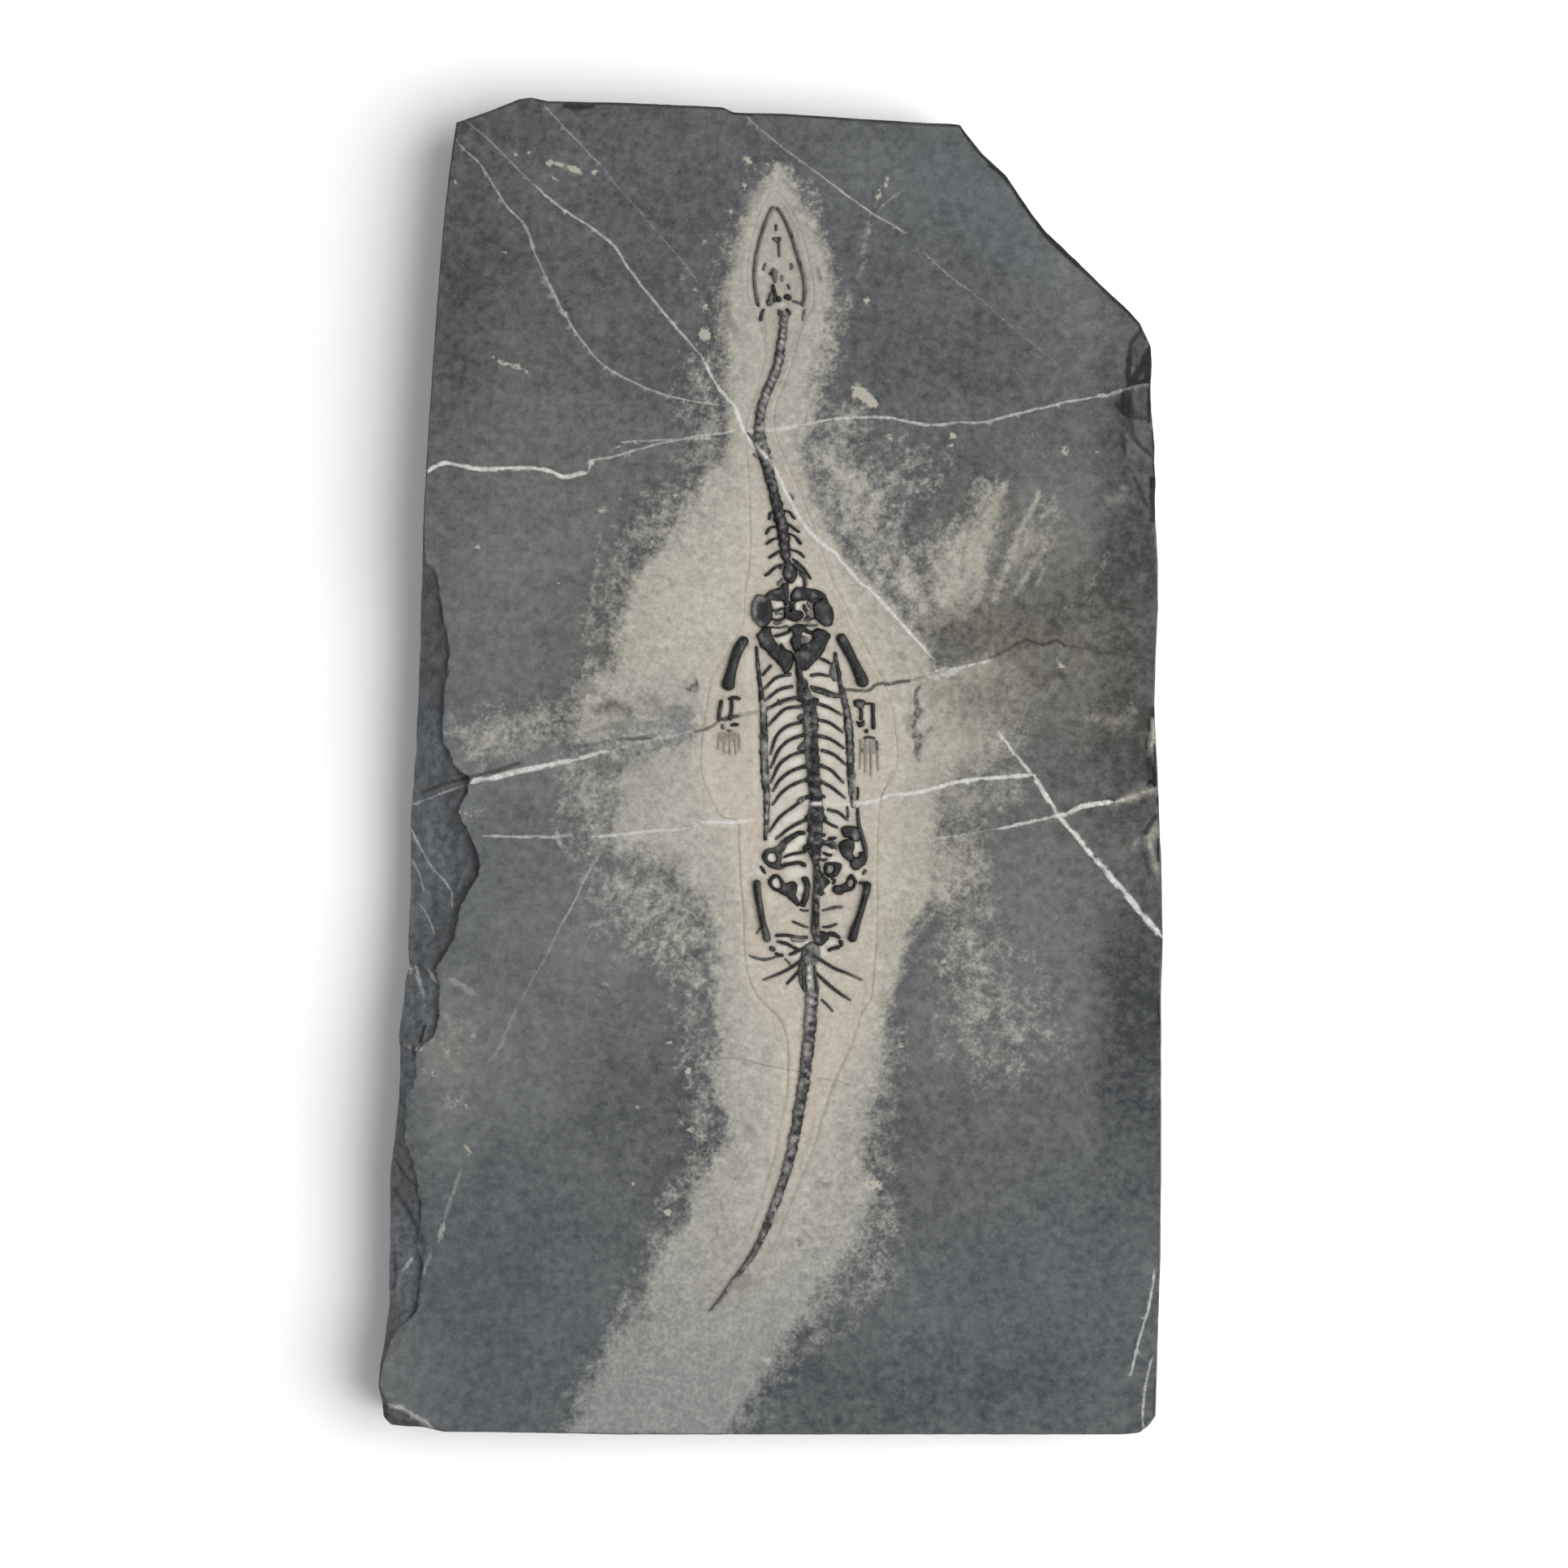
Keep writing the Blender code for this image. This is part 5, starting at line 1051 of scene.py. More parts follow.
def stone_material():
    g = Graph("limestone_weathered")
    halo, inner, bright, vein, crack = (g.attribute(k) for k in ("halo", "inner", "bright", "vein", "crack"))
    scar, wall, smudge, fleck, tone = (g.attribute(k) for k in ("scar", "wall", "smudge", "fleck", "tone"))
    brown, blue, residue_and_shade, faint = (g.attribute(k) for k in ("brown", "blue", "residue_and_shade", "faint"))
    rim_shadow, worn, dull, dull_inner = (g.attribute(k) for k in ("rim_shadow", "worn", "dull", "dull_inner"))
    deep = g.attribute("deep")
    leaning = g.stretch(0.34, 1.0, 1.0, 62)
    broad = g.noise(70, 3, 0.6)
    mottle = g.noise(17, 3, 0.6)
    clump = g.noise(8.5, 3, 0.65)
    grain = g.noise(4.6, 2, 0.6)
    cloud = g.noise(14.0, 4, 0.68)
    rough_grain = g.noise(5.2, 3, 0.68)
    fine = g.noise(2.2, 2, 0.6)
    streaks = g.noise(9.0, 3, 0.6, 0.0, leaning)
    speck = g.cells(8.0)

    # dark stone
    rich = g.math("ADD", 1.0, g.math("MULTIPLY", brown, 0.5))
    level = g.range(mottle, 0.3, 0.7, -0.075, 0.08, "LINEAR")
    level = g.math("ADD", level, g.range(clump, 0.3, 0.7, -0.079, 0.084, "LINEAR"))
    level = g.math("ADD", level, g.range(grain, 0.3, 0.7, -0.042, 0.048, "LINEAR"))
    level = g.math("ADD", level, g.range(fine, 0.3, 0.7, -0.008, 0.010, "LINEAR"))
    level = g.math("MULTIPLY", level, rich)
    level = g.math("ADD", level, g.range(broad, 0.3, 0.7, -0.045, 0.045, "LINEAR"))
    level = g.math("ADD", level, g.math("MULTIPLY", tone, 1.15))
    level = g.math("ADD", level, 0.085, clamp=True)
    stone = g.mix(level, paint(52, 55, 58), paint(150, 152, 151))
    stone = g.mix(g.math("MULTIPLY", brown, 0.60), stone, g.mix(level, paint(80, 76, 65), paint(160, 154, 136)))
    stone = g.mix(g.math("MULTIPLY", blue, 0.34), stone, paint(86, 94, 105))
    # pin-head flecks of calcite all over it
    pin = g.math("MULTIPLY", g.range(speck, 0.20, 0.10), g.range(g.noise(31, 1), 0.46, 0.60))
    stone = g.mix(g.math("MULTIPLY", pin, 0.10), stone, paint(165, 165, 158))

    # pale matrix: it thins out grain by grain and in leaning streaks
    loose = g.math("SUBTRACT", 1.10, g.math("MULTIPLY", halo, 0.55))
    loose = g.math("MULTIPLY", loose, g.math("SUBTRACT", 1.0, g.math("MULTIPLY", brown, 0.55)))
    ragged = g.range(mottle, 0.3, 0.7, -0.11, 0.11, "LINEAR")
    ragged = g.math("ADD", ragged, g.range(clump, 0.3, 0.7, -0.17, 0.17, "LINEAR"))
    ragged = g.math("ADD", ragged, g.range(grain, 0.3, 0.7, -0.16, 0.16, "LINEAR"))
    ragged = g.math("ADD", ragged, g.range(streaks, 0.3, 0.7, -0.14, 0.14, "LINEAR"))
    ragged = g.math("ADD", ragged, g.range(g.noise(36, 2), 0.3, 0.7, -0.13, 0.13, "LINEAR"))
    ragged = g.math("MULTIPLY", ragged, loose)
    ragged = g.math("MULTIPLY", ragged, g.range(halo, 0.0, 0.14))
    cover = g.range(g.math("ADD", halo, ragged), 0.10, 0.92)
    even = g.math("ADD", g.math("MULTIPLY", cloud, 0.5), g.math("MULTIPLY", clump, 0.5))
    even = g.range(g.math("ADD", even, g.math("MULTIPLY", g.math("SUBTRACT", rough_grain, 0.5), 0.55)),
                   0.30, 0.70, 0.0, 1.0, "LINEAR")
    cream = g.mix(even, paint(162, 158, 146), paint(208, 203, 188))
    cream = g.mix(deep, g.mix(even, paint(146, 143, 132), paint(196, 192, 178)), cream)
    cream = g.mix(dull, cream, g.mix(even, paint(122, 123, 120), paint(158, 158, 153)))
    bluish = g.math("MULTIPLY", blue, g.range(rough_grain, 0.62, 0.36))
    cream = g.mix(g.math("MULTIPLY", bluish, 0.85), cream, paint(118, 125, 130))
    cream = g.mix(g.math("MULTIPLY", brown, 0.6), cream, paint(146, 141, 123))
    colour = g.mix(cover, stone, cream)
    tan = g.mix(even, paint(168, 160, 146), paint(204, 198, 183))
    tan = g.mix(g.math("MULTIPLY", g.range(g.noise(26, 2), 0.46, 0.62), 0.40), tan, paint(192, 174, 161))
    tan = g.mix(dull_inner, tan, g.mix(even, paint(130, 129, 123), paint(154, 152, 146)))
    colour = g.mix(g.math("MULTIPLY", inner, 0.85), colour, tan)
    colour = g.mix(g.math("MULTIPLY", bright, 0.85), colour, paint(222, 219, 208))
    soft = g.math("MULTIPLY", smudge, g.range(clump, 0.34, 0.60, 0.30, 1.20))
    colour = g.mix(g.math("MINIMUM", soft, 1.0), colour, paint(92, 92, 86))
    scribed = g.mix(g.range(dull, 0.22, 0.5), paint(112, 98, 80), paint(112, 112, 97))
    colour = g.mix(g.math("MULTIPLY", faint, 0.52), colour, scribed)

    # broken faces
    chip = g.mix(g.range(g.noise(14, 4, 0.6, vector=g.stretch(1, 1, 2.5)), 0.32, 0.68),
                 paint(64, 66, 68), paint(98, 100, 101))
    chip = g.mix(g.math("MULTIPLY", brown, 0.6), chip, paint(84, 80, 72))
    chip = g.mix(g.math("MULTIPLY", blue, 0.60), chip, g.mix(g.range(clump, 0.34, 0.64), paint(88, 93, 99),
                                                            paint(132, 137, 145)))
    chip = g.mix(g.math("MULTIPLY", g.range(fine, 0.5, 0.75), 0.35), chip, paint(122, 125, 127))
    colour = g.mix(g.math("MULTIPLY", scar, 0.95), colour, chip)
    beds = g.noise(6, 3, 0.6, vector=g.stretch(0.16, 0.16, 1.6))
    side = g.mix(g.range(beds, 0.34, 0.66), paint(70, 72, 74), paint(116, 116, 112))
    side = g.mix(g.math("MULTIPLY", g.range(grain, 0.5, 0.75), 0.35), side, paint(146, 145, 138))
    colour = g.mix(wall, colour, side)
    colour = g.mix(g.math("MULTIPLY", worn, g.range(clump, 0.3, 0.6, 0.5, 1.0)), colour,
                   g.mix(even, paint(134, 130, 117), paint(176, 171, 158)))
    # painted shadow, nearly black, along the edges and in the hollows of the broken rim
    colour = g.mix(g.math("MULTIPLY", rim_shadow, 0.94), colour, paint(8, 8, 9))

    # flecks, veins, cracks, and the brown residue with painted contact shade beside the bones
    spot = g.range(g.math("ADD", fleck, g.range(grain, 0.3, 0.7, -0.26, 0.26, "LINEAR")), 0.26, 0.66)
    colour = g.mix(g.math("MULTIPLY", spot, 0.85), colour, paint(184, 180, 165))
    thin = g.math("ADD", vein, g.math("MULTIPLY", g.range(grain, 0.3, 0.7, -0.34, 0.26, "LINEAR"), vein))
    thin = g.math("MINIMUM", thin, 1.0)
    colour = g.mix(g.range(thin, 0.05, 0.95, 0.0, 1.0, "LINEAR"), colour, paint(216, 216, 211))
    colour = g.mix(g.math("MULTIPLY", crack, 0.9, clamp=True), colour, paint(58, 54, 46))
    # brown residue beside the bones, partly painted contact shade
    beside = g.math("MULTIPLY", residue_and_shade, g.range(grain, 0.3, 0.65, 0.55, 1.0))
    colour = g.mix(beside, colour, paint(92, 86, 74))
    g.link(colour, g.shader.inputs["Base Color"])

    rough = g.range(grain, 0.3, 0.7, 0.66, 0.86, "LINEAR")
    g.link(rough, g.shader.inputs["Roughness"])
    g.shader.inputs["Specular IOR Level"].default_value = 0.22
    relief = g.math("ADD", g.math("MULTIPLY", grain, 0.75), g.math("MULTIPLY", fine, 0.2))
    first_bump = g.bump(relief, 0.4, 0.00006)
    broken = g.math("MULTIPLY", g.noise(10, 5, 0.65), g.math("MAXIMUM", scar, wall))
    g.link(g.bump(broken, 0.8, 0.0005, first_bump), g.shader.inputs["Normal"])
    return g.material


def bone_material():
    g = Graph("black_bone_polished")
    crown, lit, warm = g.attribute("crown"), g.attribute("lit"), g.attribute("warm")
    mottle = g.noise(7, 4, 0.65)
    grain = g.noise(3.2, 2, 0.6)
    fibres = g.noise(4.0, 4, 0.6, vector=g.stretch(0.35, 1.0, 1.0, 78))
    rim = g.mix(g.range(mottle, 0.35, 0.65), paint(30, 28, 24), paint(50, 46, 39))
    body = g.mix(g.range(fibres, 0.35, 0.65), paint(27, 28, 30), paint(45, 46, 48))
    body = g.mix(g.math("MULTIPLY", g.range(grain, 0.52, 0.72), 0.55), body, paint(86, 87, 88))
    body = g.mix(g.math("MULTIPLY", g.range(mottle, 0.44, 0.30), 0.7), body, paint(22, 22, 23))
    colour = g.mix(g.range(crown, 0.30, 0.85), rim, body)
    glow = g.math("ADD", lit, g.math("MULTIPLY", g.range(mottle, 0.3, 0.7, -0.4, 0.4, "LINEAR"), lit))
    glow = g.math("ADD", glow, g.math("MULTIPLY", g.range(grain, 0.3, 0.7, -0.3, 0.3, "LINEAR"), lit))
    colour = g.mix(g.math("MULTIPLY", glow, 1.0, clamp=True), colour,
                   g.mix(warm, paint(152, 150, 145), paint(146, 138, 125)))
    colour = g.mix(g.range(lit, 1.05, 1.5), colour, paint(206, 205, 199))
    low = g.math("MULTIPLY", lit, -1.4, clamp=True)
    colour = g.mix(low, colour, paint(12, 12, 12))
    g.link(colour, g.shader.inputs["Base Color"])
    g.link(g.range(grain, 0.3, 0.7, 0.46, 0.66, "LINEAR"), g.shader.inputs["Roughness"])
    g.shader.inputs["Specular IOR Level"].default_value = 0.25
    first_bump = g.bump(grain, 0.5, 0.00009)
    g.link(g.bump(fibres, 0.5, 0.00012, first_bump), g.shader.inputs["Normal"])
    return g.material


STONE, BONE = stone_material(), bone_material()

# --------------------------------------------------------------------- skull
bone("mandible_left_fossil", [tube([
    (954.5, 255, 3.4), (951.5, 257, 4.0), (946, 268, 3.8), (940, 284, 3.9), (935, 301, 3.8), (931, 322, 3.8),
    (929.5, 342, 3.8), (931, 358, 3.9), (935, 378, 4.4)], 0.0006, light=0.32,
    spots=[(947, 266, 3, 4, 0.10), (931, 318, 2.5, 5, 0.10), (934, 374, 2, 4, -0.3), (941, 285, 2, 8, -0.15)],
    lumps=0.26)], "mandible_left")
bone("mandible_right_fossil", [tube([
    (956, 255.5, 3.2), (960, 259, 4.0), (966, 269, 4.0), (973.5, 285, 4.4), (979.5, 304, 4.0), (985, 322, 4.3),
    (990, 340, 4.0), (992, 360, 4.2), (989.5, 378, 4.2)], 0.0006, light=0.32,
    spots=[(976, 290, 2.4, 4, -0.3), (987, 325, 2.4, 4, -0.3), (991, 350, 2, 6, 0.15), (969, 275, 2, 4, -0.15)],
    lumps=0.26)], "mandible_right")
bone("palate_fossil", [
    plate([(951, 293.5), (956, 292.5), (962.5, 292), (962, 297), (960.5, 302), (957.5, 300.5), (954, 297.5)], 0.0005,
          rim=1.8, light=0.25, spots=[(960, 296, 2, 2, -0.3)]),
    tube([(959.5, 300, 3.4), (960, 307, 3.0), (960.5, 317, 2.8)], 0.0004, light=0.22)], "palate")
bone("braincase_fossil", [
    tube([(953, 330, 5), (954, 336, 7), (955, 344, 4.5), (955, 349, 3)], 0.0006, light=0.30, lumps=0.25),
    tube([(949, 335, 4), (951, 339, 4.6)], 0.0006, light=-0.1),
    tube([(952.5, 350, 3.6), (953, 356, 5), (954.5, 364, 6), (954, 373, 5)], 0.0008, light=-0.1),
    plate([(949, 360), (953, 359), (955, 366), (954, 374), (948, 377), (944, 375), (946, 368)], 0.0007,
          rim=2.4, light=0.30),
    tube([(955, 366, 5), (959, 368.5, 7.5), (963, 370, 5)], 0.0007, light=-0.25)], "braincase")
SMALL = [
    ("vomer", [(956, 276, 2.6), (956.5, 280, 3.4), (956, 285, 2.4)], 0.00035, 0.1),
    ("nasal_fragment_1", [(943.5, 324, 2.4), (941.5, 329, 3), (940.5, 334, 2.4)], 0.0003, 0.25),
    ("nasal_fragment_2", [(974, 324, 3), (976, 328, 3.6), (974, 332, 3)], 0.0003, 0.3),
    ("palatine_fragment_1", [(963, 339, 3.4), (964, 343, 4.4), (963, 347, 3.2)], 0.0003, 0.45),
    ("palatine_fragment_2", [(969.5, 350, 3), (972, 353.5, 3.6), (973, 357, 2.4)], 0.00035, 0.1),
    ("pterygoid_right", [(966, 368, 4), (970, 366, 7.6), (975, 369, 5)], 0.0006, -0.2),
    ("squamosal_right", [(976, 371, 2.6), (981, 372, 3), (986, 374, 3.4), (990, 377, 3)], 0.0004, 0.25),
    ("squamosal_left", [(943, 372, 2.4), (947, 369, 2.6)], 0.0003, 0.3),
    ("quadrate_left", [(941.5, 380, 2.6), (939.5, 385, 4), (938, 390, 5.8), (937.5, 396, 4.4)], 0.0005, 0.05),
    ("atlas_left", [(960, 381, 3), (960.5, 385, 4.4), (960, 389, 3)], 0.0006, 0.1),
    ("atlas_right", [(969, 380, 3), (972, 385, 5.6), (972, 389, 4)], 0.0006, -0.1),
    ("neck_rib_left_1", [(954, 630.5, 3), (949.5, 632, 3), (948.5, 637, 4.4), (947, 641, 3)], 0.0005, -0.1),
    ("neck_rib_left_2", [(957, 649, 3), (950, 650, 3), (947, 653, 4.4), (943.5, 659, 3)], 0.0005, -0.1),
    ("neck_rib_left_3", [(960, 663, 3), (954, 664, 3), (949, 667, 4.4), (943.5, 671, 3)], 0.0005, -0.05),
    ("neck_rib_left_4", [(963.5, 678, 3), (960.5, 679, 3), (955, 683, 4), (950, 686, 4.4), (947, 688, 3)], 0.0005, 0.0),
    ("neck_rib_left_5", [(963, 695.5, 3), (959, 697, 3), (953, 701, 4), (948, 706, 4.2), (942, 710, 3)], 0.0005, 0.0),
    ("neck_rib_right_1", [(966, 629, 3), (973, 631, 3), (976.5, 636, 3.8), (980.5, 640, 3)], 0.0005, -0.05),
    ("neck_rib_right_2", [(966, 643, 3), (969, 644, 3), (976, 649, 3.6), (981, 653, 4), (986, 656, 3)], 0.0005, 0.0),
    ("neck_rib_right_3", [(971.5, 657, 3), (979.5, 661, 3), (983.5, 666, 4.8), (988, 671, 3.4)], 0.0005, -0.15),
    ("neck_rib_right_4", [(972, 677, 3), (977, 678, 3), (985, 681, 4), (992, 687.5, 3)], 0.0005, 0.0),
    ("neck_rib_right_5", [(976, 688, 3), (981, 692, 4), (989, 699, 4), (995, 707, 3.8), (999.5, 714, 2.6)], 0.0005, 0.0),
    ("neck_fragment", [(973, 608, 2.4), (976.5, 611, 3.4), (978, 616, 2.6)], 0.0003, 0.62),
    ("quadrate_right", [(992.5, 380, 3.4), (990.5, 388, 4.4), (989, 396, 3)], 0.0003, 0.45),
    ("neck_blob_1", [(921, 533, 3), (926, 538, 4), (931, 543, 4)], 0.0005, 0.3),
    ("neck_blob_2", [(944, 552, 4), (947, 555, 5), (949, 559, 3)], 0.0006, 0.1),
    ("neck_blob_3", [(928, 559, 3), (932, 562, 4.0), (937, 565, 3)], 0.0004, 0.3),
    ("collar_process_right", [(986, 702, 3), (991, 709, 4), (992, 718, 4), (991, 727, 4)], 0.0005, 0.0),
    ("sternal_bar_7", [(993, 759, 2.6), (996, 762, 4.4), (998, 765, 2.4)], 0.0004, 0.0),
    ("rib_left_00", [(951, 819, 3), (946, 825, 4), (939, 833, 3)], 0.0005, 0.0),
    ("rib_right_00", [(1010, 811, 3), (1017, 814, 4.2), (1024, 818, 3)], 0.0005, -0.1),
    ("rib_right_10", [(1015, 1011, 3.2), (1024, 1016, 3.8), (1033, 1020, 3)], 0.0005, 0.0),
    ("rib_fragment_left_1", [(958, 862, 3), (962, 866, 4), (961, 869, 2.6)], 0.0004, 0.15),
    ("rib_fragment_left_2", [(983, 886, 4), (986, 884, 6), (990, 880, 4)], 0.0006, 0.2),
    ("rib_fragment_left_3", [(983, 924, 5), (989, 918, 6), (992, 913, 4)], 0.0006, 0.2),
    ("rib_fragment_left_4", [(983, 990, 7), (988, 985, 6), (993, 983, 5)], 0.0006, 0.3),
    ("carpal_left_1", [(890, 892, 3), (891, 897, 4), (890, 899, 3)], 0.0004, 0.25),
    ("carpal_left_2", [(900, 894, 3.4), (905, 893, 4.6), (911, 893, 3.4)], 0.0005, 0.0),
    ("carpal_left_3", [(896, 899, 3), (899, 901, 4), (902, 900, 3)], 0.0004, 0.35),
    ("ulna_left_foot", [(889, 886, 2.6), (894, 887, 3), (903, 884, 3.4), (912, 882, 3)], 0.0004, 0.2),
    ("ulna_right_cap", [(1060, 866.5, 3), (1069, 867, 3), (1077, 867, 3.6)], 0.0005, 0.0),
    ("ulna_right_knob", [(1066, 899, 4), (1068, 901, 6), (1070, 902, 4)], 0.0005, 0.0),
    ("carpal_right_1", [(1064, 910, 3), (1070, 908.5, 4), (1079, 910, 3.4)], 0.0004, 0.15),
    ("carpal_right_2", [(1080, 912, 2.6), (1081, 919, 3), (1081, 926, 3)], 0.0003, 0.3),
    ("carpal_right_3", [(1061, 922, 3), (1063, 925, 4.6), (1064, 927, 3)], 0.0003, 0.4),
    ("strand_right_1", [(1057, 969, 3), (1057.5, 977, 3), (1056.5, 986, 3.4)], 0.0005, -0.05),
    ("strand_right_2", [(1044, 993, 3), (1045, 1001, 3), (1045, 1008, 3.4)], 0.0004, 0.1),
    ("strand_right_3", [(1057, 995, 3.6), (1057.5, 1008, 4.4), (1059, 1020, 5.4), (1063, 1034, 6.4),
                        (1066, 1046, 6), (1067, 1057, 5)], 0.0006, 0.05),
    ("pelvic_bar_9", [(1013, 1035, 3), (1018, 1038, 5), (1024, 1037, 5), (1029, 1041, 6), (1031, 1047, 4)], 0.0006, 0.25),
    ("pelvic_bar_10", [(1010, 1058, 3.4), (1015, 1060, 4), (1020, 1058, 3)], 0.0005, 0.1),
    ("pelvic_bar_11", [(1007, 1070, 4), (1011, 1075, 4), (1016, 1079, 4)], 0.0006, 0.0),
    ("pelvic_bar_12", [(1024, 1082, 3.6), (1029, 1085, 4), (1026, 1090, 4)], 0.0006, 0.05),
    ("pelvic_bar_1", [(1020, 1033, 3), (1026, 1033, 4.2), (1031, 1032, 3)], 0.0006, -0.2),
    ("pelvic_bar_2", [(1008, 1042, 4), (1016, 1040, 4), (1023, 1042, 4), (1027, 1046, 3)], 0.0006, -0.1),
    ("pelvic_bar_3", [(1014, 1050, 3.4), (1019, 1053, 4.4), (1026, 1054, 3)], 0.0006, -0.15),
    ("pelvic_bar_4", [(965, 1057, 3), (974, 1053, 3.8), (985, 1051, 4), (994, 1049, 6)], 0.0006, -0.05),
    ("pelvic_bar_5", [(990, 1047, 4), (993, 1044, 6), (998, 1041, 6)], 0.0009, -0.3),
    ("pelvic_bar_6", [(995, 1021, 4), (998, 1024, 6), (1006, 1028, 6), (1018, 1029, 5)], 0.0007, -0.1),
    ("pelvic_bar_7", [(994, 1004, 5), (995, 1009, 6), (998, 1013, 5)], 0.0006, 0.0),
    ("pelvic_bar_8", [(1011, 1004, 6), (1016, 1008, 6), (1018, 1012, 4)], 0.0007, 0.0),
    ("pelvic_speck_left", [(937, 1067, 3), (940.5, 1072, 4.6), (943.5, 1077, 3)], 0.0004, 0.0),
    ("pelvic_speck_right", [(1063, 1078, 3), (1066, 1074, 4.4), (1067, 1071, 3)], 0.0004, 0.15),
    ("sacral_rib_right_1", [(1013, 1122, 2.8), (1022, 1120, 3.4), (1030, 1118, 3.6), (1039, 1118, 2.8)], 0.0004, 0.2),
    ("sacral_rib_right_2", [(1013, 1142, 3), (1022, 1142, 3.8), (1032, 1138, 2.8)], 0.0004, 0.05),
    ("sacral_rib_left_1", [(976, 1135, 2.8), (983, 1138, 3.6), (990, 1141, 3.4), (996, 1143, 2.4)], 0.0004, 0.1),
    ("sacral_rib_left_2", [(985, 1120, 2.6), (990, 1122, 3), (997, 1122, 3)], 0.0004, 0.05),
    ("foot_left_1", [(948, 1168, 5), (952, 1169, 6.5), (955, 1172, 5)], 0.0006, 0.1),
    ("foot_left_2", [(955, 1174, 3.4), (960, 1177, 4.6), (966, 1177, 3.4)], 0.0005, -0.1),
    ("foot_left_3", [(972, 1177, 3), (979, 1174, 4.6), (985, 1171, 4), (992, 1168, 3.2), (999, 1163, 4)], 0.0005, 0.0),
    ("foot_left_4", [(923, 1177, 2.4), (930, 1180, 3), (940, 1182.5, 3.4), (950, 1181, 3.2), (960, 1178, 3)],
     0.0004, 0.25),
    ("foot_left_5", [(957, 1160, 3), (964, 1161, 3.4), (972, 1164, 4)], 0.0004, 0.05),
    ("foot_left_6", [(967, 1181, 2.6), (972, 1186, 3), (975, 1190, 2.4)], 0.0003, 0.3),
    ("foot_right_1", [(1034, 1158, 4), (1037, 1162, 5), (1037, 1167, 4)], 0.0005, -0.05),
    ("foot_right_2", [(1020, 1150, 3.4), (1027, 1150, 4.4), (1034, 1154, 3)], 0.0006, -0.1),
    ("femur_left_spur", [(939, 1141, 3), (935, 1146, 2.8), (932, 1151, 2.4)], 0.0003, 0.35),
    ("tail_root_left_1", [(999, 1172, 5), (993, 1177, 5), (987, 1183, 5)], 0.0007, 0.1),
    ("tail_root_right_1", [(1003, 1178, 4), (1008, 1181, 5), (1013, 1184, 4)], 0.0007, 0.0),
    ("tail_root_right_2", [(1004, 1190, 3), (1005, 1204, 3.4), (1007, 1216, 4.4), (1007, 1226, 4)], 0.0006, 0.1),
    ("caudal_rib_right_3", [(1012, 1231, 2.6), (1019, 1238, 3.4), (1027, 1247, 2.6)], 0.0004, 0.15),
    ("stray_bone", [(921, 1570, 2.4), (924, 1573, 3), (925, 1578, 2.4)], 0.0002, 0.72),
]
for name, points, height, light in SMALL:
    bone(name, [tube(points, height, light=light, lumps=0.18, gap=1.2, around=12)])

# ---------------------------------------------------------------------- neck
NECK = [
    (965, 383, 10), (966, 390, 11.5), (965, 402, 12.5), (962, 422, 12), (960, 438, 12.5), (957, 452, 12), (951, 468, 12.5),
    (945, 482, 12.5), (940, 496, 12.5), (936.5, 512, 13), (935.4, 530, 14), (937.4, 548, 17),
    (943.4, 568, 14.5), (949, 590, 14), (954, 610, 14.5), (959, 632, 15), (964, 655, 15.5),
    (967, 678, 14), (969, 692, 12)]
neck_spots = [
    (963, 413, 2.2, 3, 0.30), (962.5, 428, 2.4, 3.4, 0.35), (959, 441, 2, 3, 0.25), (956, 454, 2.2, 3, 0.30),
    (951, 466, 2, 3, 0.25), (952, 490, 2, 3, 0.30), (963, 615, 2.4, 4, -0.5), (957, 645, 2.4, 3.4, -0.5),
    (959, 596, 2, 8, -0.4), (968, 655, 3, 3, -0.2), (946, 582, 3, 5, 0.1), (964, 663, 4, 4, 0.22),
    (966, 646, 3, 4, 0.22), (971, 672, 2, 4, -0.5), (929, 548, 2.6, 2.2, 1.3), (933, 552, 2.6, 2.2, 1.3),
    (937, 556, 2.6, 2.2, 1.3), (941, 560, 2.6, 2.2, 1.3), (945, 563.5, 2.6, 2.2, 1.2), (949, 568, 2.4, 2.6, 1.0),
    (952, 573, 2.2, 2.8, 0.8), (928, 529, 4, 2.2, 0.5), (936, 528.5, 5, 2.0, 0.45), (944, 528, 3, 2.0, 0.5), (950, 480, 2, 2, -0.4), (944, 504, 2, 2, -0.4),
    (966, 430, 2, 3, -0.2), (958, 622, 3, 4, -0.3), (969, 684, 3, 3, 0.25)]
bone("neck_vertebrae_fossil", [
    column([(u + 0.5, v, w - 0.6) for u, v, w in NECK], lambda t: 7.0 + 4.0 * t, 0.0012,
           [(384, 0.60), (400, 0.50), (455, 0.52), (490, 0.66), (505, 0.62), (515, 0.54), (530, 0.56), (560, 0.40), (575, 0.26),
            (625, 0.10), (670, 0.06), (690, 0.14)], spots=neck_spots, mottle=0.50, ragged=0.26, joint=0.16,
           flank=-0.30, knob=0.16, dots=[(384, 0.5), (480, 0.5), (510, 0.32), (560, 0.30), (580, 0.12), (690, 0.12)],
           pits=0.5),
    plate([(967, 691), (973, 690), (977, 696), (983, 705), (981, 713), (976, 719), (969, 717), (964, 708),
           (966, 699)], 0.0009, rim=2.6, spots=[(971.6, 709, 2.4, 3, 0.55), (975, 700, 2.4, 3, 0.3),
                                                (979, 707, 2, 5, -0.3), (973, 714, 4, 2, -0.2)]),
    tube([(960, 701, 3.4), (965, 697, 4.6), (969, 694, 4.6)], 0.0007, light=0.1),
    tube([(976, 694, 4), (983, 700, 4.6), (989, 706, 4)], 0.0007, light=0.05)], "neck_vertebrae")

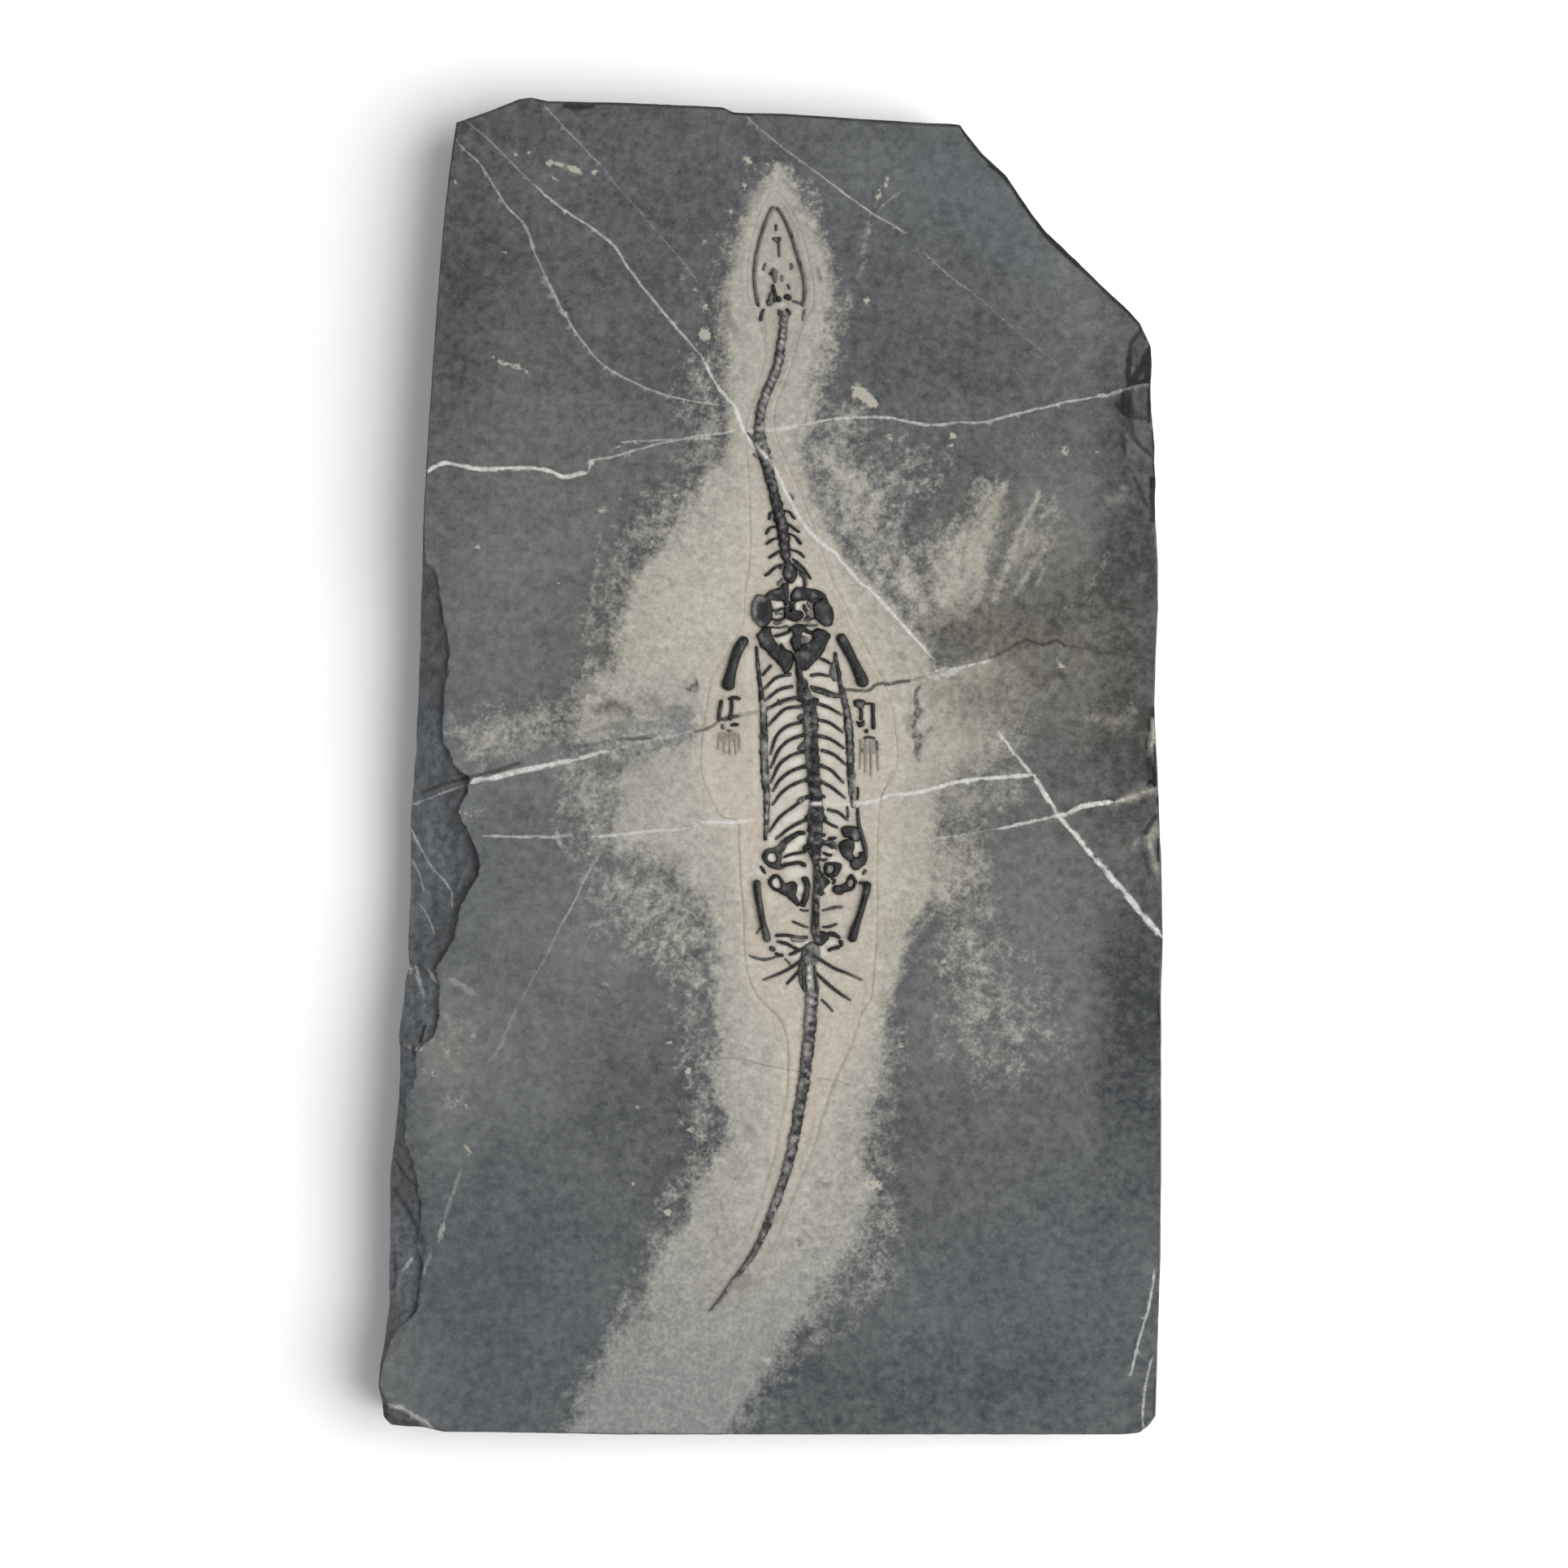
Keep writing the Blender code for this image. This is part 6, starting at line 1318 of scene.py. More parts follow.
# ------------------------------------------------------------ shoulder girdle
bone("clavicle_left_fossil", [plate([
    (941, 735), (946, 730), (951, 727), (957, 725), (962, 722.5), (966, 718), (971, 719), (972, 728),
    (971.5, 737), (971, 747), (967, 747), (964.5, 741.5), (958, 740.5), (951, 739.5), (946, 740)], 0.0008, rim=2.6,
    spots=[(958, 730, 5, 2, 0.22), (957, 735, 6, 1.8, -0.2), (951, 736, 4, 2.5, 0.3), (968.6, 743, 2, 3, -0.6),
           (967, 733, 2, 5, -0.2)])], "clavicle_left")
bone("clavicle_right_fossil", [plate([
    (976, 728), (980, 724), (988, 723), (996, 725), (1004, 726), (1011, 728), (1017, 733), (1018, 738),
    (1011, 739.5), (1004, 739), (1001, 744), (998, 744), (996, 740), (988, 740), (980, 742), (975, 740), (974, 733)], 0.0008,
    rim=2.8, spots=[(983, 733, 3, 3.4, 0.50), (1003, 732, 3, 3, 0.42), (1007.5, 730, 3.4, 2.4, -0.6),
                    (994, 735, 3, 3, -0.3), (983, 740, 8, 1.6, -0.3)])], "clavicle_right")
bone("scapula_left_fossil", [plate([
    (932, 733), (938, 732), (944, 735), (950, 742), (952, 752), (951, 763), (946, 770), (939, 773), (932, 769),
    (927, 761), (925, 752), (927, 742)], 0.0010, rim=4.0,
    spots=[(928.6, 753, 3.4, 16, 0.72), (937, 738, 8, 3.4, 0.56), (936, 769, 6, 3.4, 0.46), (943, 755, 6, 11, -0.36),
           (946, 746, 3, 4, -0.4)])], "scapula_left")
bone("scapula_right_fossil", [plate([
    (1002, 747), (1003.5, 741), (1010, 739.5), (1014.5, 735), (1018.5, 736), (1022, 743), (1025.5, 749.5),
    (1027.4, 756), (1027, 763), (1025, 770), (1019.5, 772), (1013, 770), (1007, 765.5), (1003, 761), (1001.5, 753)],
    0.0010, rim=3.6, spots=[(1025.6, 757, 2.0, 9, -0.9), (1016, 748, 5, 5, 0.12), (1012, 757, 3, 5, 0.14), (1019, 765, 4, 4, 0.26), (1008, 746, 4, 3, 0.08),
                            (1018, 740, 2, 4, -0.5), (1008, 760, 5, 4, -0.15)])], "scapula_right")
bone("coracoid_left_fossil", [plate([
    (932, 783), (936, 778), (940, 773), (949, 772), (951, 780), (955, 789), (962, 797), (970, 800), (976, 803),
    (978, 812), (976, 822), (971, 829), (966, 829), (962, 822), (956, 815), (949, 809), (942, 801), (936, 797),
    (934, 790)], 0.0010, rim=3.6,
    spots=[(938, 786, 3, 6, 0.30), (945, 791, 2.4, 5, 0.26), (947, 777, 3, 4, -0.3), (967, 798.5, 2, 2, -1.0),
           (958, 806, 9, 7, -0.08), (975, 815, 2.4, 6, -0.5), (938, 795, 3, 3, -0.2), (968, 815, 3, 5, 0.08)])],
    "coracoid_left")
bone("coracoid_right_fossil", [plate([
    (1002, 777), (1008, 773.5), (1016, 776), (1022, 780), (1023.5, 784), (1020.5, 791), (1018, 797), (1015, 804),
    (1008, 812), (1001, 819), (995, 825), (988, 826.5), (982, 820), (978, 812), (977, 805), (982, 800),
    (986, 796.5), (990.5, 792.5), (996, 791), (1000.5, 787.5), (1000, 782)], 0.0010, rim=3.6,
    spots=[(995, 807, 3.6, 4, 0.30), (1005, 796, 3, 5, 0.14), (1021.6, 783, 2, 3, -0.6), (990, 800, 5, 2, -0.5), (996, 795, 3, 2.4, 0.30), (992, 797, 2, 2, -0.4), (988, 806, 3, 3, 0.25),
           (1005, 806, 4, 4, -0.3), (992, 824, 5, 2, -0.5), (1016.6, 793, 1.8, 4, -0.5), (1014, 803, 2, 3, -0.5),
           (1003.6, 787, 1.6, 4, -0.4), (1008, 775.4, 5, 1.6, -0.9), (980, 806, 3, 4, 0.22)])], "coracoid_right")
bone("shoulder_vertebrae_fossil", [
    plate([(974, 742), (979, 743), (980, 748), (981, 751.5), (985, 752), (989, 755), (990, 760), (985, 764),
           (978, 766), (971, 763), (966, 760), (965.5, 755), (969, 752.5), (972, 753), (974, 750)], 0.0010, rim=3,
          spots=[(986.6, 757, 1.9, 2.6, -0.9), (975.6, 748, 2, 4, -0.5), (968.4, 758, 2, 2, -0.5),
                 (971, 755, 2, 2, 0.22), (978, 762, 8, 2, -0.3)]),
    plate([(977, 771), (981, 768.5), (990, 768.5), (993, 772), (997, 776), (1002, 777), (1001, 781), (995, 781),
           (989.5, 778.5), (988, 784), (988, 790), (987, 799), (979, 802), (974.5, 795), (973.5, 789), (977, 783),
           (975, 778), (971.5, 777), (972, 773)], 0.0010, rim=3,
          spots=[(988, 771, 5, 2.4, -0.6), (976, 792, 2, 3, -0.8), (982, 786, 2, 8, -0.1), (973, 775.4, 2, 2, -0.6),
                 (980, 776, 3, 3, 0.10), (998, 778.6, 3, 1.6, -0.4)]),
    plate([(966, 727), (970.5, 727), (972, 737), (974, 746), (972, 757), (968, 759), (965.5, 753), (967, 745),
           (965, 736)], 0.0007, rim=2, light=0.10, spots=[(968, 744, 2, 3, 0.35), (970, 752, 2, 3, -0.4)]),
    plate([(972, 741), (978, 739.5), (981.5, 742), (980, 745), (979, 752), (973, 752), (971, 746)], 0.0007, rim=2,
          light=0.0, spots=[(976, 744, 2, 2, 0.3), (974, 749, 2, 2, -0.4)]),
    plate([(958, 716), (964, 711.5), (967, 714), (965, 719), (960, 722), (957, 720)], 0.0004, rim=2, light=0.60,
          spots=[(962, 717, 2, 2, -0.3)]),
    tube([(985, 706, 4), (991, 712, 4.4), (993, 722, 4)], 0.0006, light=0.12),
    plate([(995, 741), (1001, 740), (1003, 746), (1001, 752), (997, 749), (994, 745)], 0.0005, rim=2, light=0.62,
          spots=[(999, 746, 2, 2, -0.3)]),
    plate([(992, 751), (998, 752), (1001, 757), (997, 760), (992, 757)], 0.0005, rim=2, light=0.56),
    tube([(980, 766.5, 2.4), (990, 765, 2.4), (1000, 768, 2.4)], 0.0005, light=0.60),
    plate([(984, 785), (990, 783), (996, 785), (995, 790), (988, 792), (984, 790)], 0.0005, rim=2, light=0.52,
          spots=[(990, 787, 2, 2, -0.4)]),
    plate([(962, 792), (966, 796), (969, 800), (966, 803), (961, 798)], 0.0006, rim=2, light=-0.3),
    tube([(949, 750, 3), (956, 752.5, 3.6), (966, 749, 3)], 0.0006, light=0.05),
    tube([(953, 767, 2.2), (958, 769.4, 2.6), (964, 766, 2.2)], 0.0005, light=0.35),
    tube([(955, 757, 2.2), (961, 756, 2.4), (966, 758, 2)], 0.0005, light=0.40),
    tube([(950, 762, 3), (958, 764.5, 4), (968, 761, 3.6)], 0.0006, light=0.0),
    tube([(950, 772.5, 2.6), (960, 773.5, 3), (972, 771, 3)], 0.0006, light=0.15),
    tube([(953, 784, 3.4), (962, 782.5, 4.2), (974, 778, 3.6)], 0.0007, light=-0.05),
    tube([(991, 744, 3), (992, 750, 4.4), (996, 755, 3.4)], 0.0006, light=0.0),
    tube([(991, 762, 3.6), (997, 763, 4.6), (1003, 762, 3.4)], 0.0006, light=0.1),
    tube([(992, 770, 3), (1000, 771, 3), (1008, 770, 3)], 0.0006, light=0.25),
    tube([(982, 814, 6), (984, 823, 7.5), (985, 832, 9), (986, 838, 8)], 0.0009, light=0.0,
         spots=[(982, 830, 2, 6, -0.3), (988, 822, 3, 3, 0.1)])], "shoulder_vertebrae")

# ----------------------------------------------------------------- fore limbs
bone("humerus_left_fossil", [tube([
    (920, 785, 12.5), (911, 798, 13.5), (905, 813, 12.5), (901, 828, 13), (898, 841, 15.5), (897, 851, 15.5)],
    0.0014, spots=[(914, 797, 3, 5, 0.22), (905, 815, 2.6, 8, 0.06), (910, 806, 2, 9, -0.3), (919, 786, 4, 2, -0.3),
                   (899, 840, 5, 9, -0.04), (924, 791, 2, 4, -0.4)], lumps=0.05, around=18)], "humerus_left")
bone("humerus_right_fossil", [tube([
    (1034, 781, 12.5), (1042, 796, 13), (1050, 811, 12), (1056, 824, 13), (1062, 837, 15.5), (1064, 847, 15)],
    0.0014, spots=[(1037, 788, 4, 3, 0.2), (1047, 806, 3, 7, 0.02), (1056, 824, 4, 8, 0.02), (1054, 812, 2, 9, -0.3),
                   (1032, 791, 2, 4, -0.4), (1063, 840, 5, 6, 0.0)], lumps=0.05, around=18)], "humerus_right")
bone("radius_left_fossil", [tube([(889.5, 862, 5), (888, 870, 5.2), (886.5, 879, 4.6), (886, 889, 5.2)], 0.0007,
                                 spots=[(887, 876, 2, 5, 0.1)], lumps=0.15)], "radius_left")
bone("ulna_left_fossil", [
    tube([(897, 862, 3.4), (903, 860, 5), (909, 860, 5), (913, 862, 3.4)], 0.0006, spots=[(906, 860, 3, 2, -0.1)]),
    tube([(901.5, 862, 5), (902, 869, 4.6), (901, 879, 4.6), (899, 888, 6)], 0.0007, lumps=0.15)], "ulna_left")
bone("radius_right_fossil", [
    plate([(1052, 863), (1059, 861.5), (1066, 864), (1065, 869), (1062, 875), (1057, 872), (1053, 870)], 0.0007,
          rim=2.4, spots=[(1060, 868, 3, 3, 0.4), (1058, 863, 5, 2, -0.3)]),
    tube([(1060.5, 872, 5), (1061.5, 880, 4.4), (1061, 888, 5.4)], 0.0007),
    plate([(1055, 888), (1060, 889.5), (1065, 887), (1065.5, 893), (1062, 896.5), (1057, 895.5)], 0.0007, rim=2.4,
          spots=[(1060, 893, 4, 3, -0.25)])], "radius_right")
bone("ulna_right_fossil", [tube([(1075.5, 866, 5.4), (1076, 880, 4.8), (1076.5, 899, 6)], 0.0007, lumps=0.15,
                                spots=[(1076, 895, 2, 5, -0.15)])], "ulna_right")
PALM = [
    ("palm_left", [(886, 903), (893, 902), (901, 903), (908, 903), (909, 909), (904, 914), (897, 913), (889, 914),
                   (885, 909)], 0.00022, 0.77),
    ("palm_right", [(1060, 911), (1070, 909), (1080, 911), (1081, 920), (1079, 929), (1070, 931), (1062, 929),
                    (1059, 920)], 0.00016, 0.85),
]
for name, outline, thick, light in PALM:
    bone(name, [plate(outline, thick * 0.6, light=light + 0.2, rim=2.6, base=BONE_BASE - 0.00004, flush=True)], warm=1.0)
FINGERS = [
    ("finger_left_1", [(886, 903), (885, 912), (884.5, 924)]), ("finger_left_2", [(892, 903), (892, 915), (892, 928)]),
    ("finger_left_3", [(898, 904), (899, 916), (899, 931)]), ("finger_left_4", [(905, 903), (906, 915), (906.5, 930)]),
    ("finger_left_5", [(910, 905), (911, 914), (911, 925)]),
    ("finger_right_1", [(1060, 911), (1060, 930), (1059, 948)]), ("finger_right_2", [(1066, 910), (1066, 930), (1066, 952)]),
    ("finger_right_3", [(1072, 911), (1073, 932), (1073, 956)]), ("finger_right_4", [(1079, 912), (1081, 930), (1082, 950)]),
]
for name, line in FINGERS:
    bone(name, [tube([(u, v, w) for (u, v), w in zip(line, (2.0, 2.8, 1.6))], 0.00016, light=0.78,
                     spots=[(line[2][0], line[2][1], 5, 9, 0.18)], lumps=0.3, gap=1.2, around=10,
                     base=BONE_BASE - 0.00002)], warm=1.0)

# ----------------------------------------------------------------------- back
TRUNK = [
    (986, 834, 10), (989, 850, 14), (995, 866, 15), (997.6, 882, 15.5), (998.6, 902, 16), (999.6, 925, 15),
    (1001, 948, 14.5), (1003, 968, 15), (1005, 984, 14), (1004, 1004, 18), (1004, 1022, 14),
    (1003, 1044, 17), (1005, 1062, 10.5), (1006, 1084, 9.5), (1005, 1108, 9.5), (1004, 1130, 10),
    (1005, 1150, 12), (1008, 1163, 9)]
trunk_spots = [
    (993, 890, 3, 9, 0.30), (994, 908, 3, 10, 0.35), (993, 925, 3, 9, 0.30), (994, 942, 3, 7, 0.22),
    (1003, 905, 3, 14, -0.3), (1003, 925, 3, 12, -0.4), (1005, 950, 4, 12, -0.2), (991, 943, 2, 3, -0.5),
    (1001, 983, 4, 5, -0.2), (1009, 985, 3, 2.4, -0.8), (997, 963, 3, 4, -0.2), (999, 993, 3, 3, -0.3),
    (1003, 1030, 3, 6, 0.20), (1000, 1035, 2, 5, 0.15), (997, 1021, 3, 3, -0.4), (1011, 1042, 3, 2.4, -0.6),
    (992, 1046, 3, 3, -0.6), (1005, 1130, 3, 3, -0.4), (1010, 1140, 3, 6, 0.22), (1003, 1118, 3, 6, -0.2),
    (1009, 1095, 3, 3, -0.3), (997, 990.5, 7, 2.2, 1.6), (1008, 990, 7, 2.2, 1.5), (986, 845, 4, 4, 0.15), (997, 845, 3, 3, -0.4), (1013, 1088, 3, 5, 0.2)]
bone("trunk_vertebrae_fossil", [
    column([(u + 0.9, v, w * (1.12 if v < 1050 else 0.96)) for u, v, w in TRUNK], 14.5, 0.0014,
           [(834, 0.20), (850, 0.08), (925, 0.06), (970, 0.05), (1000, 0.10), (1030, 0.12), (1100, 0.08),
            (1165, 0.06)], spots=trunk_spots, flank=0.20, lean=0.12, mottle=0.48, ragged=0.26, joint=0.22,
           dots=[(834, 0.2), (1165, 0.2)], shift_dots=-2.0, pits=1.2),
    plate([(1003, 1151), (1010, 1147), (1020, 1149), (1022, 1155), (1018, 1161), (1009, 1166), (1003, 1161)],
          0.0009, rim=3, light=-0.1, spots=[(1014, 1153, 3, 2, -0.4), (1007, 1160, 2.4, 3, 0.25)])],
     "trunk_vertebrae")
bone("crack_bone_right", [column([
    (1000, 849, 4), (1010, 852, 7), (1022, 855.5, 8), (1034, 857, 7), (1043, 852, 4.4)], 7.0, 0.0005,
    [(845, 0.26), (860, 0.26)], mottle=0.6, ragged=0.35, joint=0.1, knob=0.1)])
side_processes = [
    (987, 862, 6), (1005, 862, 5), (989, 889, 6), (1006, 887, 5), (990, 906, 4), (1007, 906, 5), (990, 926, 5),
    (991, 945, 5), (1009, 943, 6), (995, 961, 6), (1010, 964, 6), (996, 982, 6), (1013, 981, 5), (994, 1010, 6),
]
for number, (u, v, w) in enumerate(side_processes, 1):
    across = 4.5 if u > 1000 else -4.5
    bone(f"transverse_process_{number:02d}", [tube(
        [(u - across, v - 1, w * 0.8), (u, v, w), (u + across, v + 1.5, w * 0.62)], 0.0007, light=-0.05, lumps=0.2,
        gap=1.2, around=12)])

# ----------------------------------------------------------------------- ribs
for side_name, ribs in (("left", RIBS_LEFT), ("right", RIBS_RIGHT)):
    for number, rib in enumerate(ribs, 1):
        start, after = np.array(rib[0], float), np.array(rib[1], float)
        last, before = np.array(rib[-1], float), np.array(rib[-2], float)
        start = start + (start - after) / np.hypot(*(start - after)) * 3.0
        last = last + (last - before) / np.hypot(*(last - before)) * (6.0 if side_name == "left" else 3.5)
        path = [(*start, 5.4), (*rib[0], 4.8), *((u, v, 4.1) for u, v in rib[1:-1]), (*rib[-1], 3.4), (*last, 2.4)]
        spots = [(rib[0][0], rib[0][1], 6, 4, 0.14), (*last, 6, 6, 0.30)]
        if (side_name, number) == ("left", 12):
            path = [(993, 1027, 5), (985, 1026.5, 6), (975, 1032, 7), (967, 1038, 9), (961, 1046, 11), (953, 1049, 10)]
            spots = [(984, 1026, 2.6, 2.4, -0.8), (970, 1036, 3, 3, -0.2), (958, 1042, 8, 8, 0.30),
                     (950, 1047, 6, 5, 0.35), (964, 1048, 2, 3, -0.5)]
        bone(f"rib_{side_name}_{number:02d}_fossil",
             [tube(path, 0.0005, spots=spots, lumps=0.14, gap=1.2)], f"rib_{side_name}_{number:02d}")

bone("side_strip_left_fossil", [column([
    (932, 796, 3), (934, 818, 4.4), (937, 845, 5.4), (939, 862, 7), (941, 878, 8), (941, 905, 9.4), (941, 930, 10),
    (943, 960, 10), (945, 985, 8.4), (944.5, 1010, 6.4), (943, 1036, 5.4)], 9.0, 0.0006,
    [(800, 0.02), (860, 0.04), (866, 0.75), (873, 0.75), (880, 0.34), (960, 0.36), (1036, 0.24)],
    spots=[(938, 872, 6, 7, 0.30), (939, 906, 2.6, 16, 0.15), (941, 940, 2.4, 12, 0.25), (943, 962, 3, 9, 0.15),
           (947, 983, 4, 6, 0.25), (945, 950, 2, 8, -0.35), (937, 950, 1.6, 14, -0.3), (944, 1020, 3, 12, 0.2),
           (945, 915, 2, 8, -0.3), (941, 893, 4, 4, -0.3), (943, 972, 4, 4, -0.35), (944, 1000, 3, 5, -0.3),
           (944, 920, 1.8, 4.5, 0.9), (945, 995, 1.8, 3.6, 0.9), (944, 1006, 1.8, 3, 0.8)],
    mottle=0.62, ragged=0.34, joint=0.1, flank=-0.34, knob=0.12)], "side_strip_left")
bone("side_strip_right_fossil", [column([
    (1029, 803, 4.4), (1032, 825, 6.4), (1035.5, 845, 6), (1041, 865, 8), (1045, 885, 9.4), (1046.5, 905, 10),
    (1048, 930, 10), (1048.6, 955, 9.6), (1050.5, 975, 9), (1051.5, 996, 7)], 9.0, 0.0006,
    [(803, 0.12), (850, 0.10), (870, 0.20), (960, 0.24), (984, 0.34), (988, 1.2), (992, 1.2), (996, 0.4)],
    spots=[(1033, 828, 1.8, 9, -0.4), (1029, 806, 3, 5, 0.3), (1045, 878, 2.6, 8, 0.25), (1046, 900, 2.6, 8, 0.15),
           (1048, 950, 3, 5, -0.4), (1042, 893, 2, 10, -0.3), (1051, 925, 2, 14, -0.25), (1046, 925, 2.4, 12, 0.15),
           (1045, 968, 3, 6, 0.1), (1051, 904, 1.6, 8, -0.35), (1053.6, 975, 1.8, 13, 0.7), (1049.6, 984, 1.8, 10, -0.4),
           (1047, 980, 1.4, 10, 0.35)],
    mottle=0.62, ragged=0.34, joint=0.1, flank=-0.34, knob=0.12)], "side_strip_right")
bone("side_plate_right", [plate([(1024, 818), (1030, 815), (1033, 824), (1033, 838), (1026, 839), (1022, 829)], 0.0004,
                                light=0.38, rim=2.2)])

# --------------------------------------------------------------------- pelvis
bone("pubis_left_fossil", [
    plate([(939, 1056), (941, 1049), (948, 1045), (957, 1045), (963, 1051), (963, 1060), (959, 1069),
           (950, 1070), (943, 1064)], 0.0008, rim=2.4,
          holes=[[(946, 1057), (949, 1052), (954, 1052), (957, 1057), (954, 1062), (948, 1062)]],
          spots=[(950, 1046, 8, 3, 0.25), (941, 1056, 2, 6, -0.1), (959, 1060, 3, 8, 0.15)]),
    tube([(952, 1067, 5), (960, 1069, 6.5), (968, 1066, 5), (977, 1064, 4.6), (985, 1063, 5), (990, 1065, 6.4),
          (993, 1068, 4)], 0.0008, spots=[(975, 1064, 10, 2.4, -0.3), (990, 1065, 3, 3, -0.4), (960, 1069, 4, 3, 0.2)])],
     "pubis_left")
bone("pubis_right_fossil", [
    plate([(1033, 1041), (1039, 1035), (1046, 1033), (1052.5, 1037), (1053, 1045), (1051, 1051), (1053, 1057),
           (1048, 1062), (1041, 1058), (1035, 1050)], 0.0009, rim=2.8,
          spots=[(1040, 1042, 4, 4, -0.5), (1046, 1052, 2.6, 5, 0.22), (1048, 1038, 3, 3, 0.25),
                 (1050, 1043, 2, 3, -0.4)]),
    plate([(1046, 1057), (1052, 1056), (1058, 1056), (1059, 1050), (1064, 1050), (1069, 1053), (1068, 1062),
           (1063, 1068), (1056, 1073), (1050, 1071), (1047, 1064)], 0.0009, rim=3,
          spots=[(1055, 1064, 4, 4, 0.20), (1048, 1061, 2.4, 3, -0.4), (1062, 1054, 3, 3, -0.2)])], "pubis_right")
bone("hip_plate_right", [plate([
    (1037, 1020), (1044, 1017), (1052, 1018), (1058, 1022), (1061, 1030), (1059, 1036), (1054, 1037), (1048, 1034),
    (1041, 1032), (1037, 1027)], 0.0008, rim=3, spots=[(1053.5, 1030, 2.4, 5, 0.75), (1044, 1025, 5, 5, -0.08),
                                                       (1048, 1033, 3, 2, -0.3)])])
bone("ischium_left_fossil", [plate([
    (946, 1087), (949, 1080), (956, 1077), (963, 1081), (967, 1088), (975, 1086), (981, 1088), (983, 1094),
    (981, 1101), (984, 1110), (984, 1117), (978, 1113), (971, 1107), (962, 1101), (952, 1096)], 0.0008, rim=3,
    holes=[[(952, 1088), (954, 1083), (959, 1083), (962, 1089), (961, 1094), (956, 1094)]],
    spots=[(972, 1096, 6, 6, 0.10), (948, 1086, 2, 5, -0.3), (979, 1092, 3, 4, -0.3), (966, 1093, 3, 3, 0.15)])],
    "ischium_left")
bone("ischium_right_fossil", [plate([
    (1025, 1097), (1029, 1091), (1037, 1090), (1042, 1086), (1044, 1080), (1050, 1077), (1055, 1083), (1055, 1091),
    (1050, 1097), (1042, 1100), (1034, 1103), (1028, 1101)], 0.0008, rim=2.6,
    holes=[[(1044, 1089), (1046, 1084), (1050, 1084), (1051, 1089), (1048, 1093)]],
    spots=[(1034, 1096, 3, 3, 0.14), (1040, 1099, 3, 2, -0.6), (1049, 1080, 4, 2.4, -0.4), (1030, 1098, 3, 3, -0.2)]),
    plate([(1043, 1088), (1046, 1083), (1051, 1083), (1052, 1089), (1048, 1094)], 0.0003, light=0.65, rim=2)],
    "ischium_right")
bone("ilium_left_fossil", [
    plate([(987, 1082), (992, 1080), (996, 1082), (998, 1091), (997, 1103), (995, 1112), (990, 1117), (986, 1113),
           (988, 1108), (990, 1100), (990, 1090)], 0.0008, rim=2.6,
          spots=[(993, 1085, 3, 3, -0.6), (993, 1100, 2.4, 8, 0.1), (990, 1113, 3, 3, -0.4)]),
    tube([(984, 1112, 3), (988, 1115, 5), (993, 1116, 4)], 0.0006, light=-0.1)], "ilium_left")
bone("ilium_right_fossil", [plate([
    (1015, 1067), (1019, 1062.5), (1026, 1062), (1034, 1063), (1037.5, 1067), (1035, 1074), (1030, 1080),
    (1022, 1081), (1016, 1077)], 0.0008, rim=2.4,
    holes=[[(1019, 1070), (1022, 1066), (1027, 1067), (1027, 1072), (1024, 1076), (1020, 1075)]],
    spots=[(1018, 1070, 2, 4, -0.5), (1030, 1068, 3, 2.4, -0.3), (1025, 1079, 5, 2, -0.4)]),
    plate([(1018, 1070), (1022, 1065), (1028, 1067), (1027, 1073), (1022, 1077)], 0.0003, light=0.75, rim=2)],
    "ilium_right")
bone("hip_knob_right", [plate([
    (1007, 1080), (1013, 1080), (1020, 1082), (1023, 1087), (1019, 1092), (1014, 1096), (1016, 1101), (1011, 1104),
    (1006, 1103), (1007, 1092)], 0.0008, rim=3, spots=[(1020.5, 1086.5, 2.4, 2.4, -0.9), (1013, 1089, 3, 5, 0.25),
                                                      (1009, 1096, 3, 3, -0.4)])])
# ----------------------------------------------------------------- hind limbs
bone("femur_left_fossil", [tube([
    (932.5, 1084, 10), (933.5, 1100, 9), (937, 1120, 8), (940, 1137, 7.5), (944, 1150, 8.5), (946, 1161, 10)], 0.0013,
    spots=[(932, 1088, 4, 4, 0.12), (937, 1104, 2, 16, 0.22), (932, 1104, 2, 14, -0.2), (939, 1133, 3, 4, -0.25),
           (944, 1156, 4, 5, 0.22), (943, 1146, 2.4, 5, 0.25)], lumps=0.07, around=16)], "femur_left")
bone("femur_right_fossil", [
    tube([(1069, 1086, 11), (1068, 1097, 9), (1064, 1112, 8), (1060, 1126, 8), (1056, 1138, 9), (1052, 1150, 11),
          (1049, 1161, 11)], 0.0013,
         spots=[(1072, 1088, 3, 2.4, -0.6), (1066, 1100, 3, 4, 0.24), (1066, 1110, 4, 5, -0.5), (1061, 1122, 3, 5, 0.02),
                (1056, 1142, 3, 8, 0.0), (1052, 1156, 4, 5, -0.3)], lumps=0.07, around=16),
    tube([(1058, 1088, 3), (1064, 1088, 5), (1069, 1090, 7)], 0.0008, light=-0.1)], "femur_right")
bone("tibia_left_fossil", [
    tube([(955, 1153, 4), (964, 1152.5, 4), (974, 1153, 4), (985, 1155, 4), (996, 1155, 4)], 0.0006,
         spots=[(973, 1152, 2.4, 2, -0.3), (982, 1155, 8, 3, 0.3)], lumps=0.2),
    plate([(974, 1155), (983, 1153), (992, 1155), (992, 1160), (983, 1161), (976, 1160)], 0.0003, light=0.55, rim=2)],
    "tibia_left")
bone("fibula_left_fossil", [tube([(961, 1161, 4), (970, 1163, 4.4), (977, 1167, 4), (985, 1171, 4)], 0.0006,
                                 lumps=0.2, spots=[(971, 1163, 4, 2, -0.2)])], "fibula_left")
bone("tibia_right_fossil", [tube([(1016, 1153, 4.4), (1027, 1152, 4.4), (1036, 1156, 4)], 0.0006, lumps=0.2,
                                 spots=[(1027, 1152, 6, 2, -0.15)])], "tibia_right")
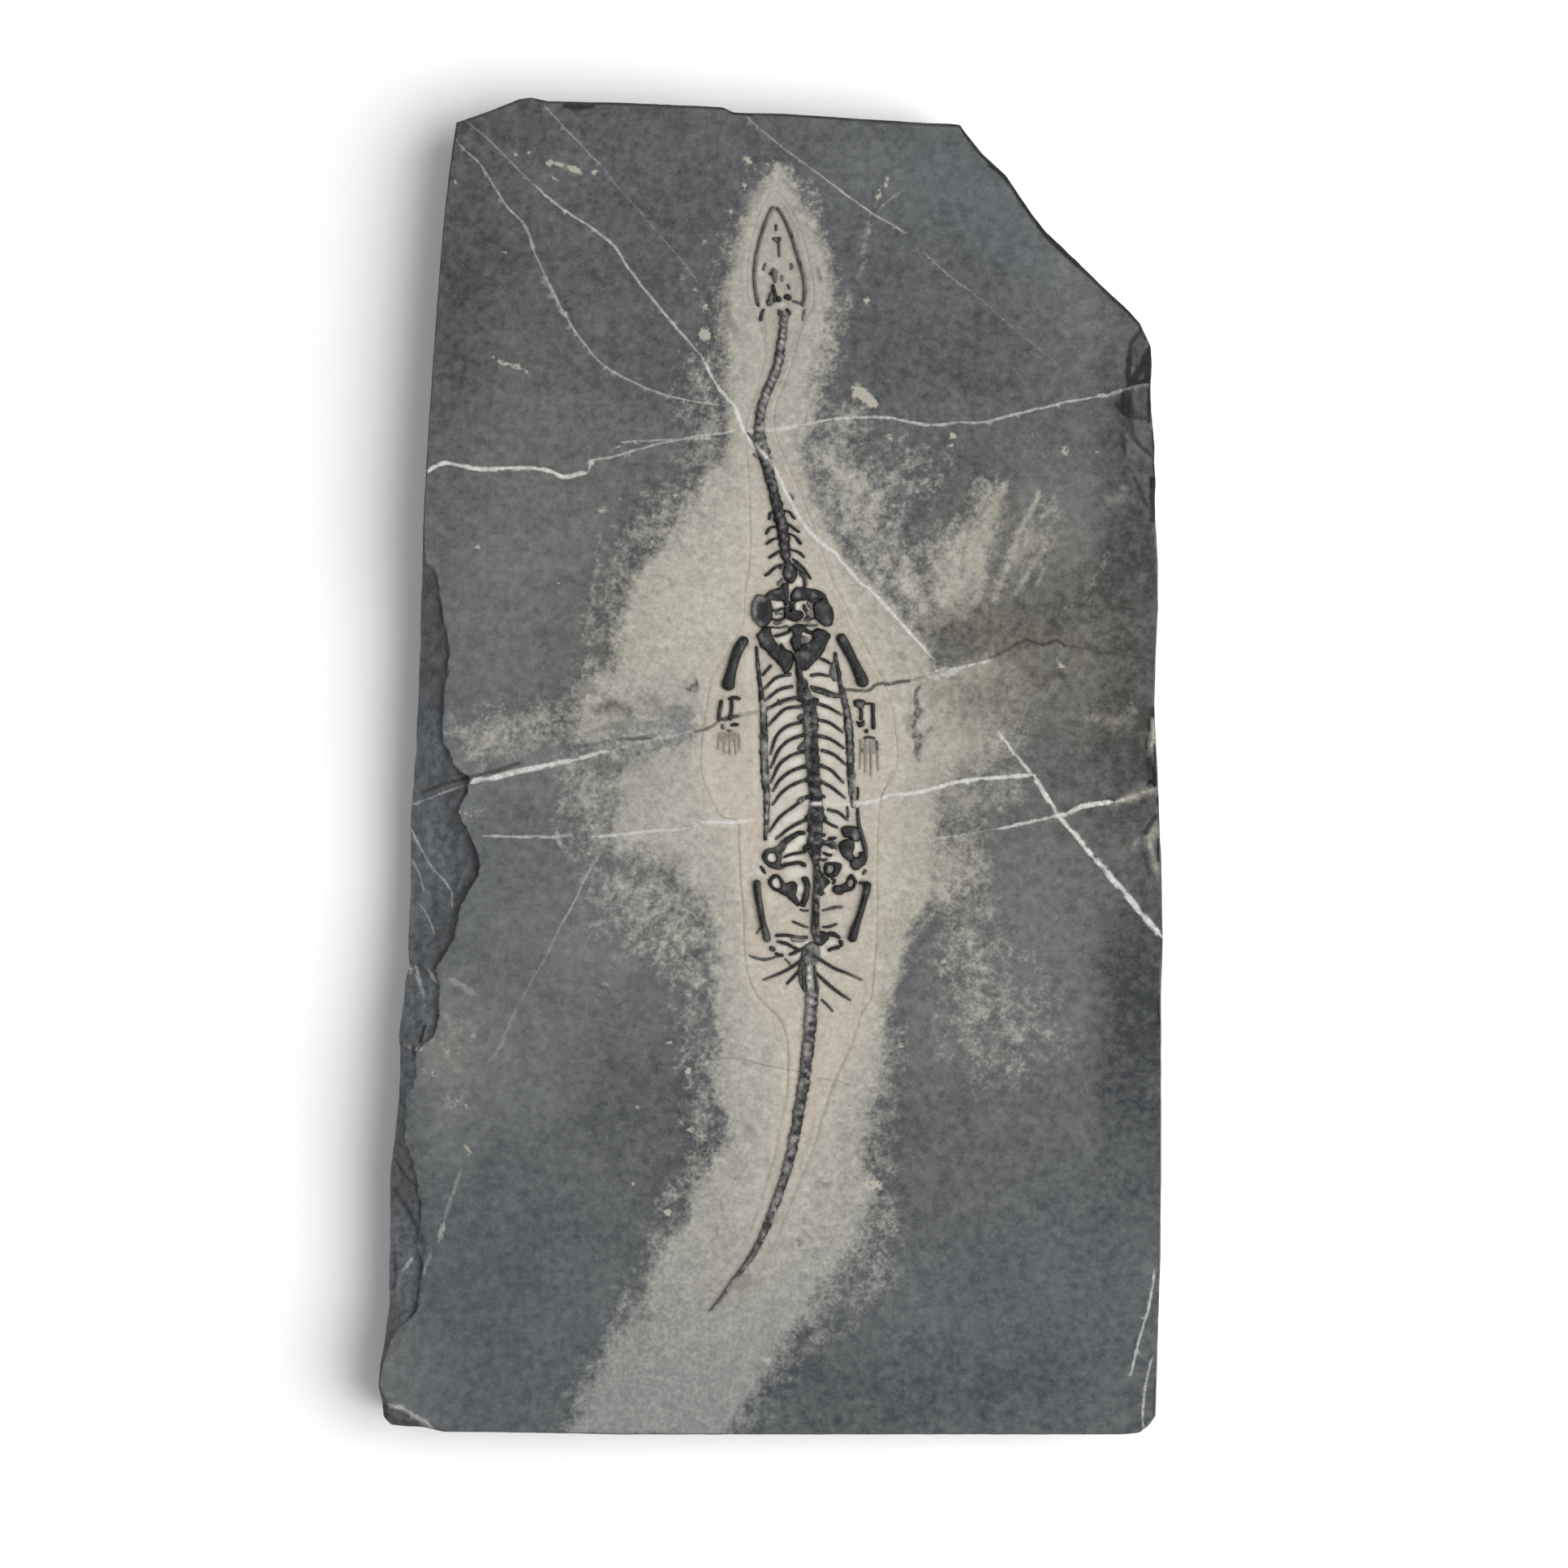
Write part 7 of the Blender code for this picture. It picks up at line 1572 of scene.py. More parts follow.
bone("fibula_right_fossil", [tube([(1020, 1172, 4.4), (1026, 1168.5, 4.8), (1036, 1167, 5)], 0.0006, lumps=0.2,
                                  spots=[(1024, 1170, 4, 3, -0.2)])], "fibula_right")

# ----------------------------------------------------------------------- tail
bone("caudal_rib_left_1_fossil", [tube(
    [(988, 1183, 4.4), (980, 1189, 4), (970, 1195, 4), (960, 1200, 3.6), (950, 1204, 3), (940, 1208, 2.2)], 0.0005,
    spots=[(945, 1206, 8, 4, 0.35)], lumps=0.14)], "caudal_rib_left_1")
bone("caudal_rib_left_2_fossil", [tube([(985, 1196, 4), (978, 1204, 4), (969, 1213, 3)], 0.0005, lumps=0.14)],
     "caudal_rib_left_2")
bone("caudal_rib_right_1_fossil", [tube(
    [(1009, 1181, 4.4), (1018, 1187, 4.2), (1030, 1194, 4), (1046, 1200, 3.2), (1063, 1208, 2.2)], 0.0005,
    spots=[(1055, 1204, 12, 5, 0.30)], lumps=0.14)], "caudal_rib_right_1")
bone("caudal_rib_right_2_fossil", [tube(
    [(1003, 1196, 3.6), (1011, 1204, 4), (1022, 1214, 4.4), (1035, 1224, 4), (1049, 1233, 2.6)], 0.0005,
    spots=[(1044, 1230, 6, 4, 0.15)], lumps=0.14)], "caudal_rib_right_2")
TAIL = [
    (997, 1187, 7), (997, 1204, 8.4), (998.4, 1216, 11), (1000.2, 1226, 15), (999.2, 1240, 16.2),
    (998.2, 1262, 16.2), (996.4, 1280, 15.8), (994.4, 1300, 15.2), (992, 1320, 14.8), (989.4, 1340, 14.6),
    (986.2, 1360, 14.6), (982.6, 1380, 14), (979, 1400, 13.8), (974.8, 1422, 13.0), (968.8, 1444, 12.2),
    (962, 1466, 11.4), (955, 1484, 10.8), (948, 1503, 10.0), (940, 1522, 9.0), (931, 1540, 8.0),
    (919.6, 1558, 7.0), (906.4, 1575, 6), (894, 1592, 4.8), (883.6, 1606, 3.6), (875, 1616, 2.6)]
tail_spots = [
    (1002, 1276, 3, 6, -0.2), (991, 1307.5, 2, 2.4, -0.4), (997.4, 1317, 2.6, 4, -0.4), (988, 1326, 2.6, 3, -0.3),
    (994, 1340, 2.4, 5, -0.3), (990.5, 1357, 3, 4, -0.3), (983, 1363, 2.6, 2.4, -0.2), (986.5, 1376, 3, 3.4, -0.3),
    (983.5, 1394, 3, 4, -0.3), (978, 1414, 3, 4, -0.3), (974, 1430, 3, 5, -0.3), (967, 1449, 3, 4, -0.25),
    (963, 1465, 2.6, 4, -0.25), (955, 1483, 2.6, 4, -0.25), (944, 1512, 3, 4, -0.2), (935, 1532, 3, 4, -0.15),
    (997, 1255, 2.4, 4, 0.60), (999, 1236, 2.4, 3, 0.40), (994.5, 1292, 2.6, 4, 0.30), (990, 1313, 2, 3, 0.26),
    (986, 1334, 2.4, 3.4, 0.40), (982.5, 1356, 2.2, 3, 0.30), (980, 1372, 2.4, 3, 0.22), (978, 1388, 2.2, 3, 0.16),
    (1004, 1262, 2, 14, -0.2), (1005, 1232, 2, 8, -0.3), (958, 1474, 2, 3, 0.16), (965, 1456, 2, 3, 0.14)]
bone("tail_vertebrae_fossil", [
    column(TAIL, lambda t: 11.0 - 2.6 * max(0.0, t - 0.3) / 0.7, 0.0011,
           [(1187, 1.25), (1211, 1.25), (1220, 0.60), (1240, 0.44), (1262, 0.45), (1300, 0.36), (1420, 0.38),
            (1445, 0.41), (1500, 0.44), (1540, 0.46), (1575, 0.54), (1615, 0.66)], spots=tail_spots, lean=0.24,
           mottle=0.60, ragged=0.24, joint=0.10, knob=0.14, skew=0.10,
           dots=[(1220, 0.3), (1262, 0.38), (1340, 0.34), (1420, 0.16), (1500, 0.08), (1560, 0.02), (1615, 0)],
           shift_dots=-2.2, pits=0.7),
    plate([(984, 1188), (991, 1190), (992.5, 1205), (993, 1222), (988, 1218), (984, 1208)], 0.0005, rim=2.0,
          light=0.26, spots=[(988, 1200, 1.4, 10, -0.4), (990, 1212, 1.2, 6, -0.4), (986, 1206, 1.2, 6, 0.3)]),
    plate([(990, 1167), (1000, 1160), (1008, 1165), (1010, 1175), (1008, 1185), (1002, 1191), (993, 1191),
           (988, 1184), (987, 1175)], 0.0006, rim=3, light=0.34,
          spots=[(994, 1172, 3, 3, -0.35), (1003, 1178, 3, 3, -0.4), (998, 1166, 3, 3, 0.3), (996, 1183, 3, 2.4, 0.3),
                 (1006, 1170, 2, 4, 0.2), (990, 1180, 2, 3, -0.3)])], "tail_vertebrae")
bone("stray_oval_bone", [plate([(904, 1583), (908, 1576), (916, 1571), (924, 1573), (925, 1581), (918, 1588),
                                (910, 1590)], 0.00012, light=0.76, rim=3, base=BONE_BASE - 0.00004, flush=True)])


# ---------------------------------------------------------------------- slab
def make_slab():
    shake = np.random.default_rng(23)
    rim = resample([(u, v, drop) for u, v, _, _, drop in EDGE], 4.6, closed=True)
    nrm = normals(rim, closed=True)
    run = np.arange(len(rim)) * 4.6
    rough_edge = 0.35 + 0.5 * step(rim[:, 2], 0.7, 3.0)
    wob = noise(rim[:, 0], rim[:, 1], 22.0, 5, 3) * rough_edge
    rim[:, :2] += nrm * wob[:, None]
    count = len(rim)
    sound = resample(SOUND, 3.0, closed=True)
    snrm = normals(sound, closed=True)
    d_edge = to_line(sound, rim, 100, True)[0]
    ragged = step(d_edge, 5, 16)
    sound += snrm * (noise(sound[:, 0], sound[:, 1], 13.0, 9, 3) * (0.4 + 2.6 * ragged)
                     + noise(sound[:, 0], sound[:, 1], 4.0, 10, 2) * 0.9 * ragged)[:, None]
    field = resample(smooth(FIELD, 4, closed=True), 3.0, closed=True)

    points = []
    for off in (-1.3, -0.2, 0.9, 2.2):
        points.append(sound + snrm * off)
    for off in (-3.0, -1.4, 0.0, 1.4, 3.0):
        points.append(field + normals(field, closed=True) * off)
    for half, strength, line in VEINS:
        path = resample(smooth(line, 3), 3.4)
        side = normals(path)
        for off in (-1.7, -0.75, 0.0, 0.75, 1.7):
            points.append(path + side * off * half)
    for half, strength, line in CRACKS:
        path = resample(smooth(line, 3), 3.2)
        side = normals(path)
        for off in (-1.8, -0.8, 0.0, 0.8, 1.8):
            points.append(path + side * off * half)
    for strength, half, line in RIM_SHADOWS:
        path = resample(smooth(line, 3), 3.0)
        side = normals(path)
        for off in (-1.5, -0.6, 0.0, 0.6, 1.5):
            points.append(path + side * off * half)
    for line in FAINT:
        path = resample(smooth(line, 3), 3.2)
        side = normals(path)
        for off in (-1.6, 0.0, 1.6):
            points.append(path + side * off)
    for strength, half, line in SMUDGES + STREAKS:
        path = resample(smooth(line, 3), 4.5)
        side = normals(path)
        for off in (-1.5, -0.7, 0.0, 0.7, 1.5):
            points.append(path + side * off * half)
    for u, v, ru, rv, turn, strength in FLECKS + TANS:
        n = 14
        a = np.linspace(0, 2 * np.pi, n, endpoint=False)
        c, s = math.cos(math.radians(turn)), math.sin(math.radians(turn))
        for k in (0.0, 0.5, 1.0, 1.6):
            x, y = k * ru * np.cos(a), k * rv * np.sin(a)
            points.append(np.column_stack([u + x * c - y * s, v + x * s + y * c])[:1 if k == 0 else n])

    def grid(spacing, low=(460, 110), high=(1440, 1775)):
        gu, gv = np.meshgrid(np.arange(low[0], high[0], spacing), np.arange(low[1], high[1], spacing * 0.87))
        gu = gu + (np.arange(gv.shape[0]) % 2)[:, None] * spacing / 2
        p = np.column_stack([gu.ravel(), gv.ravel()])
        return p + shake.uniform(-0.28, 0.28, p.shape) * spacing

    halo_line = arr(HALO)
    coarse = grid(9.0)
    in_field = inside(coarse, FIELD)
    near_halo = inside(coarse, halo_line) | (to_line(coarse, halo_line, 30, True)[0] < 26)
    in_scar = ~inside(coarse, sound)
    points.append(coarse[~in_field & ~near_halo & ~in_scar])
    middle = grid(6.2)
    in_field = inside(middle, FIELD)
    near_halo = inside(middle, halo_line) | (to_line(middle, halo_line, 30, True)[0] < 26)
    points.append(middle[~in_field & near_halo])
    chips = grid(4.0)
    chips = chips[inside(chips, rim)]
    points.append(chips[~inside(chips, sound)])
    low, high = (855, 225), (1110, 1640)
    close = grid(3.4, low, high)
    close = close[inside(close, FIELD)]
    busy = ((close[:, 1] > 715) & (close[:, 1] < 1235) & (close[:, 0] > 924) & (close[:, 0] < 1078)
            | (close[:, 1] < 400))
    points.append(close[~busy])
    tight = grid(2.5, low, high)
    tight = tight[inside(tight, FIELD)]
    busy = ((tight[:, 1] > 715) & (tight[:, 1] < 1235) & (tight[:, 0] > 924) & (tight[:, 0] < 1078)
            | (tight[:, 1] < 400))
    points.append(tight[busy])

    p = np.vstack([q[:, :2] for q in points])
    p = p[inside(p, rim)]
    p = p[to_line(p, rim, 5, True)[0] > 1.3]
    # one point per small cell, the earlier (shape) points first
    cell = np.where(((p[:, 0] > 855) & (p[:, 0] < 1110)), 1.15, 1.5)
    key = np.round(p[:, 0] / cell).astype(np.int64) * 100000 + np.round(p[:, 1] / cell).astype(np.int64)
    _, keep = np.unique(key, return_index=True)
    p = p[np.sort(keep)]

    top = np.vstack([rim[:, :2], p])
    edges = [(i, (i + 1) % count) for i in range(count)]
    got = delaunay_2d_cdt([Vector((q[0], -q[1])) for q in top], edges, [], 0, 1e-7)
    back = [ids[0] for ids in got[3]]
    tris = np.array([[back[i] for i in f] for f in got[2]])
    tris = tris[inside(top[tris].mean(1), rim[:, :2])]

    # walls: rows below the rim, then the underside
    rows = 20
    levels = (np.arange(1, rows + 1) / rows) ** 0.92
    drop_rim = rim[:, 2] / 1000
    z_rim = TOP - drop_rim
    wall_u, wall_v, wall_z = [], [], []
    for k, f in enumerate(levels):
        z = z_rim * (1 - f)
        bed = noise3(run / 55.0, z / 0.0016, 0.0, 31) * 0.9 + noise3(run / 17.0, z / 0.0008, 0.0, 37) * 0.7
        lump = noise3(run / 70.0, z / 0.007, 3.0, 41) * 1.6 + noise3(run / 24.0, z / 0.004, 5.0, 43) * 1.2
        ledge = np.round(noise3(run / 40.0, z / 0.0030, 9.0, 47) * 2.2) * 0.9
        away = np.clip(0.6 + lump + bed + ledge, 0.0, 7.0) * step(f, 0.0, 0.10)
        foot = 4.0 * step(f, 0.93, 1.0)
        wall_u.append(rim[:, 0] + nrm[:, 0] * 0 + nrm[:, 0] * (away + foot) * INWARD)
        wall_v.append(rim[:, 1] + nrm[:, 1] * (away + foot) * INWARD)
        wall_z.append(z + 0.00010 * noise3(run / 9.0, f * 20, 0.0, 53) * (0 < f < 1 and k < rows - 1))
    under_ring = np.column_stack([wall_u[-1], wall_v[-1]])
    under = grid(24.0)
    under = under[inside(under, under_ring)]
    under = under[to_line(under, under_ring, 20, True)[0] > 9]
    got = delaunay_2d_cdt([Vector((q[0], -q[1])) for q in np.vstack([under_ring, under])],
                          edges, [], 0, 1e-7)
    back = [ids[0] for ids in got[3]]
    floor_tris = np.array([[back[i] for i in f] for f in got[2]])
    both = np.vstack([under_ring, under])
    floor_tris = floor_tris[inside(both[floor_tris].mean(1), under_ring)]

    n_top, n_wall = len(top), rows * count
    U = np.concatenate([top[:, 0], *wall_u, under[:, 0]])
    V = np.concatenate([top[:, 1], *wall_v, under[:, 1]])
    P = np.column_stack([U, V])
    is_top = np.arange(len(U)) < n_top
    is_wall = (~is_top) & (np.arange(len(U)) < n_top + n_wall)
    is_under = ~(is_top | is_wall)

    # ---- where everything shows
    def lines(items, soft, grow=0.0):
        out = np.zeros(len(P))
        for half, strength, line in items:
            d = to_line(P, smooth(line, 3), half + soft + 4)[0]
            out = np.maximum(out, strength * step(d, half + soft, max(half - soft * 0.6, 0) + grow))
        return out

    def blobs(items):
        out = np.zeros(len(P))
        for u, v, ru, rv, turn, amount in items:
            out += amount * blob(P, u, v, ru, rv, turn)
        return out

    d, soft, _ = to_line(P, halo_line, 60, True)
    soft = np.where(soft > 0, soft, 12) * 1.5
    signed = np.where(inside(P, halo_line), d, -d)
    halo = np.clip(0.5 + signed / (2 * soft), 0, 1)
    deep = step(to_line(P, halo_line, 110, True)[0], 4.0, 95.0) * (signed > 0)
    for strength, softness, outline in PATCHES:
        d = to_line(P, outline, softness * 2, True)[0]
        d = np.where(inside(P, outline), d, -d)
        halo = np.maximum(halo, strength * np.clip(0.5 + d / (2 * softness), 0, 1))
    for strength, softness, outline in CLEAR:
        d = to_line(P, outline, softness * 2, True)[0]
        d = np.where(inside(P, outline), d, -d)
        halo *= 1 - strength * np.clip(0.5 + d / (2 * softness), 0, 1)
    halo *= 1 - np.clip(blobs(THIN), 0, 0.9)
    streak = np.zeros(len(P))
    for strength, half, line in STREAKS:
        d = to_line(P, smooth(line, 3), half * 3)[0]
        streak = np.maximum(streak, strength * step(d, half * 1.8, half * 0.3))
    halo = np.clip(halo + streak * (1 - halo), 0, 1)
    d_field, _, _ = to_line(P, field, 40, True)
    within = np.where(inside(P, field), d_field, -d_field)
    blur = within + 5 * noise(U, V, 20.0, 73, 2)
    inner = np.where(within > 0, 0.72 + 0.28 * step(blur, 0.0, 10.0), 0.72 * step(blur, -28.0, 0.0))
    inner = inner * np.interp(V, [200, 236, 1380, 1480, 1560, 1640], [0, 1, 1, 0.8, 0.5, 0.2])
    bright = np.zeros(len(P))
    for u, v, ru, rv, turn, amount in BRIGHTS:
        if amount <= 0:
            continue
        bright = np.maximum(bright, amount * step(blob(P, u, v, ru, rv, turn), 0.28, 0.78))
    trunk_area = [(946, 838), (985, 828), (1000, 820), (1030, 822), (1038, 860), (1044, 900), (1044, 960),
                  (1050, 1010), (1030, 1030), (1000, 1010), (960, 1035), (948, 1020), (950, 960), (946, 900)]
    d = to_line(P, trunk_area, 20, True)[0]
    bright = np.maximum(bright, 0.30 * step(np.where(inside(P, trunk_area), d, -d), -2, 4))
    vein = np.zeros(len(P))
    for half, strength, line in VEINS:
        path = smooth(line, 3)
        d, along, side_of = to_line(P, path, half + 6)
        wide = half * (1 + 0.55 * noise(U, V, 7.0, 61, 2))
        d = np.abs(d * side_of + 0.9 * noise(U, V, 11.0, 65, 2) * step(np.full(len(P), half), 0.8, 1.6))
        end = np.clip(np.minimum(along, 1 - along) * len(line) * 3, 0.35, 1)
        vein = np.maximum(vein, strength * step(d, wide * end + 0.75, wide * end - 0.75)
                          * (0.82 + 0.22 * noise(U, V, 10.0, 63, 2)))
    crack = lines(CRACKS, 0.8)
    faint = np.zeros(len(P))
    for line in FAINT:
        faint = np.maximum(faint, 0.35 * step(to_line(P, smooth(line, 3), 8)[0], 3.0, 0.6))
    groove = step(np.abs(within) / np.interp(V, [1240, 1330, 1500], [1.0, 1.4, 1.8]), 1.9, 0.3)
    middle_line = np.interp(V, [240, 380, 500, 560, 700, 900, 1200, 1300, 1400, 1500, 1600, 1640],
                            [955, 962, 938, 945, 970, 990, 1000, 998, 980, 950, 890, 866])
    on_left = np.interp(V, [230, 380, 395, 440, 460, 590, 640, 720, 740, 830, 860, 960, 1000, 1300, 1380, 1450,
                            1520, 1600, 1622, 1636],
                        [.15, .15, .35, .25, .05, .10, .60, .50, .15, .20, .50, .50, .90, .95, .60, .50,
                         .42, .32, .15, 0])
    on_right = np.interp(V, [230, 380, 395, 440, 460, 600, 700, 830, 1000, 1130, 1180, 1300, 1380, 1450, 1520,
                             1600, 1622, 1636],
                         [.15, .15, .35, .25, .02, .02, .05, .10, .12, .20, .75, .70, .60, .50, .42, .32, .15, 0])
    strength_of_line = (np.where(U < middle_line, on_left, on_right) * (1 + 0.5 * noise(U, V, 30.0, 71, 2)))
    faint = np.maximum(faint, groove * np.clip(strength_of_line, 0.0, 1.0))
    smudge = np.zeros(len(P))
    for strength, half, line in SMUDGES:
        d = to_line(P, smooth(line, 3), half * 3)[0] + half * 0.8 * noise(U, V, 9.0, 75, 2)
        smudge = np.maximum(smudge, strength * step(d, half * 1.5, half * 0.5))
    fleck = np.zeros(len(P))
    for u, v, ru, rv, turn, amount in FLECKS:
        fleck = np.maximum(fleck, amount * step(blob(P, u, v, ru, rv, turn), 0.25, 0.75))
    tone = 0.13 + blobs(TONES)
    tone -= step(U, 1334.0, 1370.0) * np.interp(V, [330, 400, 450, 540, 600, 660, 720, 800, 900, 1000, 1060, 1160,
                                                    1240, 1320, 1420, 1520, 1600],
                                                [.10, .12, .07, .08, .13, .20, .16, .10, .13, .11, .07, .12,
                                                 .15, .14, .09, .02, 0])
    # painted shadow along the edges and in the hollows of the broken rim
    rim_shadow = np.zeros(len(P))
    for strength, half, line in RIM_SHADOWS:
        d = to_line(P, smooth(line, 3), half * 3)[0]
        wide = half * (1 + 0.35 * noise(U, V, 8.0, 67, 2))
        rim_shadow = np.maximum(rim_shadow, strength * step(d, wide * 1.35 + 0.5, wide * 0.55))
    worn = np.clip(blobs(TANS), 0, 1)
    # how grey the pale matrix is, along the length and in places
    dull = np.interp(V, [200, 420, 540, 640, 740, 860, 960, 1100, 1200, 1300, 1400, 1480, 1560, 1620, 1700, 1760],
                     [.20, .22, .22, .13, .11, .11, .12, .03, .09, .24, .33, .45, .57, .76, .93, 1.0])
    dull = np.clip(dull + 0.30 * blob(P, 790, 980, 70, 80) + 0.20 * blob(P, 885, 1150, 40, 90)
                   + 0.3 * blob(P, 840, 890, 60, 26), 0, 1)
    dull_inner = np.interp(V, [240, 360, 420, 520, 600, 700, 1380, 1480, 1550, 1610, 1640],
                           [0.44, 0.40, 0.42, 0.34, 0.20, 0.0, 0.0, 0.2, 0.5, 0.75, 0.9])
    brown, blue = np.clip(blobs(BROWNS), 0, 1), np.clip(blobs(BLUES), 0, 1)
    d_sound = to_line(P, sound, 110, True)[0]
    beyond = np.where(inside(P, sound), -d_sound, d_sound)
    scar = step(beyond, -0.4, 1.0)
    scar[~is_top] = 0
    # the marks of the rim end a little way down the sides
    fade = np.repeat(step(levels, 0.22, 0.02), count)
    for marks in (rim_shadow, worn, crack, smudge, fleck):
        marks[n_top:n_top + n_wall] *= fade
        marks[is_under] = 0
    wall = np.where(is_top, 0.0, 1.0)
    wall[:count] = 0.35

    # ---- brown residue and painted contact shade along the bones
    residue_and_shade = np.zeros(len(P))
    near = is_top & (within > -4)
    q = P[near]
    shade = np.zeros(len(q))
    for co in outlines:
        bu, bv = co[:, 0] / GRID + CENTRE[0], CENTRE[1] - co[:, 1] / GRID
        lo_u, hi_u, lo_v, hi_v = bu.min() - 4, bu.max() + 4, bv.min() - 4, bv.max() + 4
        pick = np.where((q[:, 0] > lo_u) & (q[:, 0] < hi_u) & (q[:, 1] > lo_v) & (q[:, 1] < hi_v))[0]
        if not len(pick):
            continue
        bone_points = np.column_stack([bu, bv])
        for k in range(0, len(pick), 400):
            part = pick[k:k + 400]
            dd = np.hypot(q[part, None, 0] - bone_points[None, :, 0], q[part, None, 1] - bone_points[None, :, 1]).min(1)
            shade[part] = np.maximum(shade[part], step(dd, 2.2, 0.5))
    residue_and_shade[near] = 0.42 * shade

    # ---- relief
    z = np.zeros(len(P))
    d_rim, drop, _ = to_line(P, rim, 130, True)
    share = np.clip(beyond, 0, None) / np.maximum(np.clip(beyond, 0, None) + d_rim, 1e-6)
    depth = drop / 1000
    crisp = step(beyond, -0.3, 1.4)
    facet = noise(U, V, 26.0, 81, 2) * 0.20 + np.abs(noise(U, V, 11.0, 83, 2)) * 0.14
    ripples = 0.05 * np.sin(beyond / 3.1 + 3 * noise(U, V, 18.0, 85))
    wide_scar = step(beyond + d_rim, 12, 24)
    lip = np.interp(V, [1180, 1300], [0.30, 0.12])
    fall = np.where(beyond > -0.3,
                    crisp * (lip + (1 - lip) * share ** 0.8) + crisp * wide_scar * (facet + ripples) * (1 - share) * 1.2, 0)
    z_top = TOP - depth * np.clip(fall, 0, 1.15)
    face = 1 - crisp
    z_top += face * (0.00006 * noise(U, V, 60.0, 91, 2) + 0.000035 * noise(U, V, 14.0, 93, 2)
                     + 0.00002 * noise(U, V, 5.0, 95))
    z_top -= face * 0.00004 * halo * np.clip(noise(U, V, 9.0, 97, 2), 0, 1)
    shallow = np.interp(V, [1250, 1400, 1560, 1630], [1.0, 0.6, 0.25, 0.0])
    z_top -= shallow * (0.00018 * step(within, -4.0, 14.0) + 0.00012 * groove * face)
    z_top += face * 0.00007 * vein + 0.00003 * bright * face
    z_top -= 0.00022 * crack * (0.6 + 0.4 * noise(U, V, 7.0, 99))
    z_top -= face * 0.00008 * step(smudge, 0.3, 0.8)
    z_top += face * 0.00006 * fleck
    z = np.where(is_top, z_top, 0.0)
    z[:count] = z_rim
    z[n_top:n_top + n_wall] = np.concatenate(wall_z)
    z[n_top + n_wall - count:n_top + n_wall] = 0.0
    z[is_under] = 0.00012 * (1 + noise(U, V, 60.0, 103, 2))[is_under]

    faces = [tuple(t) for t in tris.tolist()]
    ring = np.arange(count)
    for k in range(rows):
        upper = ring if k == 0 else n_top + (k - 1) * count + ring
        lower = n_top + k * count + ring
        a, b = upper, np.roll(upper, -1)
        c, d = np.roll(lower, -1), lower
        faces += np.column_stack([a, b, c, d]).tolist()
    n_faces_side = len(faces)
    shift = np.concatenate([n_top + (rows - 1) * count + ring, n_top + n_wall + np.arange(len(under))])
    faces += [tuple(reversed(t)) for t in shift[floor_tris].tolist()]

    co = place(U, V, z)
    attributes = dict(halo=halo, inner=inner, bright=bright, vein=vein, crack=crack, scar=scar, wall=wall,
                      smudge=smudge, fleck=fleck, tone=tone, brown=brown, blue=blue, residue_and_shade=residue_and_shade, faint=faint,
                      rim_shadow=rim_shadow, worn=worn, dull=dull, dull_inner=dull_inner, deep=deep)
    made = build("slab_stone", co, faces, attributes, STONE, ["slab"])
    made.data.set_sharp_from_angle(angle=math.radians(38))

    # an even map for the face, the walls and the underside
    mesh = made.data
    layer = mesh.uv_layers.new(name="OFBake")
    loops = np.zeros(len(mesh.loops), np.int64)
    mesh.loops.foreach_get("vertex_index", loops)
    starts = np.zeros(len(mesh.polygons), np.int64)
    totals = np.zeros(len(mesh.polygons), np.int64)
    mesh.polygons.foreach_get("loop_start", starts)
    mesh.polygons.foreach_get("loop_total", totals)
    face_of = np.repeat(np.arange(len(totals)), totals)
    uv = np.zeros((len(loops), 2))
    lu, lv = U[loops], V[loops]
    n_tris = len(tris)
    on_top = face_of < n_tris
    uv[on_top, 0] = 0.004 + (lu[on_top] - 462) / 1665 * 0.99
    uv[on_top, 1] = 0.996 - (lv[on_top] - 112) / 1665 * 0.99
    on_side = (face_of >= n_tris) & (face_of < n_faces_side)
    side_face = face_of[on_side] - n_tris
    column, row = side_face % count, side_face // count
    corner = (np.arange(len(loops)) - starts[face_of])[on_side]
    col = column + np.isin(corner, (1, 2))
    rw = row + np.isin(corner, (2, 3))
    strips, per = 4, math.ceil(count / 4)
    strip = column // per
    uv[on_side, 0] = 0.600 + strip * 0.068 + 0.062 * rw / rows
    uv[on_side, 1] = 0.005 + 0.775 * (col - strip * per) / per
    below = face_of >= n_faces_side
    uv[below, 0] = 0.595 + (lv[below] - 112) / 1665 * 0.335
    uv[below, 1] = 0.790 + (lu[below] - 462) / 975 * 0.200
    layer.data.foreach_set("uv", uv.astype(np.float32).ravel())
    print(f"slab: {len(co)} points, {sum(len(f) - 2 for f in faces)} triangles, {n_tris} on the face")
    return made


# the right-hand side of travel, clockwise on the grid with v down, points into the slab
INWARD = 1.0
make_slab()

# ------------------------------------------------------- floor, light, camera
floor_mesh = bpy.data.meshes.new("floor")
floor_mesh.from_pydata([(-3, -3, -0.0002), (3, -3, -0.0002), (3, 3, -0.0002), (-3, 3, -0.0002)], [], [(0, 1, 2, 3)])
floor = bpy.data.objects.new("floor", floor_mesh)
bpy.context.scene.collection.objects.link(floor)
pale = bpy.data.materials.new("floor_white")
pale.use_nodes = True
pale.node_tree.nodes["Principled BSDF"].inputs["Base Color"].default_value = (0.98, 0.98, 0.98, 1)
pale.node_tree.nodes["Principled BSDF"].inputs["Roughness"].default_value = 0.9
pale.node_tree.nodes["Principled BSDF"].inputs["Specular IOR Level"].default_value = 0.1
floor_mesh.materials.append(pale)

world = bpy.data.worlds.new("studio")
bpy.context.scene.world = world
world.use_nodes = True
world.node_tree.nodes["Background"].inputs["Color"].default_value = (1, 1, 1, 1)
world.node_tree.nodes["Background"].inputs["Strength"].default_value = 0.42


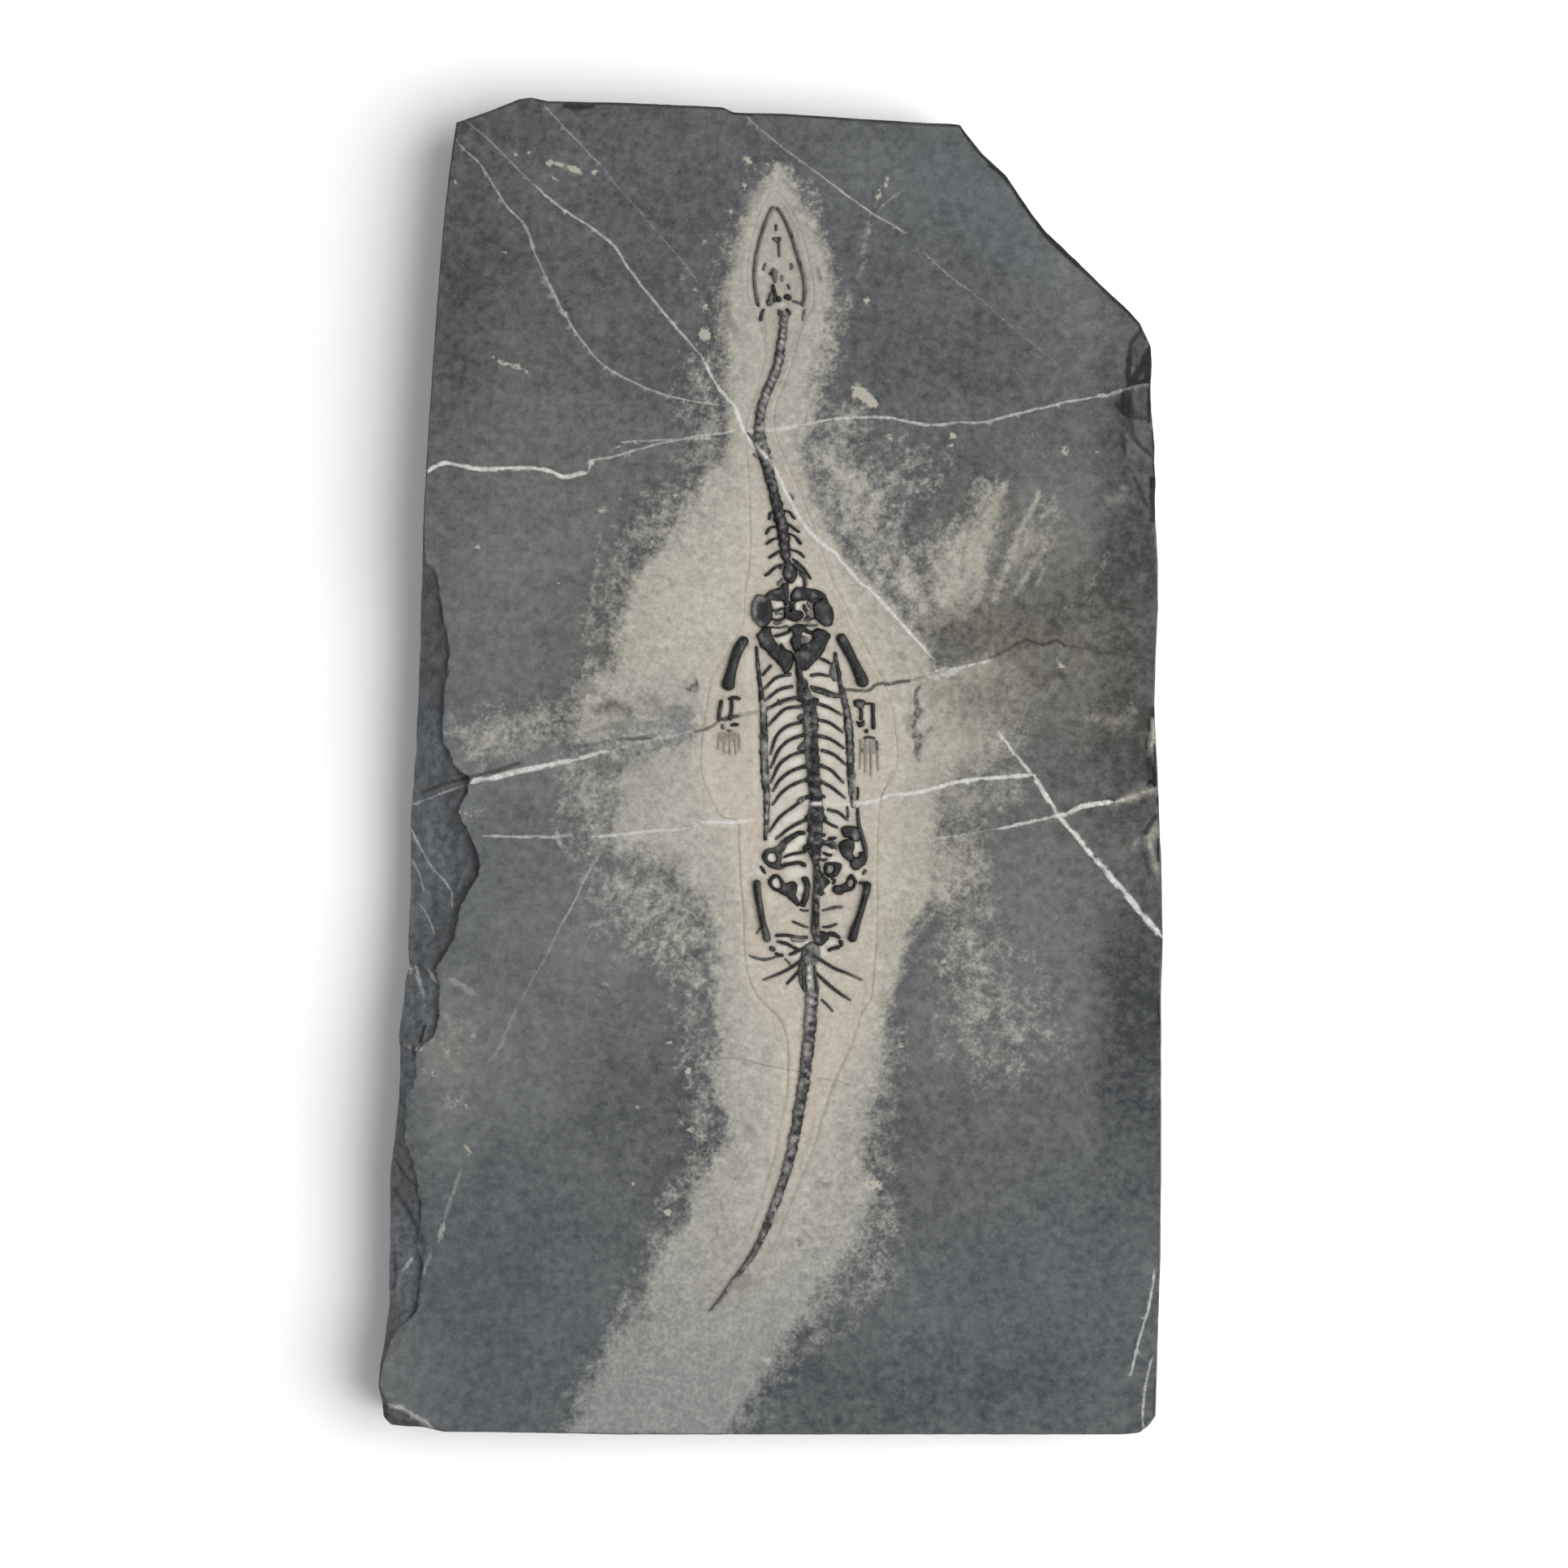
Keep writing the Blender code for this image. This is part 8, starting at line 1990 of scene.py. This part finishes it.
def lamp(name, place_at, aim, size, power, colour=(1, 1, 1)):
    data = bpy.data.lights.new(name, "AREA")
    data.shape = "DISK"
    data.size = size
    data.energy = power
    data.color = colour
    made = bpy.data.objects.new(name, data)
    made.location = place_at
    made.rotation_mode = "QUATERNION"
    made.rotation_quaternion = (Vector(aim) - Vector(place_at)).to_track_quat("-Z", "Y")
    bpy.context.scene.collection.objects.link(made)
    return made


lamp("key", (0.68, -0.10, 0.87), (0, 0, 0), 1.15, 15.5)

camera_data = bpy.data.cameras.new("camera")
camera_data.lens = 85
camera_data.sensor_width = 36
camera = bpy.data.objects.new("camera", camera_data)
camera.location = ((966 - CENTRE[0]) * GRID, (CENTRE[1] - 966) * GRID, TOP + 0.7755)
bpy.context.scene.collection.objects.link(camera)
bpy.context.scene.camera = camera
bpy.context.scene.view_settings.view_transform = "Standard"
